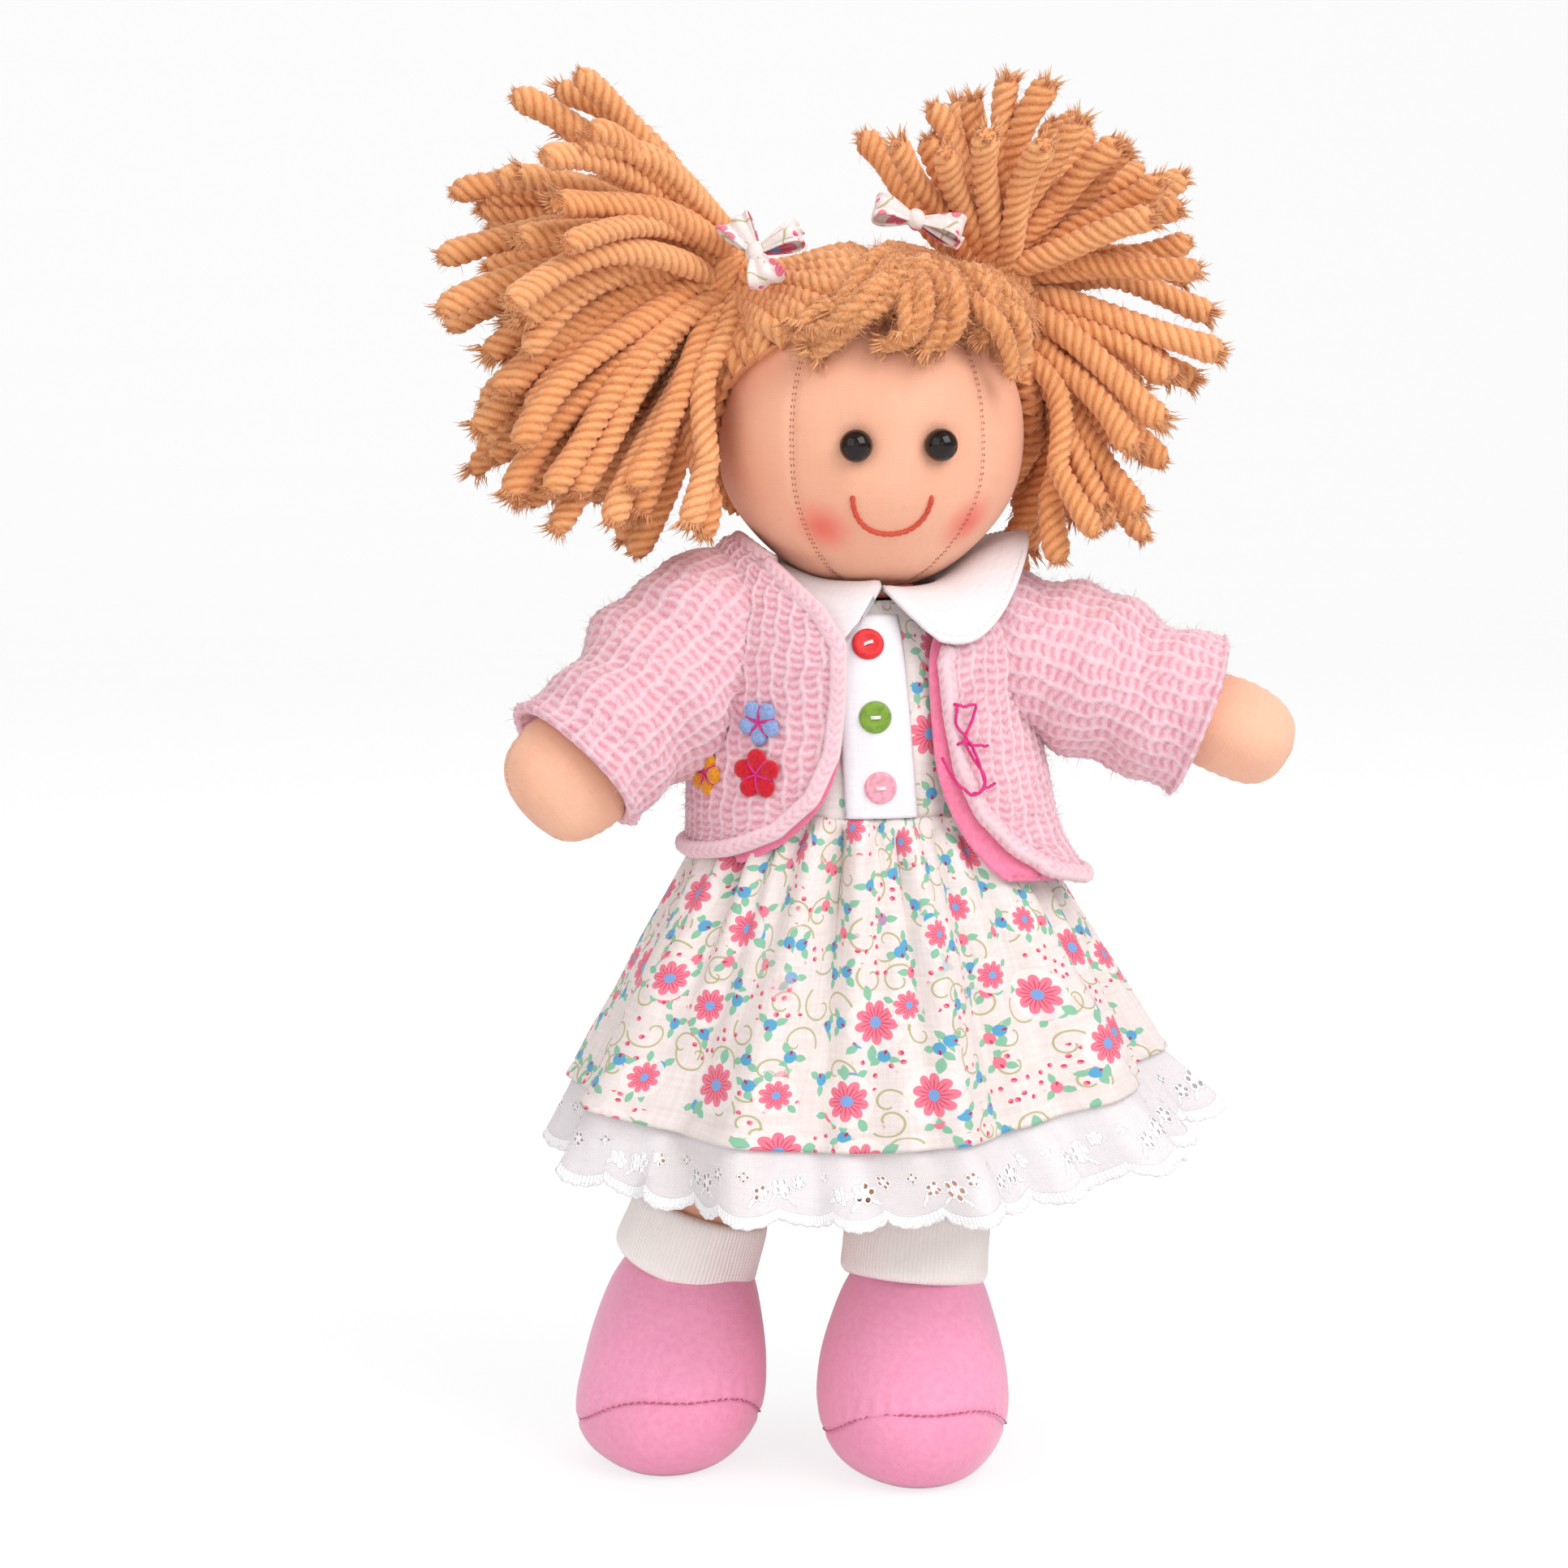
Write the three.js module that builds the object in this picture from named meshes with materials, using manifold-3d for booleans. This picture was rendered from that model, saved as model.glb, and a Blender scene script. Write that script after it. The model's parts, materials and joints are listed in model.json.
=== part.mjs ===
// A stuffed rag doll with two yarn bunches, a print dress, a knitted cardigan and padded shoes.
// Millimetres, +Z up. The doll faces -Y and its own right side is -X. It stands on the XY plane.
import * as THREE from 'three';
import { mergeVertices } from 'three/addons/utils/BufferGeometryUtils.js';
import Module from 'manifold-3d';

const wasm = await Module();
wasm.setup();

// Clearances, and the length by which a cutter passes the solid that it cuts
const gap = 0.35;
const turnGap = 0.5;
const overrun = 60;

// Stuffed body
const bodyX = 1.5;
const bodyY = -2;
const chestHalfWidth = 27;
const chestHalfDepth = 22.5;
const torsoBottomZ = 103;
const torsoTopZ = 184;
const dressThickness = 1;

// Head, eyes and stitched smile
const headX = 3;
const headY = -1;
const headZ = 219;
const headRadius = 31.5;
const headHalfHeight = 33;
const neckRadius = 10.5;
const eyeRadius = 3.3;
const eyeStand = 0.8;
const eyeSpacing = 17.4;
const eyeMiddleX = 3.8;
const eyeZ = 217.6;
const smileWidth = 15.8;
const smileDrop = 7;
const smileTopZ = 206.8;
const smileMiddleX = 2.8;
const smileTurn = 76;
const threadRadius = 0.5;

// Yarn hair, its ties and bows
const capThickness = 5.5;
const capNapeZ = 203;
const hairlineFrontY = -30;
const hairlineFrontZ = 240;
const hairlineSideY = 2;
const hairlineSideZ = 207;
const rootRadius = 8;
const tieRingRadius = 7.6;
const tieCordRadius = 1.4;
const tieRightX = -28;
const tieLeftX = 32.5;
const tieY = 2;
const tieZ = 250.5;
const lobeRadius = 8;
const fanRightLength = 62;
const fanLeftLength = 50;
const fanDepth = 26;
const fanBulge = 7;
const fringeRadius = 6.6;
const fringeStand = 7.2;
const bowLoop = 6;
const bowWidth = 3.6;
const bowThickness = 2.8;
const bowRightX = -19.5;
const bowRightY = -13;
const bowLeftX = 12;
const bowLeftY = -11;
const bowSink = 1;
const bowRightLean = 55;
const bowLeftLean = -12;

// Arms and sleeves
const shoulderSpan = 63;
const shoulderZ = 175.8;
const shoulderRoll = 4.4;
const armRadius = 11.5;
const handWidth = 27;
const handDepth = 21;
const armRightOut = 40;
const armRightForward = 16;
const armRightDown = 36;
const armLeftOut = 58;
const armLeftForward = 9;
const armLeftDown = 22;
const sleeveRadius = 16.6;
const sleeveLength = 43;
const sleeveWall = 2.2;
const tabRadius = 4.5;
const tabDoorRadius = 12.4;
const armRaise = 20;
const armLower = 5;
const armForward = 22;
const armBack = 15;

// Legs, sock cuffs and shoes
const hipSpacing = 34;
const hipY = 0;
const hipZ = 107;
const hipRoom = 2.4;
const hipTabRadius = 6;
const legRadius = 12.5;
const legForward = 25;
const legBack = 12;
const ankleZ = 43;
const ankleBack = 6;
const ankleRightX = -35;
const ankleLeftX = 11.5;
const footRightX = -41;
const footRightY = 1;
const footLeftX = 10.5;
const footLeftY = -15;
const shoeWidth = 40;
const shoeLength = 48;
const shoeHeight = 43;
const soleCut = 0.5;
const seamToeZ = 14;
const seamHeelZ = 5;
const cuffRadius = 15.4;
const cuffHeight = 15;
const cuffBottomZ = 40.5;

// Skirt and frill
const waistZ = 141;
const hemZ = 76;
const hemRise = 8;
const hemRoll = 2.6;
const hemHalfWidth = 61;
const hemHalfDepth = 44;
const foldDepth = 3;
const foldCount = 9;
const clothThickness = 1.1;
const frillDrop = 15;
const frillFlareWidth = 8;
const frillFlareDepth = 5;
const frillShift = 3.5;
const frillFoldDepth = 1.6;

// Placket and buttons
const placketWidth = 14;
const placketTopZ = 182;
const placketTopX = -1.5;
const placketLean = 3;
const placketThickness = 0.8;
const buttonRadius = 3.3;
const buttonThickness = 1.8;
const buttonHoleRadius = 0.5;
const buttonHoleSpacing = 2.2;
const buttonTopZ = 176.5;
const buttonPitch = 14.4;

// Flat round collar
const collarThickness = 1;
const collarInnerRadius = 12.8;
const collarPointRadius = 20;
const collarPointZ = 186.5;
const collarFrontRadius = 31;
const collarFrontZ = 177.5;
const collarSideRadius = 33;
const collarSideZ = 198;
const collarBackZ = 191.5;

// Knitted cardigan, its facing and felt flowers
const knitThickness = 3;
const cardiganX = 2.5;
const cardiganHalfWidth = 37.5;
const cardiganHalfDepth = 29;
const cardiganLowZ = 118;
const cardiganHemZ = 131;
const cardiganTopZ = 188;
const cardiganFlareWidth = 7;
const cardiganFlareDepth = 7;
const cardiganDraw = 3;
const facingWidth = 4.5;
const facingInset = 0.9;
const facingThickness = 1.2;
const flowerRadius = 4.9;
const flowerThickness = 1.6;
const flowerSmallShare = 0.78;
const petalShare = 0.16;
const petalCount = 5;
const roundPoints = 16;
const roundRings = 8;
const limbPoints = 12;
const limbRings = 6;
const barPoints = 14;
const smallPoints = 8;
const smallRings = 5;
const finePoints = 18;
const fineRings = 10;
const flowerRedX = -19.5;
const flowerRedZ = 147.5;
const flowerYellowX = -28.5;
const flowerYellowZ = 146;
const flowerBlueX = -24;
const flowerBlueZ = 158;

// Profiles, as shares of the sizes above
const torsoShares = [[0, 0.5, 0.45], [0.06, 0.84, 0.76], [0.16, 0.97, 0.94], [0.35, 1, 1], [0.6, 0.99, 1],
  [0.76, 0.97, 0.98], [0.86, 0.9, 0.92], [0.94, 0.76, 0.8], [1, 0.52, 0.62]];
const armShares = [[0, 0.83, 1], [0.3, 0.83, 1], [0.52, 0.82, 1], [0.64, 0.92, 1], [0.76, 1, 1],
  [0.87, 0.92, 0.92],
  [0.95, 0.7, 0.72], [1, 0.38, 0.4]];
const sleeveShares = [[0, 0.98, 0.98], [0.4, 0.94, 0.94], [0.8, 1, 0.98], [1, 0.98, 0.96]];
const legShares = [[0, 1, 1], [0.4, 1, 1], [0.75, 0.96, 0.96], [1, 0.9, 0.9]];
const cuffShares = [[0, 0.9, 0.9], [0.14, 1, 1], [0.88, 0.97, 0.97], [1, 0.88, 0.88]];
const shoeShares = [[0, 0.48, 0.5], [0.05, 0.68, 0.7], [0.12, 0.83, 0.84], [0.22, 0.95, 0.95], [0.34, 1, 1],
  [0.46, 0.985, 0.97], [0.58, 0.93, 0.88], [0.72, 0.82, 0.74], [0.88, 0.71, 0.62], [1, 0.6, 0.52]];
const cardiganShares = [[0, 1, 1, 0], [0.14, 0.5, 0.5, 0], [0.3, 0.15, 0.15, 0], [0.45, 0, 0, 0.2],
  [0.75, 0, 0, 0.7], [1, 0, 0, 1]];
const bowShares = [[0, 0.55, 0.6], [0.45, 0.95, 1], [0.8, 1, 1], [1, 0.7, 0.6]];
const skirtRowShares = [0, 0.15, 0.5, 1];
const frillRowShares = [0, 0.5, 1];
const lobeShares = [[0, 0.5], [0.4, 0.88], [0.82, 1], [1, 0.5]];

// Yarn lobes: the way each points, in degrees from +X, then shares of the fan's length and depth
const fanRightShares = [[127, 0.66, -0.1], [143, 0.84, 0.4], [146, 0.82, -0.5], [160, 0.95, 0],
  [176, 0.98, 0.7],
  [178, 1, -0.6], [193, 1, 0.1], [208, 1, 0.7], [209, 1, -0.7], [224, 1, 0], [238, 0.97, -0.5],
  [240, 0.94, 0.5]];
const fanLeftShares = [[124, 0.74, -0.1], [104, 0.76, 0.4], [84, 0.8, -0.4], [64, 0.84, 0.3],
  [42, 0.88, -0.5],
  [24, 0.9, 0.4], [6, 0.9, -0.3], [-14, 0.94, 0.6], [-18, 0.96, -0.6], [-38, 1, 0], [-54, 1.1, 0.6],
  [-60, 1.12, -0.4]];
// Fringe tufts: degrees round the head from the face, and degrees up
const fringeTurns = [[-27, 27], [-13, 34], [1, 38], [15, 37], [29, 36], [43, 33], [56, 28], [16, 50],
  [32, 50]];
// Front edges of the cardigan, x and z seen from the front, from the collar down to the side
const edgeRight = [[-36, 190], [-26, 183], [-17, 177], [-10, 175], [-7, 166], [-8, 150], [-14, 137.5],
  [-24, 131.5],
  [-34, 130]];
const edgeLeft = [[41, 190], [31, 183], [22, 177], [15, 175], [14, 166], [15, 158], [17.5, 149],
  [24, 138], [34, 131.5],
  [44, 129.5]];

// Colours and roughness
const mattRoughness = 0.92;
const beadRoughness = 0.12;
const buttonRoughness = 0.35;
const skinColour = 0xf0b892;
const yarnColour = 0xd9924f;
const whiteColour = 0xf1eeee;
const printColour = 0xf0e2e2;
const knitColour = 0xf2b3c8;
const facingColour = 0xe8849c;
const shoeColour = 0xf39bbd;
const sockColour = 0xeae3dd;
const eyeColour = 0x0c0807;
const redColour = 0xd5121c;
const greenColour = 0x7d9a2b;
const pinkColour = 0xf7afbb;
const yellowColour = 0xe8960f;
const blueColour = 0x8fb0dc;
const smileColour = 0xc23a2a;

const axisX = new THREE.Vector3(1, 0, 0);
const axisY = new THREE.Vector3(0, 1, 0);
const axisZ = new THREE.Vector3(0, 0, 1);
const point = (x, y, z) => new THREE.Vector3(x, y, z);
const mix = THREE.MathUtils.lerp;
const radians = THREE.MathUtils.degToRad;

/** A closed solid from a geometry, with its shared points merged. */
function solidOf(geometry) {
  geometry.deleteAttribute('normal');
  geometry.deleteAttribute('uv');
  const merged = mergeVertices(geometry);
  return new wasm.Manifold(new wasm.Mesh({
    numProp: 3,
    vertProperties: new Float32Array(merged.attributes.position.array),
    triVerts: new Uint32Array(merged.index.array),
  }));
}

const join = (solids) => solids.reduce((sum, solid) => sum.add(solid));
const cut = (solid, cutters) => cutters.reduce((rest, cutter) => rest.subtract(cutter), solid);

/** Skin over a row of rings with equal numbers of points. Its ends are capped, or joined to each other. */
function loft(rings, joined = false) {
  const count = rings[0].length;
  const positions = rings.flat().flatMap((at) => at.toArray());
  const faces = [];
  const rows = joined ? rings.length : rings.length - 1;
  for (let row = 0; row < rows; row += 1) {
    const next = (row + 1) % rings.length;
    for (let i = 0; i < count; i += 1) {
      const j = (i + 1) % count;
      faces.push([row * count + i, row * count + j, next * count + j]);
      faces.push([row * count + i, next * count + j, next * count + i]);
    }
  }
  const capRows = joined ? [] : [0, rings.length - 1];
  capRows.forEach((row) => {
    const middle = new THREE.Vector3();
    rings[row].forEach((at) => middle.addScaledVector(at, 1 / count));
    const centre = positions.length / 3;
    positions.push(...middle.toArray());
    for (let i = 0; i < count; i += 1) {
      const first = row * count + i;
      const second = row * count + ((i + 1) % count);
      faces.push(row === 0 ? [second, first, centre] : [first, second, centre]);
    }
  });
  const at = (i) => new THREE.Vector3().fromArray(positions, 3 * i);
  const volume = faces.reduce((sum, [a, b, c]) => sum + at(a).dot(at(b).cross(at(c))), 0);
  const outward = volume < 0 ? faces.map(([a, b, c]) => [a, c, b]) : faces;
  const geometry = new THREE.BufferGeometry();
  geometry.setAttribute('position', new THREE.Float32BufferAttribute(positions, 3));
  geometry.setIndex(outward.flat());
  return solidOf(geometry);
}

/** Points of an ellipse round a centre, in the plane of two unit vectors. */
function ellipse(centre, across, along, halfAcross, halfAlong, count) {
  return Array.from({ length: count }, (_, i) => {
    const turn = (2 * Math.PI * i) / count;
    return centre.clone()
      .addScaledVector(across, halfAcross * Math.cos(turn))
      .addScaledVector(along, halfAlong * Math.sin(turn));
  });
}

/** An upright egg with its poles up and down. */
function egg(centre, halfWidth, halfDepth, halfHeight, around = 14, rows = 8) {
  const geometry = new THREE.SphereGeometry(1, around, rows);
  geometry.rotateX(Math.PI / 2);
  geometry.scale(halfWidth, halfDepth, halfHeight);
  geometry.translate(centre.x, centre.y, centre.z);
  return solidOf(geometry);
}

const ball = (centre, radius, around, rows) => egg(centre, radius, radius, radius, around, rows);

/** A stuffed limb. Each row of shares gives a place on the line, the width there and the depth there. */
function limb(start, end, shares, halfWidth, halfDepth, grow = 0, count = 14) {
  const line = end.clone().sub(start);
  const along = line.clone().normalize();
  const across = new THREE.Vector3().crossVectors(axisY, along).normalize();
  const forward = new THREE.Vector3().crossVectors(along, across);
  const rings = shares.map(([place, wide, deep], i) => {
    const centre = start.clone().addScaledVector(line, place);
    if (i === 0) centre.addScaledVector(along, -grow);
    if (i === shares.length - 1) centre.addScaledVector(along, grow);
    return ellipse(centre, across, forward, wide * halfWidth + grow, deep * halfDepth + grow, count);
  });
  return loft(rings);
}

/** A straight round bar. */
const bar = (start, end, radius, count = barPoints) => {
  const straight = [[0, 1, 1], [1, 1, 1]];
  return limb(start, end, straight, radius, radius, 0, count);
};

/** A box between two corners. */
function block(low, high) {
  const size = high.clone().sub(low);
  const middle = high.clone().add(low).multiplyScalar(1 / 2);
  const geometry = new THREE.BoxGeometry(size.x, size.y, size.z);
  geometry.translate(middle.x, middle.y, middle.z);
  return solidOf(geometry);
}

/** Everything above a slope that runs through two points of the YZ plane, out to the overrun. */
function aboveSlope(y1, z1, y2, z2) {
  const rise = (z2 - z1) / (y2 - y1);
  const lowY = Math.min(y1, y2) - overrun;
  const highY = Math.max(y1, y2) + overrun;
  const zAt = (y) => z1 + rise * (y - y1);
  const topZ = Math.max(zAt(lowY), zAt(highY)) + headZ;
  const side = (x) => [point(x, lowY, zAt(lowY)), point(x, highY, zAt(highY)), point(x, highY, topZ),
    point(x, lowY, topZ)];
  return loft([side(-shoulderSpan - overrun), side(shoulderSpan + overrun)]);
}

/** A shape drawn from the front, x across and z up, pushed through from a low y to a high y. */
function fromFront(shape, lowY, highY, curveSegments = 10) {
  const depth = highY - lowY;
  const geometry = new THREE.ExtrudeGeometry(shape, { depth, bevelEnabled: false, curveSegments });
  geometry.rotateX(Math.PI / 2);
  geometry.translate(0, highY, 0);
  return solidOf(geometry);
}

const outline = (points) => new THREE.Shape(points.map(([x, z]) => new THREE.Vector2(x, z)));

// The places that both sides share
const shoulder = {
  right: point(bodyX - shoulderSpan / 2, bodyY, shoulderZ + shoulderRoll / 2),
  left: point(bodyX + shoulderSpan / 2, bodyY, shoulderZ - shoulderRoll / 2),
};
const hand = {
  right: shoulder.right.clone().add(point(-armRightOut, -armRightForward, -armRightDown)),
  left: shoulder.left.clone().add(point(armLeftOut, -armLeftForward, -armLeftDown)),
};
const handHalf = {
  right: [handWidth / 2, handDepth / 2],
  left: [handDepth / 2, handWidth / 2],
};
const hip = {
  right: point(bodyX - hipSpacing / 2, hipY, hipZ),
  left: point(bodyX + hipSpacing / 2, hipY, hipZ),
};
const foot = {
  right: point(footRightX, footRightY, 0),
  left: point(footLeftX, footLeftY, 0),
};
const ankle = {
  right: point(ankleRightX, footRightY + ankleBack, ankleZ),
  left: point(ankleLeftX, footLeftY + ankleBack, ankleZ),
};
const tie = {
  right: point(tieRightX, tieY, tieZ),
  left: point(tieLeftX, tieY, tieZ),
};
const headCentre = point(headX, headY, headZ);
const sides = ['right', 'left'];
const inward = { right: axisX, left: axisX.clone().negate() };

/** The head, or its skin moved outward. */
function headEgg(grow = 0, around = 22, rows = 13) {
  return egg(headCentre, headRadius + grow, headRadius + grow, headHalfHeight + grow, around, rows);
}

/** The y of the face, or of its skin moved outward, at a place seen from the front. */
function faceY(x, z, grow = 0) {
  const wide = (x - headX) / (headRadius + grow);
  const high = (z - headZ) / (headHalfHeight + grow);
  return headY - (headRadius + grow) * Math.sqrt(1 - wide * wide - high * high);
}

/** The stuffed body as one swelling stack, before anything is cut from it. */
function torsoStack(grow = 0) {
  const last = torsoShares.length - 1;
  return loft(torsoShares.map(([high, wide, deep], i) => {
    const end = (i === last) - (i === 0);
    const z = mix(torsoBottomZ, torsoTopZ, high) + end * grow;
    const halfWidth = wide * chestHalfWidth + grow;
    const halfDepth = deep * chestHalfDepth + grow;
    return ellipse(point(bodyX, bodyY, z), axisX, axisY, halfWidth, halfDepth, finePoints);
  }));
}

/** The way an arm points after it is raised and swung forward, in degrees. */
function armWay(side, raise, swing) {
  const outward = inward[side].clone().negate();
  return hand[side].clone().sub(shoulder[side])
    .applyAxisAngle(axisZ, radians(-swing * outward.x))
    .applyAxisAngle(axisY, radians(-raise * outward.x));
}

/** The room that a sleeve sweeps at rest and at the ends of its arm's ranges. */
function sleeveRoom(side) {
  const radius = sleeveRadius + turnGap + gap;
  const ways = [[0, 0], [armRaise, 0], [-armLower, 0], [0, armForward], [0, -armBack]];
  const tubes = ways.map(([raise, swing]) => bar(
    shoulder[side],
    shoulder[side].clone().add(armWay(side, raise, swing)),
    radius,
    limbPoints,
  ));
  return join([ball(shoulder[side], radius, roundPoints, roundRings), ...tubes]);
}

const shoulderRoom = sides.map(sleeveRoom);

/** The room that a leg sweeps at rest and at the ends of its range. */
function legRoom(side) {
  const line = ankle[side].clone().sub(hip[side]);
  const bars = [0, legForward, -legBack].map((swing) => {
    const way = line.clone().applyAxisAngle(axisX, radians(-swing));
    return bar(hip[side], hip[side].clone().add(way), legRadius + turnGap + gap, limbPoints);
  });
  return join([ball(hip[side], legRadius + hipRoom, limbPoints, limbRings), ...bars]);
}

/** An arm with its mitten hand. */
function armSolid(side, grow = 0) {
  const [halfWidth, halfDepth] = handHalf[side];
  const top = ball(shoulder[side], armRadius + grow, limbPoints, limbRings);
  return join([top, limb(shoulder[side], hand[side], armShares, halfWidth, halfDepth, grow, limbPoints)]);
}

/** The end of a sleeve, on the line of its arm. */
function sleeveEnd(side, reach) {
  const line = hand[side].clone().sub(shoulder[side]).normalize();
  return shoulder[side].clone().addScaledVector(line, reach);
}

/** A knitted sleeve: a round cap about the shoulder and a loose tube that the hand shows from. */
function sleeveSolid(side) {
  const cap = ball(shoulder[side], sleeveRadius, roundPoints, roundRings);
  const mouth = sleeveEnd(side, sleeveLength);
  const tube = limb(shoulder[side], mouth, sleeveShares, sleeveRadius, sleeveRadius, 0, roundPoints);
  const inner = sleeveRadius - sleeveWall;
  const boreEnd = sleeveEnd(side, sleeveLength + overrun);
  const bore = bar(sleeveEnd(side, sleeveLength / 2), boreEnd, inner, roundPoints);
  const doorEnd = shoulder[side].clone().addScaledVector(inward[side], overrun);
  const door = bar(shoulder[side], doorEnd, tabDoorRadius, limbPoints);
  return cut(join([cap, tube]), [armSolid(side, gap), bore, door]);
}

/** The cloth tab between the body and the top of an arm. */
function shoulderTab(side) {
  const end = shoulder[side].clone().addScaledVector(inward[side], overrun);
  const stem = bar(shoulder[side], end, tabRadius, smallPoints);
  return stem.intersect(ball(shoulder[side], sleeveRadius, limbPoints, limbRings))
    .subtract(ball(shoulder[side], armRadius + turnGap, limbPoints, limbRings));
}

/** A leg down to its ankle. */
function legSolid(side, grow = 0) {
  const top = ball(hip[side], legRadius + grow, limbPoints, limbRings);
  return join([top, limb(hip[side], ankle[side], legShares, legRadius, legRadius, grow, limbPoints)]);
}

/** The cloth tab between the body and the top of a leg. */
function hipTab(side) {
  const end = hip[side].clone().addScaledVector(axisZ, overrun);
  const stem = bar(hip[side], end, hipTabRadius, smallPoints);
  const low = ball(hip[side], legRadius + turnGap, limbPoints, limbRings);
  return stem.intersect(ball(hip[side], legRadius + hipRoom - gap, limbPoints, limbRings)).subtract(low);
}

/** A stuffed shoe whose rounded base is cut flat at the floor. */
function shoeSolid(side, grow = 0) {
  const last = shoeShares.length - 1;
  const rings = shoeShares.map(([high, wide, deep], i) => {
    const end = (i === last) - (i === 0);
    const z = mix(-soleCut, shoeHeight, high) + end * grow;
    const centre = point(mix(foot[side].x, ankle[side].x, high), mix(foot[side].y, ankle[side].y, high), z);
    const halfWidth = (wide * shoeWidth) / 2 + grow;
    const halfLength = (deep * shoeLength) / 2 + grow;
    return ellipse(centre, axisX, axisY, halfWidth, halfLength, finePoints);
  });
  const floor = block(point(-overrun - shoulderSpan, -overrun - shoulderSpan, -overrun),
    point(overrun + shoulderSpan, overrun + shoulderSpan, 0));
  return loft(rings).subtract(floor);
}

/** Everything above a shoe's toe seam, which slopes down to the heel. */
function aboveSeam(side, lift) {
  const toeY = foot[side].y - shoeLength / 2;
  return aboveSlope(toeY, seamToeZ + lift, toeY + shoeLength, seamHeelZ + lift);
}

/** A turned sock cuff round the ankle. */
function cuffSolid(side) {
  const along = hip[side].clone().sub(ankle[side]).normalize();
  const low = ankle[side].clone().addScaledVector(along, (cuffBottomZ - ankleZ) / along.z);
  const high = low.clone().addScaledVector(along, cuffHeight);
  const band = limb(low, high, cuffShares, cuffRadius, cuffRadius, 0, roundPoints);
  return cut(band, [legSolid(side, gap), shoeSolid(side, gap)]);
}

/** The height of the hem at a turn round the skirt: higher at the sides than in front. */
function hemHeight(turn) {
  return hemZ + hemRise * Math.cos(turn) ** 2 + hemRoll * Math.cos(turn);
}

/** One ring of the skirt, from the waist at share 0 to the hem at share 1. */
function skirtRing(share, inset, count = 72) {
  const waistHalfWidth = chestHalfWidth + gap + dressThickness;
  const waistHalfDepth = chestHalfDepth + gap + dressThickness;
  return Array.from({ length: count }, (_, i) => {
    const turn = (2 * Math.PI * i) / count;
    const fold = foldDepth * share * Math.cos(foldCount * turn) - inset;
    return point(
      bodyX + (mix(waistHalfWidth, hemHalfWidth, share) + fold) * Math.cos(turn),
      bodyY + (mix(waistHalfDepth, hemHalfDepth, share) + fold) * Math.sin(turn),
      mix(waistZ, hemHeight(turn), share),
    );
  });
}

/** One ring of the frill, from the hem at share 0 to its free edge at share 1. */
function frillRing(share, inset, count = 72) {
  return skirtRing(1, inset, count).map((at, i) => {
    const turn = (2 * Math.PI * i) / count;
    const ruffle = frillFoldDepth * share * Math.cos(2 * foldCount * turn);
    at.x += (frillFlareWidth * share + ruffle) * Math.cos(turn) + frillShift * share;
    at.y += (frillFlareDepth * share + ruffle) * Math.sin(turn);
    at.z -= gap + frillDrop * share;
    return at;
  });
}

/** A thin cloth tube through rings at the shares given. */
function clothTube(ring, shares) {
  const outer = shares.map((share) => ring(share, 0));
  const inner = shares.map((share) => ring(share, clothThickness)).reverse();
  return loft([...outer, ...inner], true);
}

/** One half of the flat round collar, from the front point to the back, or the same moved outward. */
function collarSolid(side, grow = 0) {
  const outX = side === 'right' ? -1 : 1;
  const steps = 12;
  const half = collarThickness / 2 + grow;
  const innerZ = torsoTopZ + dressThickness + 2 * gap + collarThickness / 2;
  const rings = Array.from({ length: steps + 1 }, (_, i) => {
    const share = i / steps;
    const turn = Math.PI * share;
    const front = THREE.MathUtils.smoothstep(share, 0, 1 / 6);
    const rise = THREE.MathUtils.smoothstep(share, 1 / 6, 1 / 2);
    const back = THREE.MathUtils.smoothstep(share, 1 / 2, 1);
    const radius = mix(mix(collarPointRadius, collarFrontRadius, front), collarSideRadius, rise) + grow;
    const z = mix(mix(mix(collarPointZ, collarFrontZ, front), collarSideZ, rise), collarBackZ, back);
    const away = gap / 2 - grow;
    const place = (r, height) => point(
      headX + outX * (r * Math.sin(turn) + away),
      bodyY - r * Math.cos(turn),
      height,
    );
    const inner = collarInnerRadius - grow;
    return [
      place(inner, innerZ + half),
      place(radius, z + half),
      place(radius, z - half),
      place(inner, innerZ - half),
    ];
  });
  return loft(rings);
}

/** The outer form of the cardigan's body, or the same moved outward or inward. */
function cardiganStack(grow = 0, extend = 0) {
  const last = cardiganShares.length - 1;
  return loft(cardiganShares.map(([high, wide, deep, draw], i) => {
    const end = (i === last) - (i === 0);
    const z = mix(cardiganLowZ, cardiganTopZ, high) + end * extend;
    const halfWidth = cardiganHalfWidth + wide * cardiganFlareWidth - draw * cardiganDraw + grow;
    const halfDepth = cardiganHalfDepth + deep * cardiganFlareDepth - draw * cardiganDraw + grow;
    return ellipse(point(cardiganX, bodyY, z), axisX, axisY, halfWidth, halfDepth, 24);
  }));
}

/** One front of the cardigan as an outline, out past the side seam. */
function frontOutline(edge, outX) {
  const sideX = cardiganX + outX * (cardiganHalfWidth + overrun);
  const [, topZ] = edge[0];
  const [, lowZ] = edge[edge.length - 1];
  return outline([...edge, [sideX, lowZ], [sideX, topZ]]);
}

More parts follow.
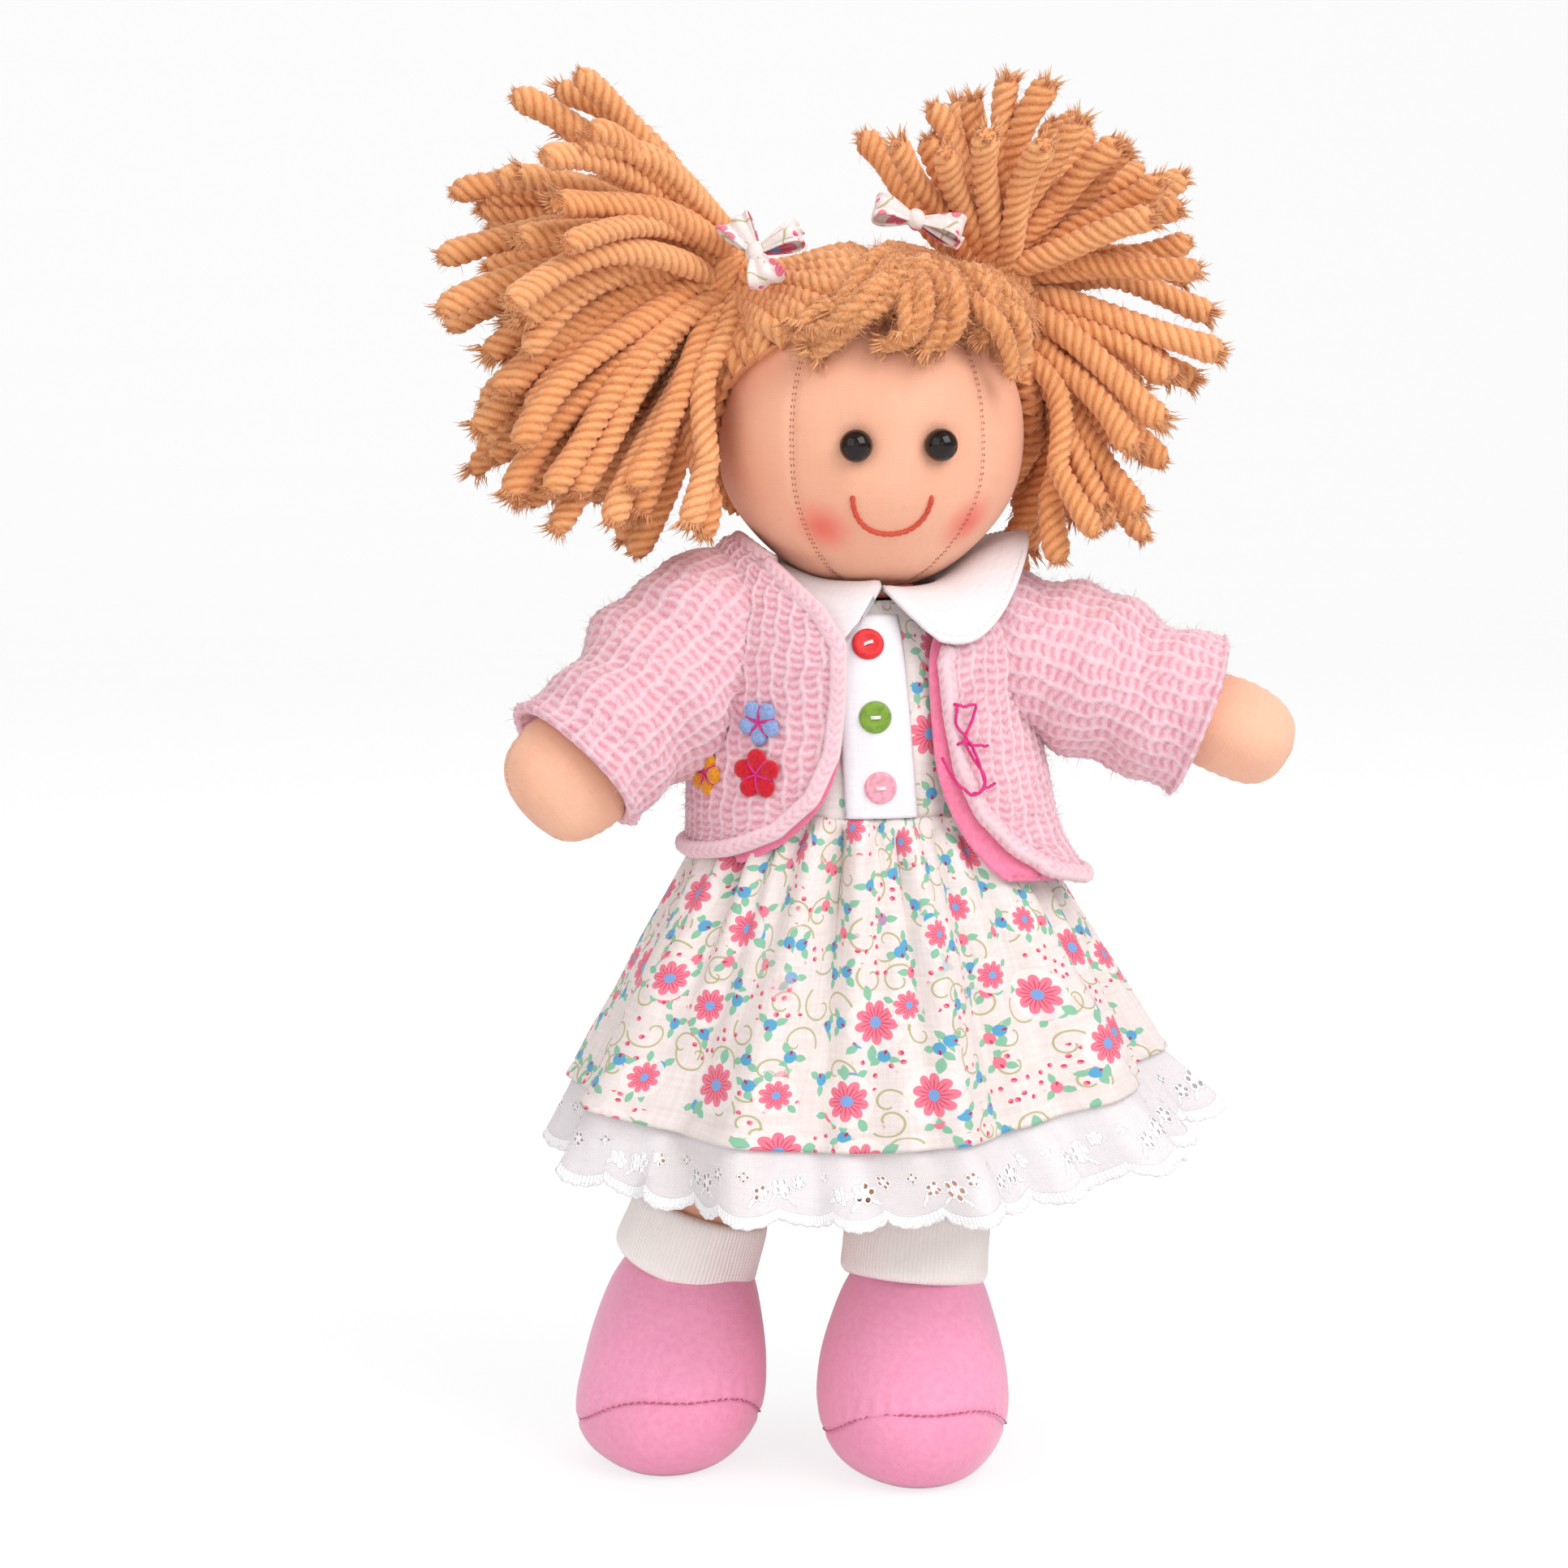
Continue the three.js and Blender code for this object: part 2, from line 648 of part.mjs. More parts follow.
/** A bunch of yarn: fat lobes that fan out from a round root. */
function bunchSolid(side, grow = 0) {
  const table = side === 'right' ? fanRightShares : fanLeftShares;
  const length = side === 'right' ? fanRightLength : fanLeftLength;
  const lobes = table.map(([angle, reach, depth]) => {
    const way = point(Math.cos(radians(angle)), 0, Math.sin(radians(angle)));
    const tip = tie[side].clone().addScaledVector(way, length * reach).add(point(0, fanDepth * depth, 0));
    const middle = tie[side].clone().lerp(tip, 1 / 2).add(point(0, fanBulge * depth, fanBulge));
    const path = new THREE.QuadraticBezierCurve3(tie[side], middle, tip);
    return loft(lobeShares.map(([place, size], i) => {
      const along = path.getTangent(place).normalize();
      const across = new THREE.Vector3().crossVectors(axisY, along).normalize();
      const forward = new THREE.Vector3().crossVectors(along, across);
      const centre = path.getPoint(place);
      if (i === lobeShares.length - 1) centre.addScaledVector(along, grow);
      return ellipse(centre, across, forward, size * lobeRadius + grow, size * lobeRadius + grow, 5);
    }));
  });
  const head = headEgg(capThickness + turnGap - grow, finePoints, fineRings);
  return join(lobes).subtract(head).add(ball(tie[side], rootRadius + grow, limbPoints, limbRings));
}

/** The cord wound round the root of a bunch. */
function tieRing(side, grow = 0) {
  const geometry = new THREE.TorusGeometry(tieRingRadius, tieCordRadius + grow, 5, 16);
  const away = tie[side].clone().sub(headCentre).normalize();
  geometry.applyQuaternion(new THREE.Quaternion().setFromUnitVectors(axisZ, away));
  geometry.translate(tie[side].x, tie[side].y, tie[side].z);
  return solidOf(geometry);
}

/** The sewn yarn cap over the head, or the same moved outward and filled in. */
function capBlock(grow = 0) {
  const hairline = aboveSlope(hairlineFrontY, hairlineFrontZ - grow, hairlineSideY, hairlineSideZ - grow);
  const nape = block(point(-overrun - shoulderSpan, -overrun - shoulderSpan, capNapeZ - grow),
    point(overrun + shoulderSpan, overrun + shoulderSpan, headZ + headHalfHeight + overrun));
  return headEgg(capThickness + grow).intersect(hairline).intersect(nape);
}

/** A bow of two loops and a knot, laid on the cap. */
function bowSolid(x, y, lean) {
  const wide = (x - headX) / (headRadius + capThickness);
  const deep = (y - headY) / (headRadius + capThickness);
  const capHeight = (headHalfHeight + capThickness) * Math.sqrt(1 - wide * wide - deep * deep);
  const z = headZ + capHeight + bowThickness - bowSink;
  const loop = point(Math.cos(radians(lean)), 0, Math.sin(radians(lean))).multiplyScalar(bowLoop);
  const middle = point(x, y, z);
  const loops = [-1, 1].map((end) => limb(
    middle,
    middle.clone().addScaledVector(loop, end),
    bowShares,
    bowWidth,
    bowThickness,
    0,
    8,
  ));
  return join([...loops, ball(middle, bowThickness, smallPoints, smallRings)]);
}

/** The curly yarn fringe over the forehead. */
function fringeSolid() {
  const tufts = fringeTurns.map(([turn, up]) => {
    const level = Math.cos(radians(up));
    const across = Math.sin(radians(turn)) * level;
    const way = point(across, -Math.cos(radians(turn)) * level, Math.sin(radians(up)));
    const centre = headCentre.clone().addScaledVector(way, headRadius + fringeStand);
    return ball(centre, fringeRadius, smallPoints, smallRings);
  });
  return join(tufts);
}

/** The stitched smile: a thread along an arc on the face. */
function smileThread() {
  const limit = radians(smileTurn);
  const steps = 12;
  const points = Array.from({ length: steps + 1 }, (_, i) => {
    const turn = mix(-limit, limit, i / steps);
    const x = smileMiddleX + ((smileWidth / 2) * Math.sin(turn)) / Math.sin(limit);
    const z = smileTopZ - (smileDrop * (Math.cos(turn) - Math.cos(limit))) / (1 - Math.cos(limit));
    return point(x, faceY(x, z, gap + threadRadius), z);
  });
  const section = new THREE.Shape();
  section.absarc(0, 0, threadRadius, 0, 2 * Math.PI);
  const path = new THREE.CatmullRomCurve3(points);
  return solidOf(new THREE.ExtrudeGeometry(section, { steps, curveSegments: 3, extrudePath: path }));
}

/** A layer of one thickness on the dress front, cut to a shape seen from the front. */
function layerOnChest(shape, under, thickness) {
  return fromFront(shape, bodyY - overrun, bodyY, 8)
    .intersect(torsoStack(under + thickness))
    .subtract(torsoStack(under));
}

/** A round button's outline with its two holes. */
function buttonShape(x, z) {
  const shape = new THREE.Shape();
  shape.absarc(x, z, buttonRadius, 0, 2 * Math.PI);
  [-1, 1].forEach((end) => {
    const hole = new THREE.Path();
    hole.absarc(x + (end * buttonHoleSpacing) / 2, z, buttonHoleRadius, 0, 2 * Math.PI, true);
    shape.holes.push(hole);
  });
  return shape;
}

/** A felt flower with five round petals, laid on the cardigan. */
function flowerSolid(x, z, radius) {
  const count = 5 * petalCount;
  const points = Array.from({ length: count }, (_, i) => {
    const turn = (2 * Math.PI * i) / count;
    const reach = radius * (1 - petalShare + petalShare * Math.cos(petalCount * turn));
    return [x + reach * Math.sin(turn), z + reach * Math.cos(turn)];
  });
  const face = cardiganStack(gap + flowerThickness);
  const petals = fromFront(outline(points), bodyY - overrun, bodyY).intersect(face);
  return cut(petals, [cardiganStack(gap), ...shoulderRoom]);
}

const doll = new THREE.Group();

/** Add one solid to a group as a named mesh with its own material. */
function addPiece(group, name, solid, colour, roughness = mattRoughness) {
  const { vertProperties, triVerts } = solid.getMesh();
  const geometry = new THREE.BufferGeometry();
  geometry.setAttribute('position', new THREE.BufferAttribute(vertProperties, 3));
  geometry.setIndex(new THREE.BufferAttribute(triVerts, 1));
  geometry.computeVertexNormals();
  const material = new THREE.MeshStandardMaterial({ color: colour, roughness, metalness: 0 });
  const mesh = new THREE.Mesh(geometry, material);
  mesh.name = name;
  group.add(mesh);
}

/** The stuffed body and its tabs. */
function addBody() {
  const group = new THREE.Group();
  const torso = cut(torsoStack(), [...shoulderRoom, ...sides.map(legRoom)]);
  addPiece(group, 'torso', torso, skinColour);
  const neckLow = point(headX, headY, torsoTopZ + gap);
  const neck = bar(neckLow, headCentre, neckRadius).subtract(headEgg(turnGap));
  addPiece(group, 'neck', neck, skinColour);
  sides.forEach((side) => {
    addPiece(group, `shoulder_tab_${side}`, shoulderTab(side), skinColour);
    addPiece(group, `hip_tab_${side}`, hipTab(side), skinColour);
  });
  doll.add(group);
}

/** The head with its face and hair. */
function addHead() {
  const group = new THREE.Group();
  const head = headEgg();
  addPiece(group, 'head', head, skinColour);
  sides.forEach((side) => {
    const x = eyeMiddleX - inward[side].x * (eyeSpacing / 2);
    const eye = ball(point(x, faceY(x, eyeZ) - eyeStand, eyeZ), eyeRadius, 12, 7);
    addPiece(group, `eye_${side}`, eye.subtract(headEgg(gap)), eyeColour, beadRoughness);
  });
  addPiece(group, 'mouth_thread', smileThread(), smileColour);
  const rootRoom = sides.map((side) => ball(tie[side], rootRadius + turnGap, limbPoints, limbRings));
  addPiece(group, 'hair_cap', cut(capBlock(), [headEgg(gap), ...rootRoom]), yarnColour);
  const bunches = sides.map((side) => bunchSolid(side, gap));
  const bowPlaces = { right: [bowRightX, bowRightY, bowRightLean], left: [bowLeftX, bowLeftY, bowLeftLean] };
  const bows = sides.map((side) => {
    const bow = cut(bowSolid(...bowPlaces[side]), [headEgg(capThickness + gap), ...bunches]);
    addPiece(group, `bow_${side}`, bow, printColour);
    return bow;
  });
  sides.forEach((side) => {
    addPiece(group, `bunch_${side}`, bunchSolid(side).subtract(tieRing(side, gap)), yarnColour);
    addPiece(group, `hair_tie_${side}`, tieRing(side), yarnColour);
  });
  const fringe = cut(fringeSolid(), [headEgg(gap), capBlock(gap), ...bunches, ...bows]);
  addPiece(group, 'fringe', fringe, yarnColour);
  doll.add(group);
}

/** The dress: bodice, placket with buttons, collar, skirt and frill. */
function addDress() {
  const group = new THREE.Group();
  const far = overrun + shoulderSpan;
  const belowWaist = block(point(-far, -far, 0), point(far, far, waistZ + gap));
  const neckHole = bar(point(headX, headY, waistZ), headCentre, neckRadius + gap);
  const bodiceGaps = [torsoStack(gap), belowWaist, neckHole, ...shoulderRoom];
  const bodice = cut(torsoStack(gap + dressThickness), bodiceGaps);
  addPiece(group, 'bodice', bodice, printColour);
  const underCollar = torsoStack(2 * gap + dressThickness);
  sides.forEach((side) => {
    addPiece(group, `collar_${side}`, cut(collarSolid(side), [underCollar, ...shoulderRoom]), whiteColour);
  });
  const lowX = placketTopX + placketLean;
  const half = placketWidth / 2;
  const strip = outline([[lowX - half, waistZ + gap], [lowX + half, waistZ + gap],
    [placketTopX + half, placketTopZ], [placketTopX - half, placketTopZ]]);
  const underPlacket = 2 * gap + dressThickness;
  const collars = sides.map((side) => collarSolid(side, gap));
  const placket = cut(layerOnChest(strip, underPlacket, placketThickness), collars);
  addPiece(group, 'placket', placket, whiteColour);
  const underButton = underPlacket + placketThickness + gap;
  const colours = { red: redColour, green: greenColour, pink: pinkColour };
  Object.entries(colours).forEach(([name, colour], i) => {
    const z = buttonTopZ - i * buttonPitch;
    const x = mix(placketTopX, lowX, (placketTopZ - z) / (placketTopZ - waistZ));
    const button = layerOnChest(buttonShape(x, z), underButton, buttonThickness);
    addPiece(group, `button_${name}`, button, colour, buttonRoughness);
  });
  const skirt = clothTube(skirtRing, skirtRowShares).subtract(torsoStack(gap));
  addPiece(group, 'skirt', skirt, printColour);
  addPiece(group, 'frill', clothTube(frillRing, frillRowShares), whiteColour);
  doll.add(group);
}

/** The knitted cardigan: back, two fronts, two sleeves, the facing and the flowers. */
function addCardigan() {
  const group = new THREE.Group();
  const far = overrun + shoulderSpan;
  const shell = cardiganStack().subtract(cardiganStack(-knitThickness, gap));
  const around = [...shoulderRoom, ...sides.map((side) => collarSolid(side, gap))];
  const behind = block(point(-far, bodyY + gap / 2, cardiganHemZ), point(far, far, cardiganTopZ + gap));
  addPiece(group, 'cardigan_back', cut(shell.intersect(behind), around), knitColour);
  const fronts = { right: [edgeRight, -1], left: [edgeLeft, 1] };
  sides.forEach((side) => {
    const [edge, outX] = fronts[side];
    const front = fromFront(frontOutline(edge, outX), -far, bodyY - gap / 2);
    addPiece(group, `cardigan_front_${side}`, cut(shell.intersect(front), around), knitColour);
    addPiece(group, `sleeve_${side}`, sleeveSolid(side), knitColour);
  });
  const edge = edgeLeft.slice(5);
  const strip = outline([
    ...edge.map(([x, z]) => [x - gap, z - gap]),
    ...edge.map(([x, z]) => [x - facingWidth, z - facingWidth]).reverse(),
  ]);
  const layer = cardiganStack(-facingInset).subtract(cardiganStack(-facingInset - facingThickness, gap));
  const facing = layer.intersect(fromFront(strip, -far, bodyY - gap / 2));
  addPiece(group, 'facing_left', facing, facingColour);
  const small = flowerRadius * flowerSmallShare;
  addPiece(group, 'flower_red', flowerSolid(flowerRedX, flowerRedZ, flowerRadius), redColour);
  addPiece(group, 'flower_yellow', flowerSolid(flowerYellowX, flowerYellowZ, small), yellowColour);
  addPiece(group, 'flower_blue', flowerSolid(flowerBlueX, flowerBlueZ, small), blueColour);
  doll.add(group);
}

/** The arms, and the legs with their cuffs and shoes. */
function addLimbs() {
  const group = new THREE.Group();
  sides.forEach((side) => {
    addPiece(group, `arm_${side}`, armSolid(side), skinColour);
    addPiece(group, `leg_${side}`, legSolid(side).subtract(shoeSolid(side, gap)), skinColour);
    addPiece(group, `cuff_${side}`, cuffSolid(side), sockColour);
    addPiece(group, `shoe_${side}`, shoeSolid(side).intersect(aboveSeam(side, gap / 2)), shoeColour);
    addPiece(group, `sole_${side}`, shoeSolid(side).subtract(aboveSeam(side, -gap / 2)), shoeColour);
  });
  doll.add(group);
}

addBody();
addHead();
addDress();
addCardigan();
addLimbs();

// The doll stands on the middle of its own base
doll.updateMatrixWorld(true);
const bounds = new THREE.Box3().setFromObject(doll);
const middle = bounds.getCenter(new THREE.Vector3());
doll.position.set(-middle.x, -middle.y, -bounds.min.z);
doll.updateMatrixWorld(true);

export default doll;
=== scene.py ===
"""A stuffed rag doll with yarn bunches, a print dress, a knitted cardigan and padded shoes.

Sizes are in millimetres and turn into metres only where a mesh is made. The doll faces -Y.
"""

import json
import logging
import math
from dataclasses import dataclass, field
from enum import Enum
from typing import Iterable, Sequence

import bpy
import numpy as np
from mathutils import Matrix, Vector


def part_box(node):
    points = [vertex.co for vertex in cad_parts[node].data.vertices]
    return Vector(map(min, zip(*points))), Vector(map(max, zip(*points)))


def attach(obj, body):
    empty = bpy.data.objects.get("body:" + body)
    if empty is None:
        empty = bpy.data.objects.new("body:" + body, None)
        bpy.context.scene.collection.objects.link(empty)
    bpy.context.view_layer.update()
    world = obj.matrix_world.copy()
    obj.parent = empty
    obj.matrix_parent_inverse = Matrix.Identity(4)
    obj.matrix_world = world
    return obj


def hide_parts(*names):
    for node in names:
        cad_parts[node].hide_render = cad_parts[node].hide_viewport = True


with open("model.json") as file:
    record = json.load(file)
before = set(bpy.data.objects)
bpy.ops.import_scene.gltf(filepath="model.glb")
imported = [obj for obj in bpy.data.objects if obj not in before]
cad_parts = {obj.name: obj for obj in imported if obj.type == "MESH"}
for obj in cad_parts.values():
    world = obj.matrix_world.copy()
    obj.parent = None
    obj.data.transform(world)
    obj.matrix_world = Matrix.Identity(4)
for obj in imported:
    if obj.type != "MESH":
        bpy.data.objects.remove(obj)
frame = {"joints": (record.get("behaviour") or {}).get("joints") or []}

METRE = 0.001
LEAST_CUT = 0.01
FULL_TURN = 2 * math.pi
GOLDEN_TURN = 2.39996
SCREEN_KNEE, SCREEN_SLOPE, SCREEN_LIFT, SCREEN_POWER = 0.04045, 12.92, 0.055, 2.4
SENSOR_WIDTH = 36.0
log = logging.getLogger("doll")

Points = np.ndarray
Piece = bpy.types.Object
Material = bpy.types.Material
Tree = bpy.types.NodeTree


class Side(Enum):
    """The doll's own right and left, with the way out along X."""

    RIGHT = -1
    LEFT = 1

    @property
    def word(self) -> str:
        """The side's name as the frame writes it."""
        return self.name.lower()


def colour(red: int, green: int, blue: int) -> tuple[float, float, float, float]:
    """Turn a colour as seen, 0 to 255, into the linear one that a shader reads.

    Args:
        red: The red part.
        green: The green part.
        blue: The blue part.

    Returns:
        The linear colour with full alpha.
    """
    def linear(part: int) -> float:
        """Undo the screen's curve for one part."""
        share = part / 255
        if share <= SCREEN_KNEE:
            return share / SCREEN_SLOPE
        return ((share + SCREEN_LIFT) / (1 + SCREEN_LIFT)) ** SCREEN_POWER

    return linear(red), linear(green), linear(blue), 1.0


def joint_place(name: str) -> Points:
    """The place of a joint in millimetres."""
    return next(np.array(j["pos_m"]) / METRE for j in frame["joints"] if j["name"] == name)


def node_box(name: str) -> tuple[Points, Points]:
    """The lowest and highest corners of a node in millimetres."""
    low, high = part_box(name)
    return np.array(low) / METRE, np.array(high) / METRE


def node_middle(name: str) -> Points:
    """The middle of a node's box in millimetres."""
    low, high = node_box(name)
    return (low + high) / 2


def smooth(low: float, high: float, value: Points | float) -> Points | float:
    """A soft step from 0 at low to 1 at high."""
    share = np.clip((np.asarray(value, float) - low) / (high - low), 0, 1)
    return share * share * (3 - 2 * share)


def unit(vector: Points) -> Points:
    """The same vectors with length one, along the last axis."""
    length = np.linalg.norm(vector, axis=-1, keepdims=True)
    return vector / np.maximum(length, 1e-9)


def xyz(x: Points, y: Points, z: Points) -> Points:
    """Points from their x, y and z, spread over one shape."""
    return np.stack(np.broadcast_arrays(x, y, z), axis=-1)


def turns(count: int, start: float = 0.0) -> Points:
    """Even turns round a ring, in radians."""
    return start + FULL_TURN * np.arange(count) / count


def running(steps: Points) -> Points:
    """The sums of steps so far, from 0."""
    return np.concatenate([[0], np.cumsum(steps)])


def level_out(points: Points, middle_x: float, middle_y: float) -> Points:
    """The level way out from an upright line through a middle."""
    return unit((points - [middle_x, middle_y, 0]) * [1, 1, 0])


def curve_through(points: Sequence[Sequence[float]], count: int) -> Points:
    """A smooth curve through a few points, evenly spaced along its length.

    Args:
        points: The points, in order.
        count: How many points the curve has.

    Returns:
        The curve's points.
    """
    knots = np.asarray(points, float)
    padded = np.vstack([2 * knots[0] - knots[1], knots, 2 * knots[-1] - knots[-2]])
    fine = []
    for k in range(len(knots) - 1):
        a, b, c, d = padded[k:k + 4]
        t = np.linspace(0, 1, 16, endpoint=False)[:, None]
        fine.append(0.5 * (2 * b + (c - a) * t + (2 * a - 5 * b + 4 * c - d) * t ** 2
                           + (3 * b - a - 3 * c + d) * t ** 3))
    line = np.vstack([*fine, knots[-1:]])
    along = running(np.linalg.norm(np.diff(line, axis=0), axis=1))
    even = np.linspace(0, along[-1], count)
    return np.stack([np.interp(even, along, line[:, axis]) for axis in range(line.shape[1])], axis=1)


def ripple(places: Points, scale: float, seed: int) -> Points:
    """A smooth wandering value from about -1 to 1, the same on each run.

    Args:
        places: Points, with the last axis x, y, z.
        scale: The size of one swell in millimetres.
        seed: A number that picks the pattern.

    Returns:
        One value for each point.
    """
    random = np.random.default_rng(seed)
    total = np.zeros(places.shape[:-1])
    for _ in range(5):
        way = unit(random.normal(size=3)) * FULL_TURN / (scale * random.uniform(0.7, 1.5))
        total = total + np.sin(places @ way + random.uniform(0, FULL_TURN))
    return total / 3


# Meshes

def lattice(rows: int, columns: int, wrap: bool) -> tuple[Points, Points]:
    """Quads over a lattice of points.

    Args:
        rows: The number of rows.
        columns: The number of points in a row.
        wrap: Whether each row closes on itself.

    Returns:
        The quads, and the row and unwrapped column of each quad's corners.
    """
    last = columns if wrap else columns - 1
    i, j = (grid.ravel() for grid in np.meshgrid(np.arange(rows - 1), np.arange(last), indexing="ij"))
    places = np.stack([np.stack([i, j], 1), np.stack([i, j + 1], 1), np.stack([i + 1, j + 1], 1),
                       np.stack([i + 1, j], 1)], axis=1)
    return places[..., 0] * columns + places[..., 1] % columns, places


def new_object(name: str, data: bpy.types.ID | None) -> Piece:
    """Put a new object in the scene, at the origin."""
    piece = bpy.data.objects.new(name, data)
    bpy.context.scene.collection.objects.link(piece)
    return piece


def make_piece(name: str, points: Points, faces: list[list[int]], material: Material,
               corners: Points | None = None, **values: Points) -> Piece:
    """Make one object from points in millimetres, with its faces outward.

    Args:
        name: The object's name.
        points: The points.
        faces: The faces, as point numbers.
        material: The finish.
        corners: The cloth place of each face corner in millimetres, which becomes the UV map.
        **values: Numbers kept on the points under their own names.

    Returns:
        The object, at the origin.
    """
    loops = [p for face in faces for p in face]
    fans = np.array([(f[0], f[k], f[k + 1]) for f in faces for k in range(1, len(f) - 1)])
    first, second, third = (points[fans[:, k]] for k in range(3))
    if np.einsum("ij,ij->", first, np.cross(second, third)) < 0:
        faces = [face[::-1] for face in faces]
        if corners is not None:
            starts = np.cumsum([0] + [len(face) for face in faces])
            order = np.concatenate([np.arange(b - 1, a - 1, -1) for a, b in zip(starts[:-1], starts[1:])])
            corners = corners[order]
    mesh = bpy.data.meshes.new(name)
    mesh.from_pydata((points * METRE).tolist(), [], faces)
    mesh.polygons.foreach_set("use_smooth", np.ones(len(faces), dtype=bool))
    if corners is not None and len(corners) == len(loops):
        layer = mesh.uv_layers.new(name="cloth")
        layer.data.foreach_set("uv", (corners * METRE).astype(np.float32).ravel())
    for key, value in values.items():
        mesh.attributes.new(key, "FLOAT", "POINT").data.foreach_set("value", value.astype(np.float32))
    mesh.update()
    mesh.materials.append(material)
    return new_object(name, mesh)


def spread(grid: Points, wrap: bool) -> tuple[Points, Points]:
    """The cloth's own length across and along, on average, at each column and row.

    Args:
        grid: Rows of points.
        wrap: Whether each row closes on itself.

    Returns:
        The length across at each column, with one more for a closed row, and along at each row.
    """
    closed = np.concatenate([grid, grid[:, :1]], axis=1) if wrap else grid
    across = np.linalg.norm(np.diff(closed, axis=1), axis=-1).mean(axis=0)
    along = np.linalg.norm(np.diff(grid, axis=0), axis=-1).mean(axis=1)
    return running(across), running(along)


def corner_places(grid: Points, places: Points, wrap: bool) -> Points:
    """The cloth place of each quad corner, in millimetres."""
    across, along = spread(grid, wrap)
    return np.stack([across[places[..., 1]], along[places[..., 0]]], axis=-1).reshape(-1, 2)


def stuffed(name: str, grid: Points, material: Material, **values: Points) -> Piece:
    """A closed stuffed form over rows of rings, with a point in the middle of each end.

    Args:
        name: The object's name.
        grid: Rings of points in millimetres.
        material: The finish.
        **values: Numbers for each point of the grid, kept under their own names.

    Returns:
        The object.
    """
    rows, columns, _ = grid.shape
    quads, places = lattice(rows, columns, True)
    points = np.vstack([grid.reshape(-1, 3), grid[0].mean(axis=0), grid[-1].mean(axis=0)])
    faces = quads.tolist()
    corners = [corner_places(grid, places, True)]
    across, along = spread(grid, True)
    for row, pole in ((0, rows * columns), (rows - 1, rows * columns + 1)):
        for j in range(columns):
            ring = [row * columns + j, row * columns + (j + 1) % columns]
            face = [ring[1], ring[0], pole] if row == 0 else [ring[0], ring[1], pole]
            here = [[across[j + 1], along[row]], [across[j], along[row]], [across[j], along[row]]]
            faces.append(face)
            corners.append(np.array(here if row == 0 else [here[1], here[0], here[2]]))
    kept = {key: np.concatenate([value.ravel(), [value[0].mean(), value[-1].mean()]])
            for key, value in values.items()}
    return make_piece(name, points, faces, material, np.vstack(corners), **kept)


def grid_normals(grid: Points, wrap: bool) -> Points:
    """The outward or inward normal at each point of a lattice.

    Args:
        grid: Rows of points.
        wrap: Whether each row closes on itself.

    Returns:
        Unit normals: along the rows' direction crossed with the columns'.
    """
    if wrap:
        across = np.roll(grid, -1, axis=1) - np.roll(grid, 1, axis=1)
    else:
        across = np.gradient(grid, axis=1)
    return unit(np.cross(across, np.gradient(grid, axis=0)))


def cloth(name: str, grid: Points, thickness: float, wrap: bool, material: Material,
          base: Points | None = None, **values: Points) -> Piece:
    """A closed body for one layer of cloth, whose other face lies behind the grid.

    Args:
        name: The object's name.
        grid: Rows of points on the shown face.
        thickness: The cloth's thickness, against the grid's normals.
        wrap: Whether each row closes on itself.
        material: The finish.
        base: The cloth's middle without its raised stitches, where it has them.
        **values: Numbers for each point of the grid, kept under their own names.

    Returns:
        The object.
    """
    rows, columns, _ = grid.shape
    base = grid if base is None else base
    back = base - grid_normals(base, wrap) * thickness
    quads, places = lattice(rows, columns, wrap)
    count = rows * columns
    faces = quads.tolist() + (quads[:, ::-1] + count).tolist()
    shown = corner_places(grid, places, wrap)
    behind = corner_places(grid, places[:, ::-1], wrap)
    border: list[tuple[int, int]] = []
    wide = columns if wrap else columns - 1
    border += [(j, (j + 1) % columns) for j in range(wide)]
    border += [((rows - 1) * columns + (j + 1) % columns, (rows - 1) * columns + j) for j in range(wide)]
    if not wrap:
        border += [((i + 1) * columns, i * columns) for i in range(rows - 1)]
        border += [(i * columns + columns - 1, (i + 1) * columns + columns - 1) for i in range(rows - 1)]
    across, along = spread(grid, wrap)
    rim = []
    for a, b in border:
        faces.append([b, a, a + count, b + count])
        places_ab = [[across[p % columns], along[p // columns]] for p in (b, a, a, b)]
        rim.append(places_ab)
    corners = np.vstack([shown, behind, np.array(rim).reshape(-1, 2)])
    kept = {key: np.concatenate([value.ravel(), value.ravel()]) for key, value in values.items()}
    return make_piece(name, np.vstack([grid.reshape(-1, 3), back.reshape(-1, 3)]), faces, material, corners, **kept)


def place_piece(piece: Piece, body: str, slot: str, *nodes: str) -> Piece:
    """Let a piece ride on a body and hide the frame's nodes that it stands for.

    Args:
        piece: The object.
        body: The body that it moves with.
        slot: The record's material slot; not used.
        *nodes: The frame's nodes that it replaces.

    Returns:
        The same object.
    """
    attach(piece, body)
    if nodes:
        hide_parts(*nodes)
    log.info("%s: %d faces on %s", piece.name, len(piece.data.polygons), body)
    return piece


def cut_flat(piece: Piece, grid: Points, wrap: bool) -> Piece:
    """Say how large a sheet of cloth is when it is cut flat.

    Args:
        piece: The placed sheet.
        grid: The points of its shown face.
        wrap: Whether its columns close into a tube.

    Returns:
        The same piece.
    """
    mesh = np.concatenate([grid, grid[:, :1]], axis=1) if wrap else grid
    first, second = mesh[:-1, :-1] - mesh[1:, 1:], mesh[1:, :-1] - mesh[:-1, 1:]
    area = float(np.linalg.norm(np.cross(first, second), axis=-1).sum() / 2) * METRE ** 2
    wide = float(np.linalg.norm(np.diff(mesh, axis=1), axis=-1).sum(axis=1).max()) * METRE
    long = float(np.linalg.norm(np.diff(mesh, axis=0), axis=-1).sum(axis=0).max()) * METRE
    wide = max(wide, LEAST_CUT)
    log.info("%s is cut %.3f by %.3f m, area %.5f m2", piece.name, wide, long, area)
    return piece


# Node building

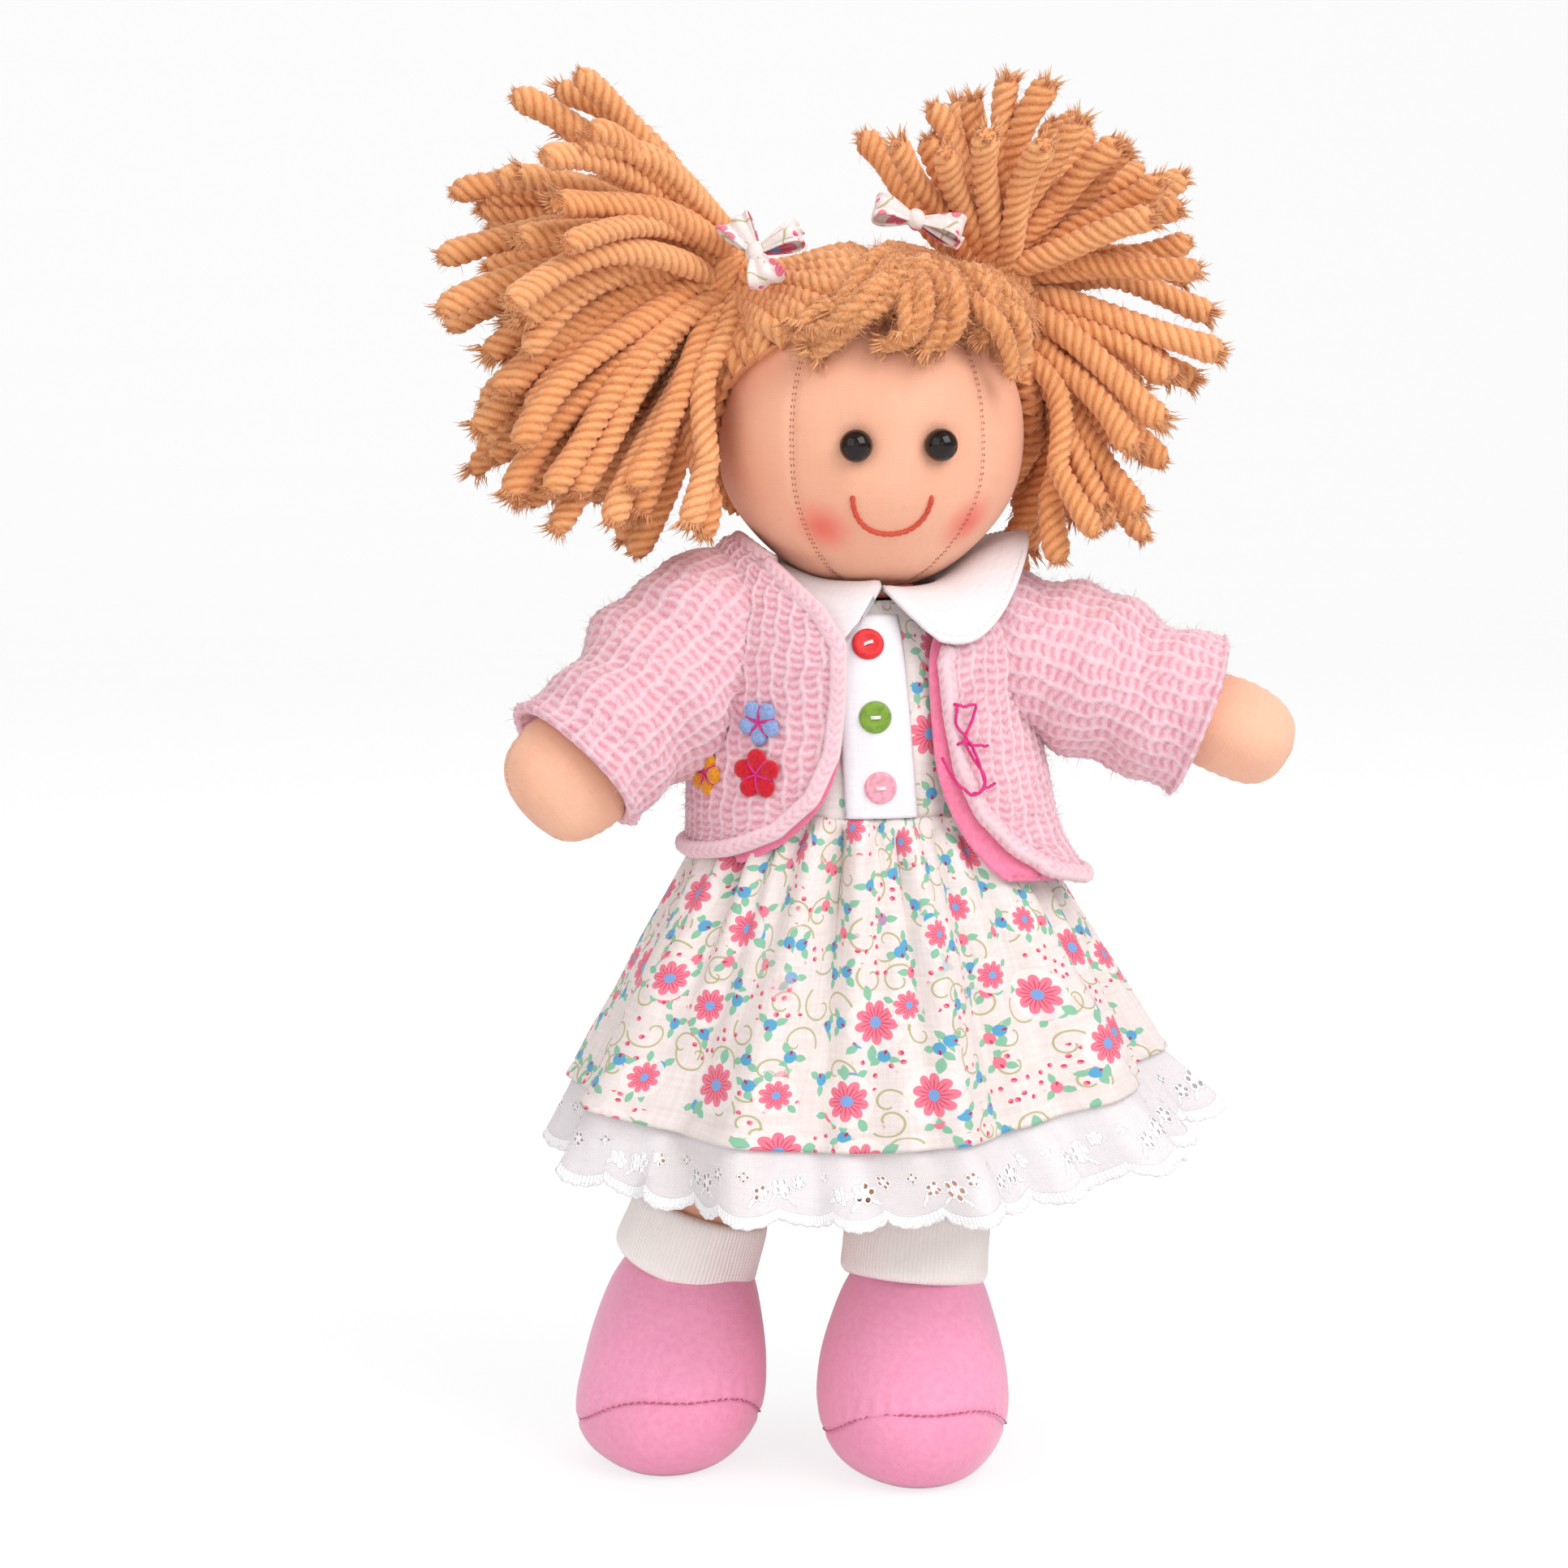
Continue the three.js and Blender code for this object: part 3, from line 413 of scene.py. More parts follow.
class Value:
    """A value inside a node tree, which adds, subtracts, multiplies and divides as a number does."""

    def __init__(self, build: "Nodes", socket: bpy.types.NodeSocket) -> None:
        """Keep the socket and the builder of its tree."""
        self.build, self.socket = build, socket

    def __add__(self, other: object) -> "Value":
        """The sum."""
        return self.build.sum("ADD", self, other)

    def __sub__(self, other: object) -> "Value":
        """The difference."""
        return self.build.sum("SUBTRACT", self, other)

    def __mul__(self, other: object) -> "Value":
        """The product."""
        return self.build.sum("MULTIPLY", self, other)

    def __truediv__(self, other: object) -> "Value":
        """The quotient."""
        return self.build.sum("DIVIDE", self, other)

    def __pow__(self, other: object) -> "Value":
        """The power."""
        return self.build.sum("POWER", self, other)

    def __rsub__(self, other: object) -> "Value":
        """A number less this one."""
        return self.build.sum("SUBTRACT", other, self)

    def __rtruediv__(self, other: object) -> "Value":
        """A number divided by this one."""
        return self.build.sum("DIVIDE", other, self)

    def __abs__(self) -> "Value":
        """The value without its sign."""
        return self.build.sum("ABSOLUTE", self)

    __radd__, __rmul__ = __add__, __mul__


class Nodes:
    """Short calls that add nodes to one tree."""

    def __init__(self, tree: Tree) -> None:
        """Keep the tree that nodes go into."""
        self.tree = tree

    def put(self, socket: bpy.types.NodeSocket, value: object) -> None:
        """Link a socket to another, or set its value."""
        value = value.socket if isinstance(value, Value) else value
        if isinstance(value, bpy.types.NodeSocket):
            self.tree.links.new(value, socket)
        else:
            socket.default_value = value

    def add(self, kind: str, given: dict | Sequence = (), **settings: object) -> bpy.types.Node:
        """Add a node of a kind with its inputs, by name or in order, and its settings."""
        node = self.tree.nodes.new(kind)
        for key, value in settings.items():
            setattr(node, key, value)
        for key, value in given.items() if isinstance(given, dict) else enumerate(given):
            self.put(node.inputs[key], value)
        return node

    def give(self, kind: str, given: dict | Sequence = (), output: int | str = 0, **settings: object) -> Value:
        """Add a node and give one of its outputs."""
        return Value(self, self.add(kind, given, **settings).outputs[output])

    def sum(self, operation: str, *parts: object) -> Value:
        """A Math node's result."""
        return self.give("ShaderNodeMath", parts, operation=operation)

    def most(self, first: object, second: object) -> Value:
        """The larger of two values."""
        return self.sum("MAXIMUM", first, second)

    def sine(self, turn: object) -> Value:
        """The sine of a turn."""
        return self.sum("SINE", turn)

    def cosine(self, turn: object) -> Value:
        """The cosine of a turn."""
        return self.sum("COSINE", turn)

    def vector(self, operation: str, *parts: object) -> Value:
        """A Vector Math node's vector, or its number where it measures."""
        return self.give("ShaderNodeVectorMath", parts, int(operation in ("LENGTH", "DISTANCE")), operation=operation)

    def blend(self, share: object, first: object, second: object) -> Value:
        """A colour between two, at a share."""
        return self.give("ShaderNodeMix", {0: share, 6: first, 7: second}, 2, data_type="RGBA")

    def span(self, value: object, low: float, high: float, to_low: float = 0.0, to_high: float = 1.0) -> Value:
        """A value moved smoothly from one span to another."""
        return self.give("ShaderNodeMapRange", (value, low, high, to_low, to_high), interpolation_type="SMOOTHSTEP")

    def noise(self, place: object, scale: float, detail: float = 2.0, rough: float = 0.5) -> Value:
        """A noise value at a place."""
        return self.give("ShaderNodeTexNoise", {"Vector": place, "Scale": scale, "Detail": detail, "Roughness": rough})

    def parts(self, vector: object) -> list[Value]:
        """The x, y and z of a vector."""
        return [Value(self, socket) for socket in self.add("ShaderNodeSeparateXYZ", [vector]).outputs]

    def joined(self, x: object, y: object, z: object = 0.0) -> Value:
        """A vector from x, y and z."""
        return self.give("ShaderNodeCombineXYZ", (x, y, z))

    def attribute(self, name: str) -> Value:
        """A number kept on the mesh."""
        return self.give("ShaderNodeAttribute", output="Fac", attribute_name=name)

    def group(self, group: Tree, **values: object) -> dict[str, Value]:
        """Place a node group, set its inputs and give its outputs."""
        node = self.add("ShaderNodeGroup", node_tree=group)
        for key, value in values.items():
            self.put(node.inputs[key], value)
        return {socket.name: Value(self, socket) for socket in node.outputs}


def new_group(name: str, inputs: dict[str, str], outputs: dict[str, str]) -> tuple[Nodes, dict[str, Value], object]:
    """Start a shader group.

    Args:
        name: The group's name.
        inputs: Each input's name and socket kind.
        outputs: Each output's name and socket kind.

    Returns:
        The group's builder, its inputs and its outputs.
    """
    tree = bpy.data.node_groups.new(name, "ShaderNodeTree")
    for way, sockets in (("INPUT", inputs), ("OUTPUT", outputs)):
        for key, kind in sockets.items():
            tree.interface.new_socket(key, in_out=way, socket_type=f"NodeSocket{kind}")
    build = Nodes(tree)
    given = build.add("NodeGroupInput").outputs
    return build, {key: Value(build, given[key]) for key in inputs}, build.add("NodeGroupOutput").inputs


def weave_group() -> Tree:
    """Plain weave: threads that pass over and under each other.

    Returns:
        A group from a place and a thread pitch to a height and a slub value.
    """
    build, given, out = new_group("plain_weave", {"Place": "Vector", "Pitch": "Float"},
                                  {"Height": "Float", "Slub": "Float"})
    turns = math.pi / given["Pitch"]
    x, y, _ = build.parts(given["Place"])
    wander = build.noise(given["Place"], 260.0)
    across = build.sine(x * turns + wander)
    along = build.sine(y * turns + wander)
    over = across * along
    ridge = build.most(abs(across), abs(along))
    build.put(out["Height"], over * 0.35 + ridge)
    stretched = build.vector("MULTIPLY", given["Place"], (1.0, 9.0, 1.0))
    crossed = build.vector("MULTIPLY", given["Place"], (9.0, 1.0, 1.0))
    slub = build.noise(stretched, 130.0, 3.0) + build.noise(crossed, 130.0, 3.0)
    build.put(out["Slub"], 0.25 + slub * 0.25)
    return build.tree


class Finish:
    """A material being made: its tree, its shader node and its surface place."""

    def __init__(self, name: str, roughness: float) -> None:
        """Start a material with a plain roughness."""
        self.material = bpy.data.materials.new(name)
        self.material.use_nodes = True
        self.build = Nodes(self.material.node_tree)
        self.shader = self.material.node_tree.nodes["Principled BSDF"]
        self.shader.inputs["Roughness"].default_value = roughness
        coordinate = self.build.add("ShaderNodeTexCoord")
        self.uv = coordinate.outputs["UV"]
        self.object = coordinate.outputs["Object"]

    def tint(self, value: object) -> None:
        """Set or link the base colour."""
        self.build.put(self.shader.inputs["Base Color"], value)

    def dye(self, share: object, low: float, high: float, dark: object, light: object) -> None:
        """Colour from dark to light as a share goes from low to high."""
        self.tint(self.build.blend(self.build.span(share, low, high), dark, light))

    def woven(self, weave: Tree, pitch: float) -> dict[str, Value]:
        """The outputs of a cloth group, with its thread pitch in millimetres."""
        return self.build.group(weave, Place=self.uv, Pitch=pitch * METRE)

    def nap(self, weight: float, rough: float = 0.5) -> None:
        """Give a soft cloth sheen."""
        self.shader.inputs["Sheen Weight"].default_value = weight
        self.shader.inputs["Sheen Roughness"].default_value = rough

    def bump(self, height: Value, distance: float, strength: float = 1.0) -> None:
        """Raise the surface by a height, with its depth in millimetres."""
        node = self.build.add("ShaderNodeBump")
        node.inputs["Strength"].default_value = strength
        node.inputs["Distance"].default_value = distance * METRE
        self.build.put(node.inputs["Height"], height)
        self.build.put(self.shader.inputs["Normal"], node.outputs[0])


# Yarn

@dataclass(frozen=True)
class YarnFinish:
    """Soft ginger wool, with painted shade in the grooves between its plies."""

    lit: tuple = colour(251, 186, 128)
    dark: tuple = colour(221, 137, 76)
    roughness: float = 0.85

    def make(self) -> Material:
        """Build the material.

        Returns:
            The material, which reads the ply and the strand kept on the mesh; a low ply value, in the grooves between
            plies, is painted darker as shade.
        """
        finish = Finish("ginger_yarn", self.roughness)
        build = finish.build
        fibre = build.noise(finish.object, 900.0, 4.0, 0.7)
        patch = build.noise(finish.object, 45.0, 2.0)
        fine = build.noise(build.vector("MULTIPLY", finish.object, (1.0, 1.0, 0.4)), 2400.0, 3.0, 0.7)
        # The ply value paints shade in the grooves between plies; the fibre, fine and patch noises are the wool's own
        # uneven tone.
        tone = build.attribute("ply") * 0.5 + fibre * 0.4 + (fine - 0.5) * 0.5 + (patch - 0.5) * 0.35
        strand = (build.attribute("strand") - 0.5) * 0.22
        finish.dye(tone + strand, 0.1, 1.0, self.dark, self.lit)
        finish.nap(0.18, 0.6)
        finish.bump(fibre + fine, 0.3, 0.8)
        return finish.material


def paths(name: str, lines: Iterable[Points], swell: Sequence[Points] | None = None) -> bpy.types.Curve:
    """Straight-sided curves along lines.

    Args:
        name: The curves' name.
        lines: Each line's points in millimetres.
        swell: Each line's share of the radius at its points.

    Returns:
        The curves.
    """
    curve = bpy.data.curves.new(name, "CURVE")
    curve.dimensions = "3D"
    for k, line in enumerate(lines):
        spline = curve.splines.new("POLY")
        spline.points.add(len(line) - 1)
        spline.points.foreach_set("co", np.hstack([line * METRE, np.ones((len(line), 1))]).ravel())
        if swell is not None:
            spline.points.foreach_set("radius", swell[k])
    return curve


class NodeTool:
    """A geometry node tree with named inputs, which turns curves or a mesh into a plain mesh object."""

    def __init__(self, name: str, inputs: dict[str, float], seed: int) -> None:
        """Start the tree.

        Args:
            name: The tree's name.
            inputs: Its named inputs and their usual values.
            seed: The seed of its random values.
        """
        self.tree = bpy.data.node_groups.new(name, "GeometryNodeTree")
        face = self.tree.interface
        face.new_socket("Geometry", in_out="INPUT", socket_type="NodeSocketGeometry")
        usual = inputs | {"Seed": seed, "Material": None}
        self.keys = {}
        for key, value in usual.items():
            kind = {"Seed": "Int", "Material": "Material"}.get(key, "Float")
            socket = face.new_socket(key, in_out="INPUT", socket_type=f"NodeSocket{kind}")
            socket.default_value = value
            self.keys[key] = socket.identifier
        face.new_socket("Geometry", in_out="OUTPUT", socket_type="NodeSocketGeometry")
        self.build = Nodes(self.tree)
        given = self.build.add("NodeGroupInput").outputs
        self.given = {key: Value(self.build, given[key]) for key in ("Geometry", *usual)}

    def store(self, geometry: Value, name: str, value: object, domain: str, kind: str = "FLOAT") -> Value:
        """Keep a value on a geometry under a name."""
        return self.build.give("GeometryNodeStoreNamedAttribute", {"Geometry": geometry, "Name": name, "Value": value},
                               data_type=kind, domain=domain)

    def resampled(self, pitch: str) -> Value:
        """The given curves with a point at each step of a named input in millimetres."""
        return self.build.give("GeometryNodeResampleCurve",
                               {"Curve": self.given["Geometry"], "Length": self.given[pitch] * METRE}, mode="LENGTH")

    def scattered(self, mesh: Value, density: str) -> tuple[Value, Value]:
        """Random points on a mesh, by a named input in points a square millimetre, and their turns."""
        node = self.build.add("GeometryNodeDistributePointsOnFaces",
                              {"Mesh": mesh, "Density": self.given[density] * (1 / METRE ** 2),
                               "Seed": self.given["Seed"]}, distribute_method="RANDOM")
        return node.outputs["Points"], node.outputs["Rotation"]

    def leaning(self, rotation: Value, low: object, high: object) -> Value:
        """A turn with a random lean between two triples of angles."""
        lean = self.build.give("FunctionNodeRandomValue", {0: low, 1: high, "Seed": self.given["Seed"]},
                               data_type="FLOAT_VECTOR")
        return self.build.give("FunctionNodeRotateRotation",
                               (rotation, self.build.give("FunctionNodeEulerToRotation", [lean])),
                               rotation_space="LOCAL")

    def copies(self, shape: Piece, **given: object) -> Value:
        """Copies of a shape on points."""
        info = self.build.give("GeometryNodeObjectInfo", {"Object": shape}, "Geometry")
        given = {key.title(): value for key, value in given.items()}
        return self.build.give("GeometryNodeInstanceOnPoints", given | {"Instance": info})

    def end(self, *parts: object) -> None:
        """Realize the parts, give them the material and send them out."""
        whole = self.build.add("GeometryNodeJoinGeometry")
        for part in parts:
            self.build.put(whole.inputs[0], part)
        real = self.build.give("GeometryNodeRealizeInstances", [whole.outputs[0]])
        dressed = self.build.give("GeometryNodeSetMaterial", {"Geometry": real, "Material": self.given["Material"]})
        self.build.add("NodeGroupOutput", [dressed])

    def run(self, name: str, data: bpy.types.ID, material: Material, settings: dict[str, float]) -> Piece:
        """Run the tree on data and keep the result as a plain mesh object.

        Args:
            name: The new object's name.
            data: The curve or mesh that the tree starts from.
            material: The result's material.
            settings: Named inputs that differ, with spaces as underscores.

        Returns:
            The mesh object.
        """
        holder = new_object(name + "_path", data)
        modifier = holder.modifiers.new("tool", "NODES")
        modifier.node_group = self.tree
        modifier[self.keys["Material"]] = material
        for key, value in settings.items():
            modifier[self.keys[key.replace("_", " ").title()]] = value
        bpy.context.view_layer.update()
        graph = bpy.context.evaluated_depsgraph_get()
        mesh = bpy.data.meshes.new_from_object(holder.evaluated_get(graph), depsgraph=graph)
        mesh.name = name
        bpy.data.objects.remove(holder)
        mesh.polygons.foreach_set("use_smooth", np.ones(len(mesh.polygons), dtype=bool))
        return new_object(name, mesh)


@dataclass
class YarnMaker:
    """Plied yarn along curves, made by one node tree."""

    material: Material
    radius: float = 2.7
    ply_count: int = 4
    ply_place: float = 0.34
    ply_radius: float = 0.66
    points_per_ply: int = 4
    twist_pitch: float = 9.4
    step: float = 1.2
    fuzz_density: float = 0.17
    fuzz_length: float = 2.3
    fuzz_radius: float = 0.06
    tuft_length: float = 4.2
    tuft_count: int = 46
    tuft_radius: float = 0.14
    seed: int = 11

    def __post_init__(self) -> None:
        """Build the yarn's node tree: twist, sweep, loose fibres and frayed ends."""
        names = ("radius", "twist_pitch", "step", "fuzz_density", "fuzz_length", "tuft_length")
        inputs = {name.replace("_", " ").title(): getattr(self, name) for name in names}
        self.tool = tool = NodeTool("plied_yarn", inputs, self.seed)
        build, given = tool.build, tool.given
        length = build.give("GeometryNodeSplineParameter", output="Length")
        tilt = build.give("GeometryNodeSetCurveTilt", {"Curve": tool.resampled("Step"),
                                                       "Tilt": length / (given["Twist Pitch"] * METRE) * FULL_TURN})
        chance = build.give("FunctionNodeRandomValue", {"Seed": given["Seed"]}, 1, data_type="FLOAT")
        strand = tool.store(tilt, "strand", chance, "CURVE")
        scale = given["Radius"] * METRE
        section = build.give("GeometryNodeObjectInfo", {"Object": self.profile()}, "Geometry")
        sized = build.give("GeometryNodeTransform",
                           {"Geometry": section, "Scale": build.joined(scale, scale, scale)})
        # The ply value runs from 0 in the grooves between plies to 1 on their crowns; the yarn's material paints shade
        # in the grooves from it.
        reach = build.vector("LENGTH", build.give("GeometryNodeInputPosition"))
        groove = self.ply_reach(math.pi / self.ply_count)
        share = build.give("ShaderNodeMapRange", (reach / scale, groove, 1.0, 0.0, 1.0))
        sweep = build.add("GeometryNodeCurveToMesh", {
            "Curve": strand, "Profile Curve": tool.store(sized, "ply", share, "POINT"), "Fill Caps": True})
        if "Scale" in sweep.inputs:
            build.put(sweep.inputs["Scale"], build.give("GeometryNodeInputRadius"))
        points, turns = tool.scattered(sweep.outputs[0], "Fuzz Density")
        fuzz = self.instances(tool, points, self.fibre("loose_fibre", 0.7), turns, "Fuzz Length")
        ends = build.give("GeometryNodeCurveEndpointSelection", {"Start Size": 0})
        tips = build.add("GeometryNodeCurveToPoints", {"Curve": tool.store(strand, "tip", ends, "POINT", "BOOLEAN")},
                         mode="EVALUATED")
        tip = build.give("GeometryNodeInputNamedAttribute", {"Name": "tip"}, data_type="BOOLEAN")
        aim = build.give("FunctionNodeAlignRotationToVector", {"Vector": tips.outputs["Tangent"]}, axis="Z")
        tuft = self.instances(tool, tips.outputs["Points"], self.fibre("frayed_end", 0.45, self.tuft_count), aim,
                              "Tuft Length", tip)
        tool.end(tuft, fuzz, sweep.outputs[0])

    def ply_reach(self, off: float) -> float:
        """How far a ply reaches from the yarn's middle, at a turn off the ply's own."""
        return self.ply_place * math.cos(off) + math.sqrt(self.ply_radius ** 2 - (self.ply_place * math.sin(off)) ** 2)

    def profile(self) -> Piece:
        """The yarn's section: a ring of touching plies, of radius one.

        Returns:
            A closed curve object with each point's share of the full radius kept as its ply.
        """
        count = self.ply_count * self.points_per_ply
        half = math.pi / self.ply_count
        curve = bpy.data.curves.new("yarn_section", "CURVE")
        spline = curve.splines.new("POLY")
        spline.points.add(count - 1)
        spline.use_cyclic_u = True
        for i in range(count):
            turn = FULL_TURN * i / count
            reach = self.ply_reach((turn + half) % (2 * half) - half)
            spline.points[i].co = (reach * math.cos(turn), reach * math.sin(turn), 0, 1)
        return bpy.data.objects.new("yarn_section", curve)

    def fibre(self, name: str, curl: float, count: int = 1) -> Piece:
        """Loose fibres that stand along +Z and bend over.

        Args:
            name: The object's name.
            curl: How far a fibre bends, as a share of its length.
            count: How many fibres there are.

        Returns:
            The mesh object, one unit long.
        """
        random = np.random.default_rng(self.seed)
        points, faces = [], []
        thin = (self.tuft_radius if count > 1 else self.fuzz_radius) / self.fuzz_length
        for _ in range(count):
            turn, lean = random.uniform(0, FULL_TURN), random.uniform(0.0, 0.6) if count > 1 else 0.3
            reach = random.uniform(0.35, 1) if count > 1 else 1
            way = np.array([math.cos(turn), math.sin(turn), 0])
            side = np.array([-way[1], way[0], 0])
            start = way * 0.72 * math.sqrt(random.uniform()) - [0, 0, 0.2] if count > 1 else np.zeros(3)
            base = len(points)
            for k in range(2):
                share = k / 2
                middle = start + way * (lean * share + curl * share ** 2) * reach + np.array([0, 0, reach * share])
                width = thin * (1 - 0.4 * share)
                points += [middle + side * width, middle + way * width, middle - side * width]
            points.append(start + way * (lean + curl) * reach + np.array([0, 0, reach * (1 - 0.25 * curl)]))
            faces += [[base, base + 1, base + 4, base + 3], [base + 1, base + 2, base + 5, base + 4],
                      [base + 2, base, base + 3, base + 5], [base + 2, base + 1, base]]
            faces += [[base + 3, base + 4, base + 6], [base + 4, base + 5, base + 6], [base + 5, base + 3, base + 6]]
        mesh = bpy.data.meshes.new(name)
        mesh.from_pydata([tuple(p) for p in points], [], faces)
        return bpy.data.objects.new(name, mesh)

    def instances(self, tool: NodeTool, points: object, shape: Piece, rotation: object, length: str,
                  selection: Value | None = None) -> Value:
        """Put a loose fibre shape on points.

        Args:
            tool: The tree's tool.
            points: The points.
            shape: The shape, one unit long.
            rotation: The turn at each point.
            length: The named input that holds the fibre's length in millimetres.
            selection: Which points carry one.

        Returns:
            The instances, with the ply and strand values of lit yarn.
        """
        build = tool.build
        size = build.give("FunctionNodeRandomValue", {2: 0.4, 3: 1.0, "Seed": tool.given["Seed"]}, 1,
                          data_type="FLOAT")
        scale = size * tool.given[length] * METRE
        given = {"points": points, "scale": build.joined(scale, scale, scale)}
        if selection is None:
            given["rotation"] = tool.leaning(rotation, (-0.9, -0.9, -math.pi), (0.9, 0.9, math.pi))
        else:
            given |= {"rotation": rotation, "selection": selection}
        kept = tool.copies(shape, **given)
        for name, value in (("ply", 0.85), ("strand", 0.6), ("relief", 0.9)):
            kept = tool.store(kept, name, value, "INSTANCE")
        return kept

    def make(self, name: str, strands: list[Points], swell: list[Points], **settings: float) -> Piece:
        """Make yarn along paths.

        Args:
            name: The object's name.
            strands: Each strand's points in millimetres, from its root to its tip.
            swell: Each strand's share of the radius at its points.
            **settings: Named inputs of the tree that differ, with spaces as underscores.

        Returns:
            One plain mesh object.
        """
        return self.tool.run(name, paths(name, strands, swell), self.material, settings)


@dataclass
class Sewing:
    """Short stitches along a path and loose fibres on a surface, each made by one node tree."""

    yarn: YarnMaker
    seed: int = 7

    def __post_init__(self) -> None:
        """Build the tree that sews stitches along paths and the one that stands fibres on a surface."""
        self.sewn = tool = NodeTool("stitches_on_path", {"Pitch": 1.2, "Length": 0.9, "Radius": 0.2, "Sway": 0.12},
                                    self.seed)
        build, given = tool.build, tool.given
        points = build.add("GeometryNodeCurveToPoints", {"Curve": tool.resampled("Pitch")}, mode="EVALUATED")
        aim = build.give("FunctionNodeAlignRotationToVector", {"Vector": points.outputs["Tangent"]}, axis="Z")
        sway, thick = given["Sway"], given["Radius"] * (2 * METRE)
        turned = tool.leaning(aim, build.joined(*[sway * -1.0] * 3), build.joined(sway, sway, sway))
        tool.end(tool.copies(self.stitch_shape(), points=points.outputs["Points"], rotation=turned,
                             scale=build.joined(thick, thick, given["Length"] * METRE)))
        self.fuzzy = tool = NodeTool("loose_fibres", {"Density": 0.3, "Length": 2.2}, self.seed)
        points, turns = tool.scattered(tool.given["Geometry"], "Density")
        tool.end(self.yarn.instances(tool, points, self.yarn.fibre("wool_fibre", 0.9), turns, "Length"))

    def stitch_shape(self) -> Piece:
        """One stitch along +Z: a thin capsule, one unit long and one across."""
        rise = np.radians(np.linspace(-80, 80, 7))[:, None]
        turn = turns(6)[None]
        grid = xyz(np.cos(rise) ** 0.5 * np.cos(turn) / 2, np.cos(rise) ** 0.5 * np.sin(turn) / 2, np.sin(rise) / 2)
        quads, _ = lattice(7, 6, True)
        ends = [list(range(6))[::-1], list(range(36, 42))]
        mesh = bpy.data.meshes.new("stitch")
        mesh.from_pydata(grid.reshape(-1, 3).tolist(), [], quads.tolist() + ends)
        return bpy.data.objects.new("stitch", mesh)

    def stitch(self, name: str, lines: Iterable[Points], material: Material, **settings: float) -> Piece:
        """Sew short stitches along lines.

        Args:
            name: The object's name.
            lines: Each line's points in millimetres.
            material: The thread.
            **settings: The tree's named inputs that differ.

        Returns:
            The stitches as one mesh object.
        """
        return self.sewn.run(name, paths(name, lines), material, settings)

    def fibres(self, name: str, piece: Piece, **settings: float) -> Piece:
        """Stand loose fibres on a piece, in its own material.

        Args:
            name: The object's name.
            piece: The piece.
            **settings: The tree's named inputs that differ.

        Returns:
            The fibres as one mesh object.
        """
        return self.fuzzy.run(name, piece.data.copy(), piece.data.materials[0], settings)


# Cloth and thread finishes

@dataclass(frozen=True)
class SkinFinish:
    """Peach cotton of the head, arms and legs, with a red blush, and painted shade round the eyes, where they are
    given.
    """

    name: str
    base: tuple = colour(244, 186, 156)
    shade: tuple = colour(234, 168, 138)
    blush: tuple = colour(232, 84, 74)
    blush_radius: float = 8.5
    # The painted shade round the eyes, where the cloth is drawn in, and how far it reaches.
    socket: tuple = colour(150, 84, 58)
    socket_span: tuple = (5.6, 2.6)
    thread_pitch: float = 0.34

    def make(self, weave: Tree, cheeks: Sequence[Points] = (), sockets: Sequence[Points] = ()) -> Material:
        """Build the material.

        Args:
            weave: The plain weave group.
            cheeks: The middles of the blush, in millimetres.
            sockets: The middles of the eyes, where the cloth is drawn in and painted shade darkens it.

        Returns:
            The material.
        """
        finish = Finish(self.name, 0.8)
        build = finish.build
        thread = finish.woven(weave, self.thread_pitch)
        cloud = build.noise(finish.object, 60.0, 3.0)
        # The slub and cloud are the cotton's own uneven tone; the weave's height adds a little painted shade in the
        # hollows between threads.
        share = thread["Slub"] * 0.6 + cloud * 0.45 + thread["Height"] * 0.16
        tone = build.blend(build.span(share, 0.4, 0.98), self.shade, self.base)
        for middle in cheeks:
            off = build.vector("DISTANCE", finish.object, tuple(middle * METRE))
            mask = build.span(off, self.blush_radius * METRE, 0.0, 0.0, 0.78)
            tone = build.blend(mask, tone, self.blush)
        # Painted shade round the eyes, darkest near their middles.
        for middle in sockets:
            off = build.vector("DISTANCE", finish.object, tuple(middle * METRE))
            far, near = self.socket_span
            tone = build.blend(build.span(off, far * METRE, near * METRE, 0.0, 0.45), tone, self.socket)
        finish.tint(tone)
        finish.nap(0.15)
        finish.bump(thread["Height"] + thread["Slub"] * 2.0, 0.07, 0.7)
        return finish.material


@dataclass(frozen=True)
class DyedFinish:
    """One colour over a fine grain: by itself sewing or embroidery thread, with slanted strands."""

    name: str
    base: tuple
    roughness: float = 0.55
    grain: tuple = (2600.0, 2.0, 0.5)
    stretch: float = 1.7
    shade: float = 0.62
    span: tuple = (0.3, 0.6)
    sheen: tuple = ()
    depth: tuple = (0.06, 0.7)
    worn: tuple = ()

    def make(self) -> Material:
        """Build the material: painted shade in the grain's hollows, a raised grain, and a sheen or a gloss of wear
        where one is given.
        """
        finish = Finish(self.name, self.roughness)
        build = finish.build
        place = finish.object
        if self.stretch != 1:
            place = build.vector("MULTIPLY", place, (1.0, 1.0, self.stretch))
        grain = build.noise(place, *self.grain)
        # The grain's low parts, the bump's hollows, take a darker copy of the colour: painted shade.
        dark = (*(part * self.shade for part in self.base[:3]), 1.0)
        finish.dye(grain, *self.span, dark, self.base)
        if self.worn:
            build.put(finish.shader.inputs["Roughness"], build.span(grain, *self.worn))
        if self.sheen:
            finish.nap(*self.sheen)
        finish.bump(grain, *self.depth)
        return finish.material


# How matt shirt buttons and thick wool felt differ from thread
BUTTON = {"roughness": 0.5, "grain": (900.0, 3.0, 0.5), "stretch": 1.0, "shade": 0.72, "sheen": (0.3, 0.5),
          "depth": (0.08, 0.4), "worn": (0.3, 0.7, 0.42, 0.6)}
FELT = {"roughness": 0.95, "grain": (1500.0, 5.0, 0.75), "stretch": 1.0, "shade": 0.55, "span": (0.3, 0.58),
        "sheen": (0.45, 0.4), "depth": (0.3, 0.8)}


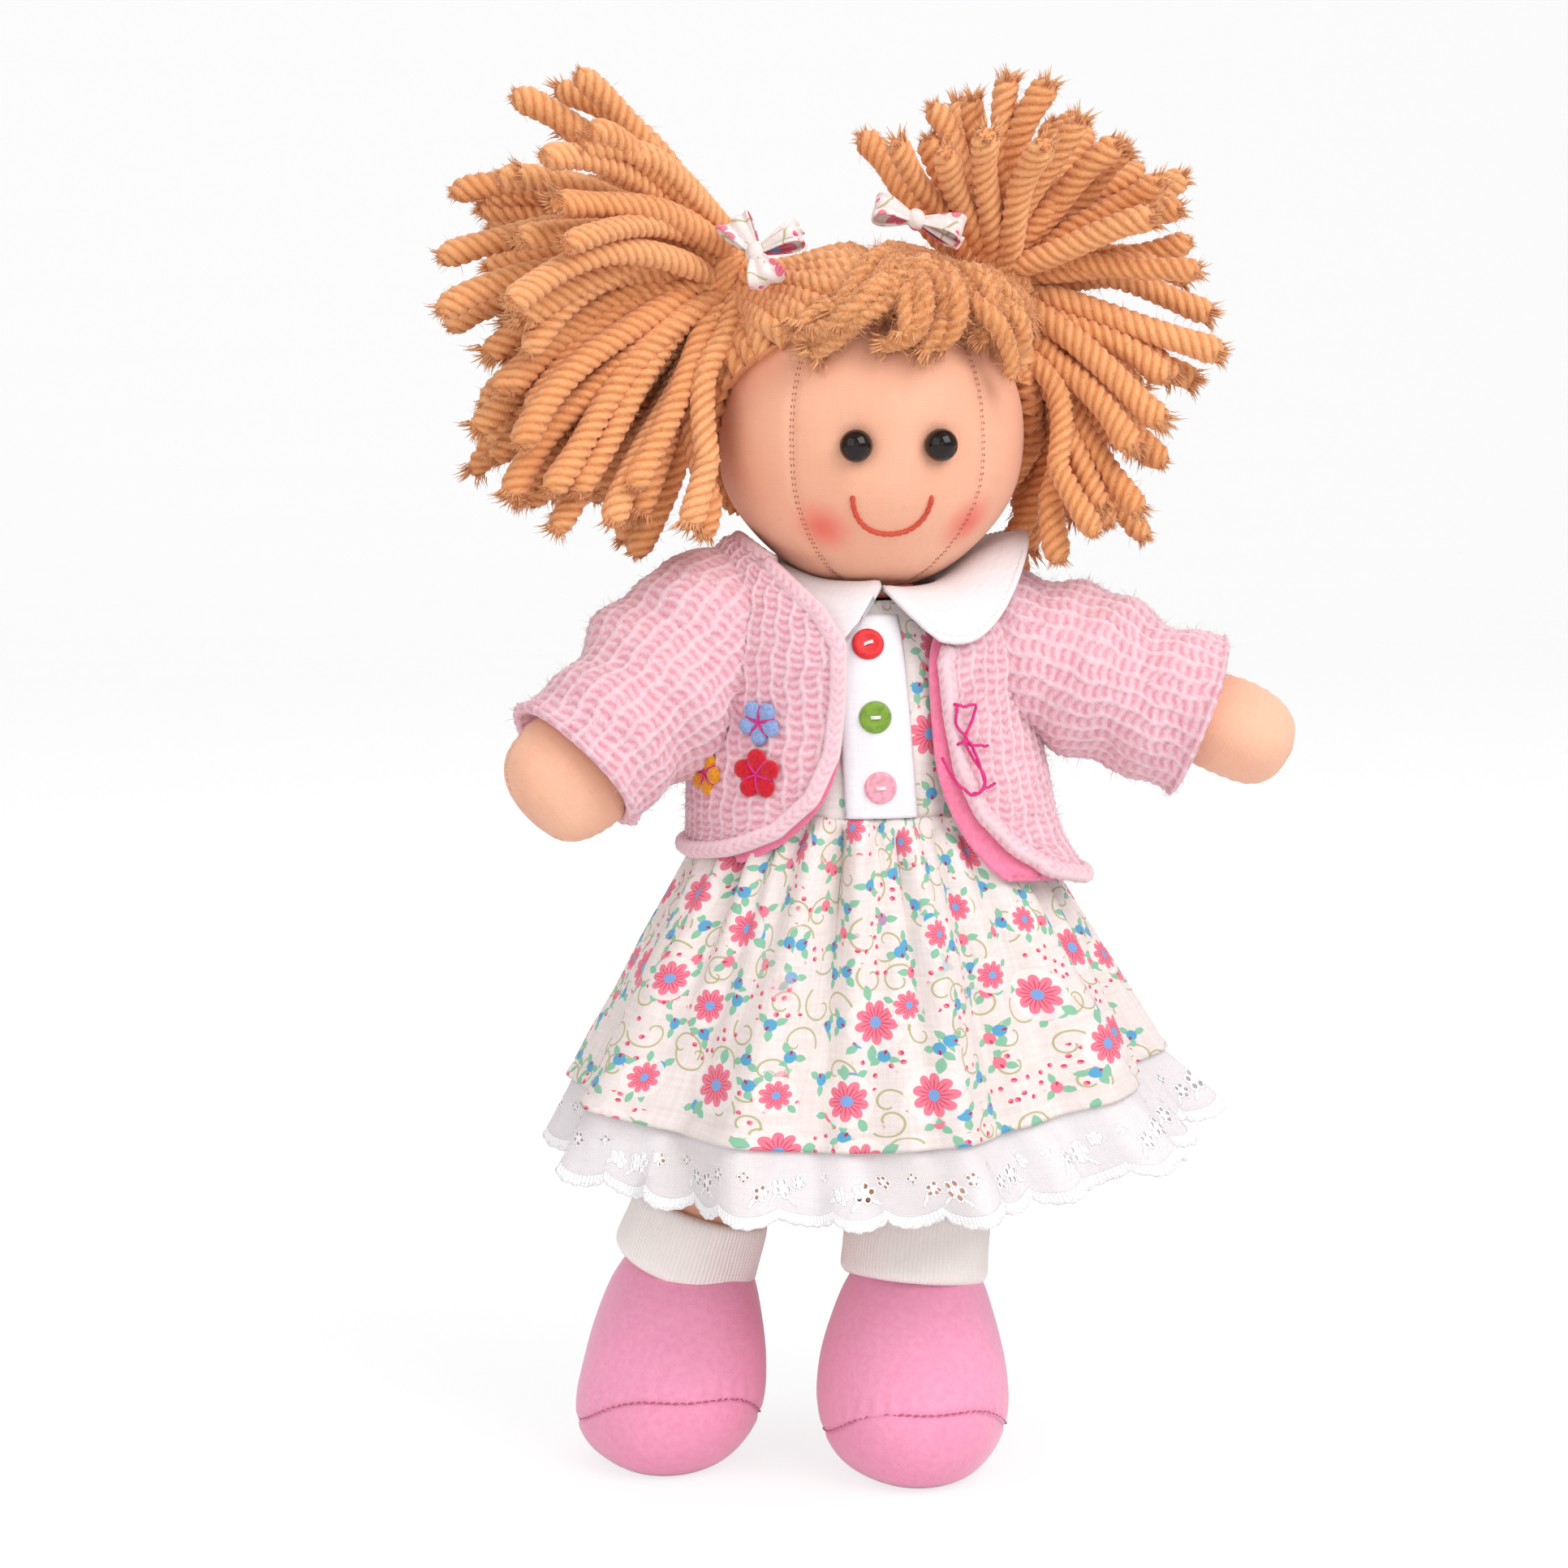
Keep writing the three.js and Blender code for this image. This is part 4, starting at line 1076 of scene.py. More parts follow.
@dataclass(frozen=True)
class BeadFinish:
    """Glossy black glass of the eyes."""

    base: tuple = colour(20, 10, 9)

    def make(self) -> Material:
        """Build the material with a faint wandering gloss."""
        finish = Finish("black_bead", 0.07)
        build = finish.build
        wander = build.noise(finish.object, 500.0, 2.0)
        build.put(finish.shader.inputs["Roughness"], build.span(wander, 0.2, 0.8, 0.05, 0.14))
        finish.tint(build.blend(wander, self.base, colour(30, 17, 14)))
        finish.shader.inputs["Specular IOR Level"].default_value = 0.2
        finish.shader.inputs["Coat Weight"].default_value = 0.3
        finish.shader.inputs["Coat Roughness"].default_value = 0.03
        return finish.material


# Threads and stitches

def tube(name: str, line: Points, radius: float | Points, material: Material,
         around: int = 8, closed: bool = False) -> Piece:
    """A round thread along a line.

    Args:
        name: The object's name.
        line: Points in millimetres.
        radius: The radius, or one for each point.
        material: The finish.
        around: Points round the thread.
        closed: Whether the line closes on itself.

    Returns:
        The object.
    """
    if closed:
        ahead = np.roll(line, -1, axis=0) - np.roll(line, 1, axis=0)
    else:
        ahead = np.gradient(line, axis=0)
    ahead = unit(ahead)
    side = np.zeros_like(line)
    last = unit(np.cross(ahead[0], [0.31, 0.52, 0.79]))
    for k, way in enumerate(ahead):
        last = unit(last - way * np.dot(last, way))
        side[k] = last
    other = np.cross(ahead, side)
    turn = turns(around)
    reach = np.broadcast_to(np.asarray(radius, float), (len(line),))[:, None, None]
    ring = side[:, None] * np.cos(turn)[None, :, None] + other[:, None] * np.sin(turn)[None, :, None]
    grid = line[:, None] + reach * ring
    if not closed:
        return stuffed(name, grid, material)
    quads, _ = lattice(len(line) + 1, around, True)
    return make_piece(name, grid.reshape(-1, 3), (quads % (len(line) * around)).tolist(), material)


def joined(name: str, pieces: Iterable[Piece]) -> Piece:
    """Join pieces into one object.

    Args:
        name: The new object's name.
        pieces: The objects, which go away.

    Returns:
        The one object.
    """
    pieces = list(pieces)
    with bpy.context.temp_override(active_object=pieces[0], selected_editable_objects=pieces,
                                   selected_objects=pieces, object=pieces[0]):
        bpy.ops.object.join()
    pieces[0].name = name
    pieces[0].data.name = name
    return pieces[0]


# Head and face

@dataclass
class Head:
    """The stuffed cotton head with its bead eyes and stitched smile."""

    radius: float = 31.5
    half_height: float = 33.0
    cheek_swell: float = 0.7
    cheek_drop: float = 12.0
    seam_turns: tuple = (-40.0, 38.0)
    seam_depth: float = 0.55
    seam_half: float = 1.0
    eye_radius: float = 3.35
    eye_dent: float = 1.5
    eye_dent_reach: float = 5.2
    cheek_places: tuple = ((-13.4, 200.6), (16.6, 201.2))
    around: int = 256
    rows: int = 132
    smile_radius: float = 0.5
    smile_rise: float = 7.9
    smile_sweep: float = math.pi / 2 * 0.94

    def __post_init__(self) -> None:
        """Find the head's middle and the face's places in the frame."""
        self.middle = joint_place("head_nod")
        self.eyes = [node_middle(f"eye_{side.word}") for side in Side]
        self.cheeks = [self.on_face(self.middle[0] + across, high) for across, high in self.cheek_places]

    def on_face(self, x: float, z: float, lift: float = 0.0) -> Points:
        """A point on the face seen from the front, lifted off the cloth."""
        wide = (x - self.middle[0]) / (self.radius + lift)
        high = (z - self.middle[2]) / (self.half_height + lift)
        y = self.middle[1] - (self.radius + lift) * math.sqrt(max(0.0, 1 - wide ** 2 - high ** 2))
        return np.array([x, y, z])

    def toward(self, turn: Points | float, rise: Points | float, lift: Points | float = 0.0) -> Points:
        """Points on the head by degrees round from the face and degrees up.

        Args:
            turn: Degrees from the face towards the doll's left.
            rise: Degrees above the middle.
            lift: Millimetres off the cloth.

        Returns:
            The points.
        """
        turn, rise = np.radians(turn), np.radians(rise)
        x = (self.radius + lift) * np.cos(rise) * np.sin(turn)
        y = -(self.radius + lift) * np.cos(rise) * np.cos(turn)
        z = (self.half_height + lift) * np.sin(rise)
        return self.middle + xyz(x, y, z)

    def skin(self, turn: Points, rise: Points, lift: float = 0.0) -> Points:
        """The head's cloth, drawn in at the seams and round the eyes.

        Args:
            turn: Degrees from the face towards the doll's left.
            rise: Degrees above the middle.
            lift: Millimetres off the cloth.

        Returns:
            The points.
        """
        grid = self.toward(turn, rise)
        out = unit((grid - self.middle) / [self.radius, self.radius, self.half_height])
        flat = out * [1, 1, 0]
        height = grid[..., 2] - self.middle[2] + self.cheek_drop
        grid = grid + self.cheek_swell * flat * np.exp(-(height / 9) ** 2)[..., None]
        push = np.full(grid.shape[:-1], lift)
        for seam in self.seam_turns:
            off = np.radians((turn - seam + 180) % 360 - 180) * self.radius * np.cos(np.radians(rise))
            push -= self.seam_depth * np.exp(-(off / self.seam_half) ** 2)
            pucker = np.sin(grid[..., 2] * FULL_TURN / 3.4)
            push += 0.10 * pucker * np.exp(-(off / 2.4) ** 2)
        for eye in self.eyes:
            off = np.linalg.norm((grid - eye) * [1, 0.6, 1], axis=-1)
            push -= self.eye_dent * np.exp(-(off / self.eye_dent_reach) ** 2)
        push += 0.22 * ripple(grid, 24, 5)
        return grid + out * push[..., None]

    def skin_at(self, x: Points, z: Points, lift: float) -> Points:
        """Points on the face's cloth seen from the front, lifted off it."""
        points = np.array([self.on_face(a, b) for a, b in zip(x, z)]) - self.middle
        turn = np.degrees(np.arctan2(points[:, 0], -points[:, 1]))
        rise = np.degrees(np.arcsin(points[:, 2] / self.half_height))
        return self.skin(turn, rise, lift)

    def build(self, skin: Material, bead: Material, red: Material, hole: Material, sewing: Sewing) -> None:
        """Make the head, eyes, smile and seam stitches.

        Args:
            skin: The face's cotton.
            bead: The eyes' glass.
            red: The smile's thread.
            hole: The painted shade of the seam's stitch holes.
            sewing: The maker of stitches.
        """
        rise = np.linspace(-88, 88, self.rows)[:, None]
        turn = 180 + 360 * np.arange(self.around)[None, :] / self.around
        head = stuffed("head_cloth", self.skin(turn, rise), skin)
        place_piece(head, "head", "skin_cotton", "head")
        for side, eye in zip(Side, self.eyes):
            rise, turn = np.radians(np.linspace(-86, 86, 25))[:, None], np.radians(np.arange(0, 360, 10))[None]
            ball = eye + [0, 0.9, 0] + self.eye_radius * xyz(
                np.cos(rise) * np.cos(turn), np.cos(rise) * np.sin(turn), np.sin(rise))
            place_piece(stuffed(f"bead_eye_{side.word}", ball, bead), "head", "black_bead", f"eye_{side.word}")
        self.smile(red)
        self.seam_holes(sewing, hole)

    def smile(self, red: Material) -> None:
        """Sew the smile: one thread down, round and up again, with its ends sunk in the cloth."""
        low, high = node_box("mouth_thread")
        middle, half = (low[0] + high[0]) / 2, (high[0] - low[0]) / 2 - self.smile_radius
        share = np.linspace(-1, 1, 61)
        z = low[2] + 0.2 + self.smile_rise * np.abs(share) ** 2.1
        x = middle + half * np.sin(share * self.smile_sweep) / math.sin(self.smile_sweep)
        line = self.skin_at(x, z, 0.28)
        sink = smooth(0.97, 1.0, np.abs(share)) * 1.2
        line = line + unit(self.middle - line) * sink[:, None]
        radius = self.smile_radius * (1 + 0.16 * np.sin(share * 50))
        place_piece(tube("smile_thread", line, radius, red), "head", "red_thread", "mouth_thread")

    def seam_holes(self, sewing: Sewing, hole: Material) -> None:
        """Mark the needle holes in a pair of rows beside each face seam, as small dark marks of painted shade."""
        lines = []
        rise = np.linspace(-62, 46, 90)
        for seam in self.seam_turns:
            for beside in (-0.3, 0.36):
                turn = seam + np.degrees(beside / self.radius / np.cos(np.radians(rise)))
                lines.append(self.skin(turn, rise, 0.04))
        holes = sewing.stitch("face_seam_holes", lines, hole, pitch=1.3, length=0.55, radius=0.12, sway=0.4)
        place_piece(holes, "head", "skin_cotton")


# Hair

@dataclass
class Hair:
    """Yarn sewn over the head from a parting, gathered in two bunches, with a curly fringe."""

    head: Head
    yarn: YarnMaker
    cap_strands: int = 44
    fringe_strands: int = 27
    root_radius: float = 5.4
    seed: int = 23

    def tie(self, side: Side) -> Points:
        """The middle of a bunch's tie."""
        return node_middle(f"hair_tie_{side.word}")

    def cap_start(self, side: Side, share: Points) -> Points:
        """Where a cap strand is sewn down: over the parting, then back along the hairline.

        Args:
            side: The side of the parting.
            share: From 0 at the front of the parting, round by the nape, to 1 at the front again.

        Returns:
            Degrees round and degrees up for each share.
        """
        knots = np.array([[0, 41], [0, 66], [1, 90], [181, 90], [182, 66], [182, 30], [182, -6], [170, -29],
                          [140, -31], [112, -29], [97, -16], [88, 2], [76, 17], [58, 29], [38, 38], [14, 42]], float)
        at = np.array([0, 0.09, 0.18, 0.1805, 0.27, 0.38, 0.47, 0.52, 0.58, 0.65, 0.71, 0.77, 0.83, 0.89, 0.95, 1.0])
        turn = np.interp(share, at, knots[:, 0])
        return np.stack([side.value * turn, np.interp(share, at, knots[:, 1])], axis=-1)

    def cap(self) -> None:
        """Lay the cap's strands over the head, each rising to its tie."""
        random = np.random.default_rng(self.seed)
        strands, swells = [], []
        t = np.linspace(0, 1, 36)
        for side in Side:
            tie = self.tie(side)
            goal = unit(tie - self.head.middle)
            for k in range(self.cap_strands):
                share = (k + 0.5) / self.cap_strands
                turn, rise = self.cap_start(side, share)
                first = self.head.toward(turn, rise, 1.2)
                begin = unit(first - self.head.middle)
                angle = math.acos(float(np.clip(begin @ goal, -1, 1)))
                arc = unit(np.sin((1 - t) * angle)[:, None] * begin + np.sin(t * angle)[:, None] * goal)
                surface = self.head.radius / np.linalg.norm(
                    arc * [1, 1, self.head.radius / self.head.half_height], axis=1)
                layer = random.uniform(0.0, 1.3)
                lift = 1.0 + (1.6 + layer) * smooth(0, 0.16, t)
                rising = np.linalg.norm(tie - self.head.middle) - 2.5 - surface - lift
                reach = surface + lift + rising * smooth(0.45, 1.0, t) * t
                wander = unit(np.cross(arc, goal)) * (0.7 * np.sin(t * 9 + random.uniform(0, 6)) * (1 - t))[:, None]
                spot = unit(random.normal(size=3)) * self.root_radius * 0.55 * math.sqrt(random.uniform())
                strands.append(self.head.middle + arc * reach[:, None] + wander + spot * (t ** 3)[:, None])
                swells.append(1.02 - 0.42 * smooth(0.55, 1.0, t))
        cap = self.yarn.make("hair_rows", strands, swells, step=1.7, fuzz_density=0.1, tuft_length=1.2)
        place_piece(cap, "head", "yarn", "hair_cap")

    def strand(self, start: Points, way: Points, length: float, droop: float, wave: float,
               random: np.random.Generator) -> Points:
        """One cut strand that leaves the tie, bends down under its weight and stays off the head.

        Args:
            start: Where it starts.
            way: The way it leaves.
            length: Its length.
            droop: How fast it turns down, per millimetre.
            wave: The size of its waves in millimetres.
            random: The source of its waves.

        Returns:
            Its points.
        """
        steps = 48
        run = length / steps
        points, heading = [start], unit(way)
        for _ in range(steps):
            heading = unit(heading + np.array([0, 0, -1]) * droop * run * (1 - max(0.0, -heading[2]) ** 2))
            points.append(points[-1] + heading * run)
        line = np.array(points)
        t = np.linspace(0, 1, len(line))
        across = unit(np.cross(np.gradient(line, axis=0), [0.2, 1, 0.1]))
        line = line + across * (wave * np.sin(t * random.uniform(4, 8) + random.uniform(0, 6)) * t)[:, None]
        line[:, 1] += wave * 0.8 * np.sin(t * random.uniform(3, 7) + random.uniform(0, 6)) * t
        size = np.array([self.head.radius, self.head.radius, self.head.half_height]) + 8.4
        off = (line - self.head.middle) / size
        near = np.linalg.norm(off, axis=1, keepdims=True)
        held = self.head.middle + off / np.minimum(near, 1.0) * size
        return line + (held - line) * smooth(0.2, 0.5, t)[:, None]

    def bunch(self, side: Side, fan: Sequence[tuple[float, float]], count: int, droop: float, depth: float) -> None:
        """Gather one bunch.

        Args:
            side: The bunch's side.
            fan: Ways that strands leave, in degrees from the doll's left, and the strands' lengths there.
            count: The number of strands.
            droop: How fast strands turn down, per millimetre.
            depth: How far strands lean to the front and back, as a share.
        """
        random = np.random.default_rng(self.seed + side.value)
        tie = self.tie(side)
        strands, swells = [], []
        for k in range(count):
            share = (k + 0.5) / count
            place = share * (len(fan) - 1)
            aim = np.interp(place, range(len(fan)), [row[0] for row in fan])
            angle = math.radians(aim + random.uniform(-5, 5))
            lean = depth * math.sin(k * GOLDEN_TURN + 0.7) * math.sqrt(random.uniform(0.25, 1))
            way = np.array([math.cos(angle), lean, math.sin(angle)])
            root = unit(random.normal(size=3)) * self.root_radius * math.sqrt(random.uniform(0, 1))
            start = tie + root - np.array([side.value * 3.0, 0, 0])
            reach = np.interp(place, range(len(fan)), [row[1] for row in fan]) * random.uniform(0.88, 1.05)
            line = self.strand(start, way, reach, droop * random.uniform(0.7, 1.25), 1.5, random)
            strands.append(line)
            t = np.linspace(0, 1, len(line))
            thick = random.uniform(0.9, 1.1) * (0.5 + 0.5 * smooth(0.0, 0.22, t))
            swells.append(thick * (1 + 0.1 * smooth(0.8, 0.95, t)) * (1 - 0.42 * smooth(0.965, 1.0, t)))
        for layer, nodes in (("inner", (f"bunch_{side.word}",)), ("outer", ())):
            every = slice(0 if nodes else 1, None, 2)
            bunch = self.yarn.make(f"yarn_bunch_{side.word}_{layer}", strands[every], swells[every])
            place_piece(bunch, f"bunch_{side.word}", "yarn", *nodes)

    def ties(self) -> None:
        """Bind each bunch with a few turns of yarn."""
        for side in Side:
            low, high = node_box(f"hair_tie_{side.word}")
            middle = (low + high) / 2
            turn = np.linspace(0, FULL_TURN * 2.6, 120)
            out = np.array([side.value * 0.93, 0, 0.36])
            up = unit(np.cross(out, [0, 1, 0])) * side.value
            radius = (high[1] - low[1]) / 2 - 2.0
            ring = np.cos(turn)[:, None] * np.array([0, 1, 0]) + np.sin(turn)[:, None] * up
            line = middle + ring * radius * 0.92 + out * ((turn / turn[-1] - 0.5) * 3.4)[:, None]
            wrap = self.yarn.make(f"tie_turns_{side.word}", [line], [np.full(len(line), 0.55)], tuft_length=0.8)
            place_piece(wrap, f"bunch_{side.word}", "yarn", f"hair_tie_{side.word}")

    def fringe(self) -> None:
        """Curl short frayed strands over the forehead."""
        random = np.random.default_rng(self.seed + 5)
        strands, swells = [], []
        t = np.linspace(0, 1, 40)
        for k in range(self.fringe_strands):
            share = k / (self.fringe_strands - 1)
            end_turn = -38 + 114 * share + random.uniform(-6, 6)
            end_rise = 28 - 7 * abs(share - 0.4) + random.uniform(-7, 10)
            start_turn = 16 + 36 * share + random.uniform(-10, 10)
            start_rise = 63 - 14 * share + random.uniform(-8, 8)
            bend = random.uniform(0.8, 1.5)
            turn = start_turn + (end_turn - start_turn) * t ** 0.8
            rise = start_rise + (end_rise - start_rise) * t ** bend
            curl = random.uniform(3.0, 6.0)
            phase = random.uniform(0, FULL_TURN)
            turn = turn + 6.5 * np.sin(t * curl + phase) * t
            rise = rise + 3.5 * np.sin(t * curl * 1.6 + phase) * t
            lift = 3.0 + 4.2 * np.sin(t * math.pi) ** 0.8 + 2.2 * np.sin(t * curl * 1.3 + phase) * t
            lift = lift + random.uniform(0, 2)
            strands.append(self.head.toward(turn, rise, lift))
            swells.append(0.92 - 0.25 * smooth(0.7, 1.0, t))
        fringe = self.yarn.make("curly_fringe", strands, swells, fuzz_density=0.62, fuzz_length=3.4, tuft_length=5.6)
        place_piece(fringe, "head", "yarn", "fringe")

    def build(self) -> None:
        """Make all of the hair."""
        self.cap()
        self.bunch(Side.RIGHT, ((112, 52), (132, 57), (148, 60), (164, 60), (180, 61), (197, 65), (215, 64), (235, 62),
                                (257, 58)), 84, 0.018, 0.66)
        self.bunch(Side.LEFT, ((128, 38), (100, 38), (77, 40), (55, 41), (30, 42), (8, 43), (-20, 46), (-45, 54),
                               (-68, 62), (-84, 60)), 64, 0.007, 0.62)
        self.ties()
        self.fringe()


# Limbs and shoes

def profile_rows(shares: Sequence[Sequence[float]], count: int) -> Points:
    """Smooth rows through a few rows of shares, evenly spaced in the first share.

    Args:
        shares: Rows of a place and sizes there.
        count: How many rows come back.

    Returns:
        The smooth rows.
    """
    fine = curve_through(shares, 8 * count)
    place = np.linspace(shares[0][0], shares[-1][0], count)
    return np.stack([np.interp(place, fine[:, 0], fine[:, k]) for k in range(fine.shape[1])], axis=1)


def limb_grid(start: Points, end: Points, shares: Sequence[Sequence[float]], half: tuple[float, float],
              rows: int, around: int) -> tuple[Points, Points, Points]:
    """Rings of a limb along a line.

    Args:
        start: The line's start.
        end: The line's end.
        shares: Rows of place, width and depth shares.
        half: The half width and half depth.
        rows: The number of rings.
        around: The points in a ring.

    Returns:
        The rings, the outward directions and each ring point's turn.
    """
    line = end - start
    along = unit(line)
    across = unit(np.cross([0.0, 1.0, 0.0], along))
    forward = np.cross(along, across)
    table = profile_rows(shares, rows)
    turn = turns(around)
    out = across * np.cos(turn)[:, None] + forward * np.sin(turn)[:, None]
    wide = table[:, 1][:, None] * half[0] * np.cos(turn)
    deep = table[:, 2][:, None] * half[1] * np.sin(turn)
    grid = (start + line * table[:, :1])[:, None] + wide[..., None] * across + deep[..., None] * forward
    return grid, np.broadcast_to(out, grid.shape), np.broadcast_to(turn, grid.shape[:2])


@dataclass
class Arm:
    """One stuffed arm with a mitten hand."""

    side: Side
    reach: tuple
    half: tuple
    seam_depth: float = 0.45
    rings: int = 96
    shares: tuple = ((0, 0.62, 0.72), (0.14, 0.74, 0.88), (0.3, 0.82, 0.96), (0.52, 0.8, 0.92), (0.64, 0.9, 0.95),
                     (0.76, 1, 1), (0.87, 0.95, 0.93), (0.94, 0.78, 0.76), (0.98, 0.52, 0.5), (1.0, 0.12, 0.12))

    def build(self, skin: Material, thread: Material, sewing: Sewing) -> None:
        """Make the arm, sewn along both edges of the hand.

        Args:
            skin: The arm's cotton.
            thread: The seam's thread.
            sewing: The maker of stitches.
        """
        start = joint_place(f"arm_{self.side.word}_raise")
        end = start + np.array(self.reach)
        grid, out, turn = limb_grid(start, end, self.shares, self.half, self.rings, self.rings)
        off = np.minimum(np.abs(np.sin(turn)), 1)
        place = np.linspace(0, 1, self.rings)[:, None]
        push = -self.seam_depth * np.exp(-(off * self.half[0] / 1.0) ** 2) * smooth(0.3, 0.5, place)
        pucker = 0.14 * np.sin(place * 150) * np.exp(-(off * self.half[0] / 2.6) ** 2)
        push = push + pucker + 0.35 * ripple(grid, 17, 7)
        grid = grid + out * push[..., None]
        arm = stuffed(f"arm_cloth_{self.side.word}", grid, skin)
        place_piece(arm, f"arm_{self.side.word}", "skin_cotton", f"arm_{self.side.word}")
        hand = slice(52, 94)
        edges = [grid[hand, column] + out[hand, column] * 0.06 for column in (0, self.rings // 2)]
        seam = sewing.stitch(f"hand_stitches_{self.side.word}", edges, thread, pitch=1.5, length=1.1, radius=0.1,
                             sway=0.1)
        place_piece(seam, f"arm_{self.side.word}", "skin_cotton")


@dataclass(frozen=True)
class ShoeFinish:
    """Brushed pink cotton."""

    name: str
    base: tuple
    shade: tuple
    thread_pitch: float = 0.5

    def make(self, weave: Tree) -> Material:
        """Build the material with its nap and weave."""
        finish = Finish(self.name, 0.9)
        build = finish.build
        thread = finish.woven(weave, self.thread_pitch)
        nap = build.noise(finish.object, 700.0, 4.0, 0.65)
        share = nap * 0.7 + thread["Slub"] * 0.3
        finish.dye(share, 0.3, 0.65, self.shade, self.base)
        finish.nap(0.5, 0.45)
        finish.bump(thread["Height"] * 0.5 + nap, 0.09, 0.55)
        return finish.material


@dataclass(frozen=True)
class SockFinish:
    """Off-white fine rib."""

    base: tuple = colour(255, 248, 244)
    shade: tuple = colour(252, 242, 237)
    rib_pitch: float = 0.9

    def make(self) -> Material:
        """Build the material with ribs along the leg and painted shade in the hollows between them."""
        finish = Finish("sock_rib", 0.85)
        build = finish.build
        x, y, _ = build.parts(finish.uv)
        wander = build.noise(finish.uv, 320.0) * 0.9
        turns = x * (FULL_TURN / (self.rib_pitch * METRE))
        rib = build.sine(turns + wander)
        row = build.sine(y * (FULL_TURN / (0.7 * METRE)))
        height = rib + row * 0.2
        # Painted shade: the rib's hollows take the darker colour.
        finish.dye(height, -0.9, 0.5, self.shade, self.base)
        finish.nap(0.25)
        finish.bump(height, 0.12, 0.6)
        return finish.material


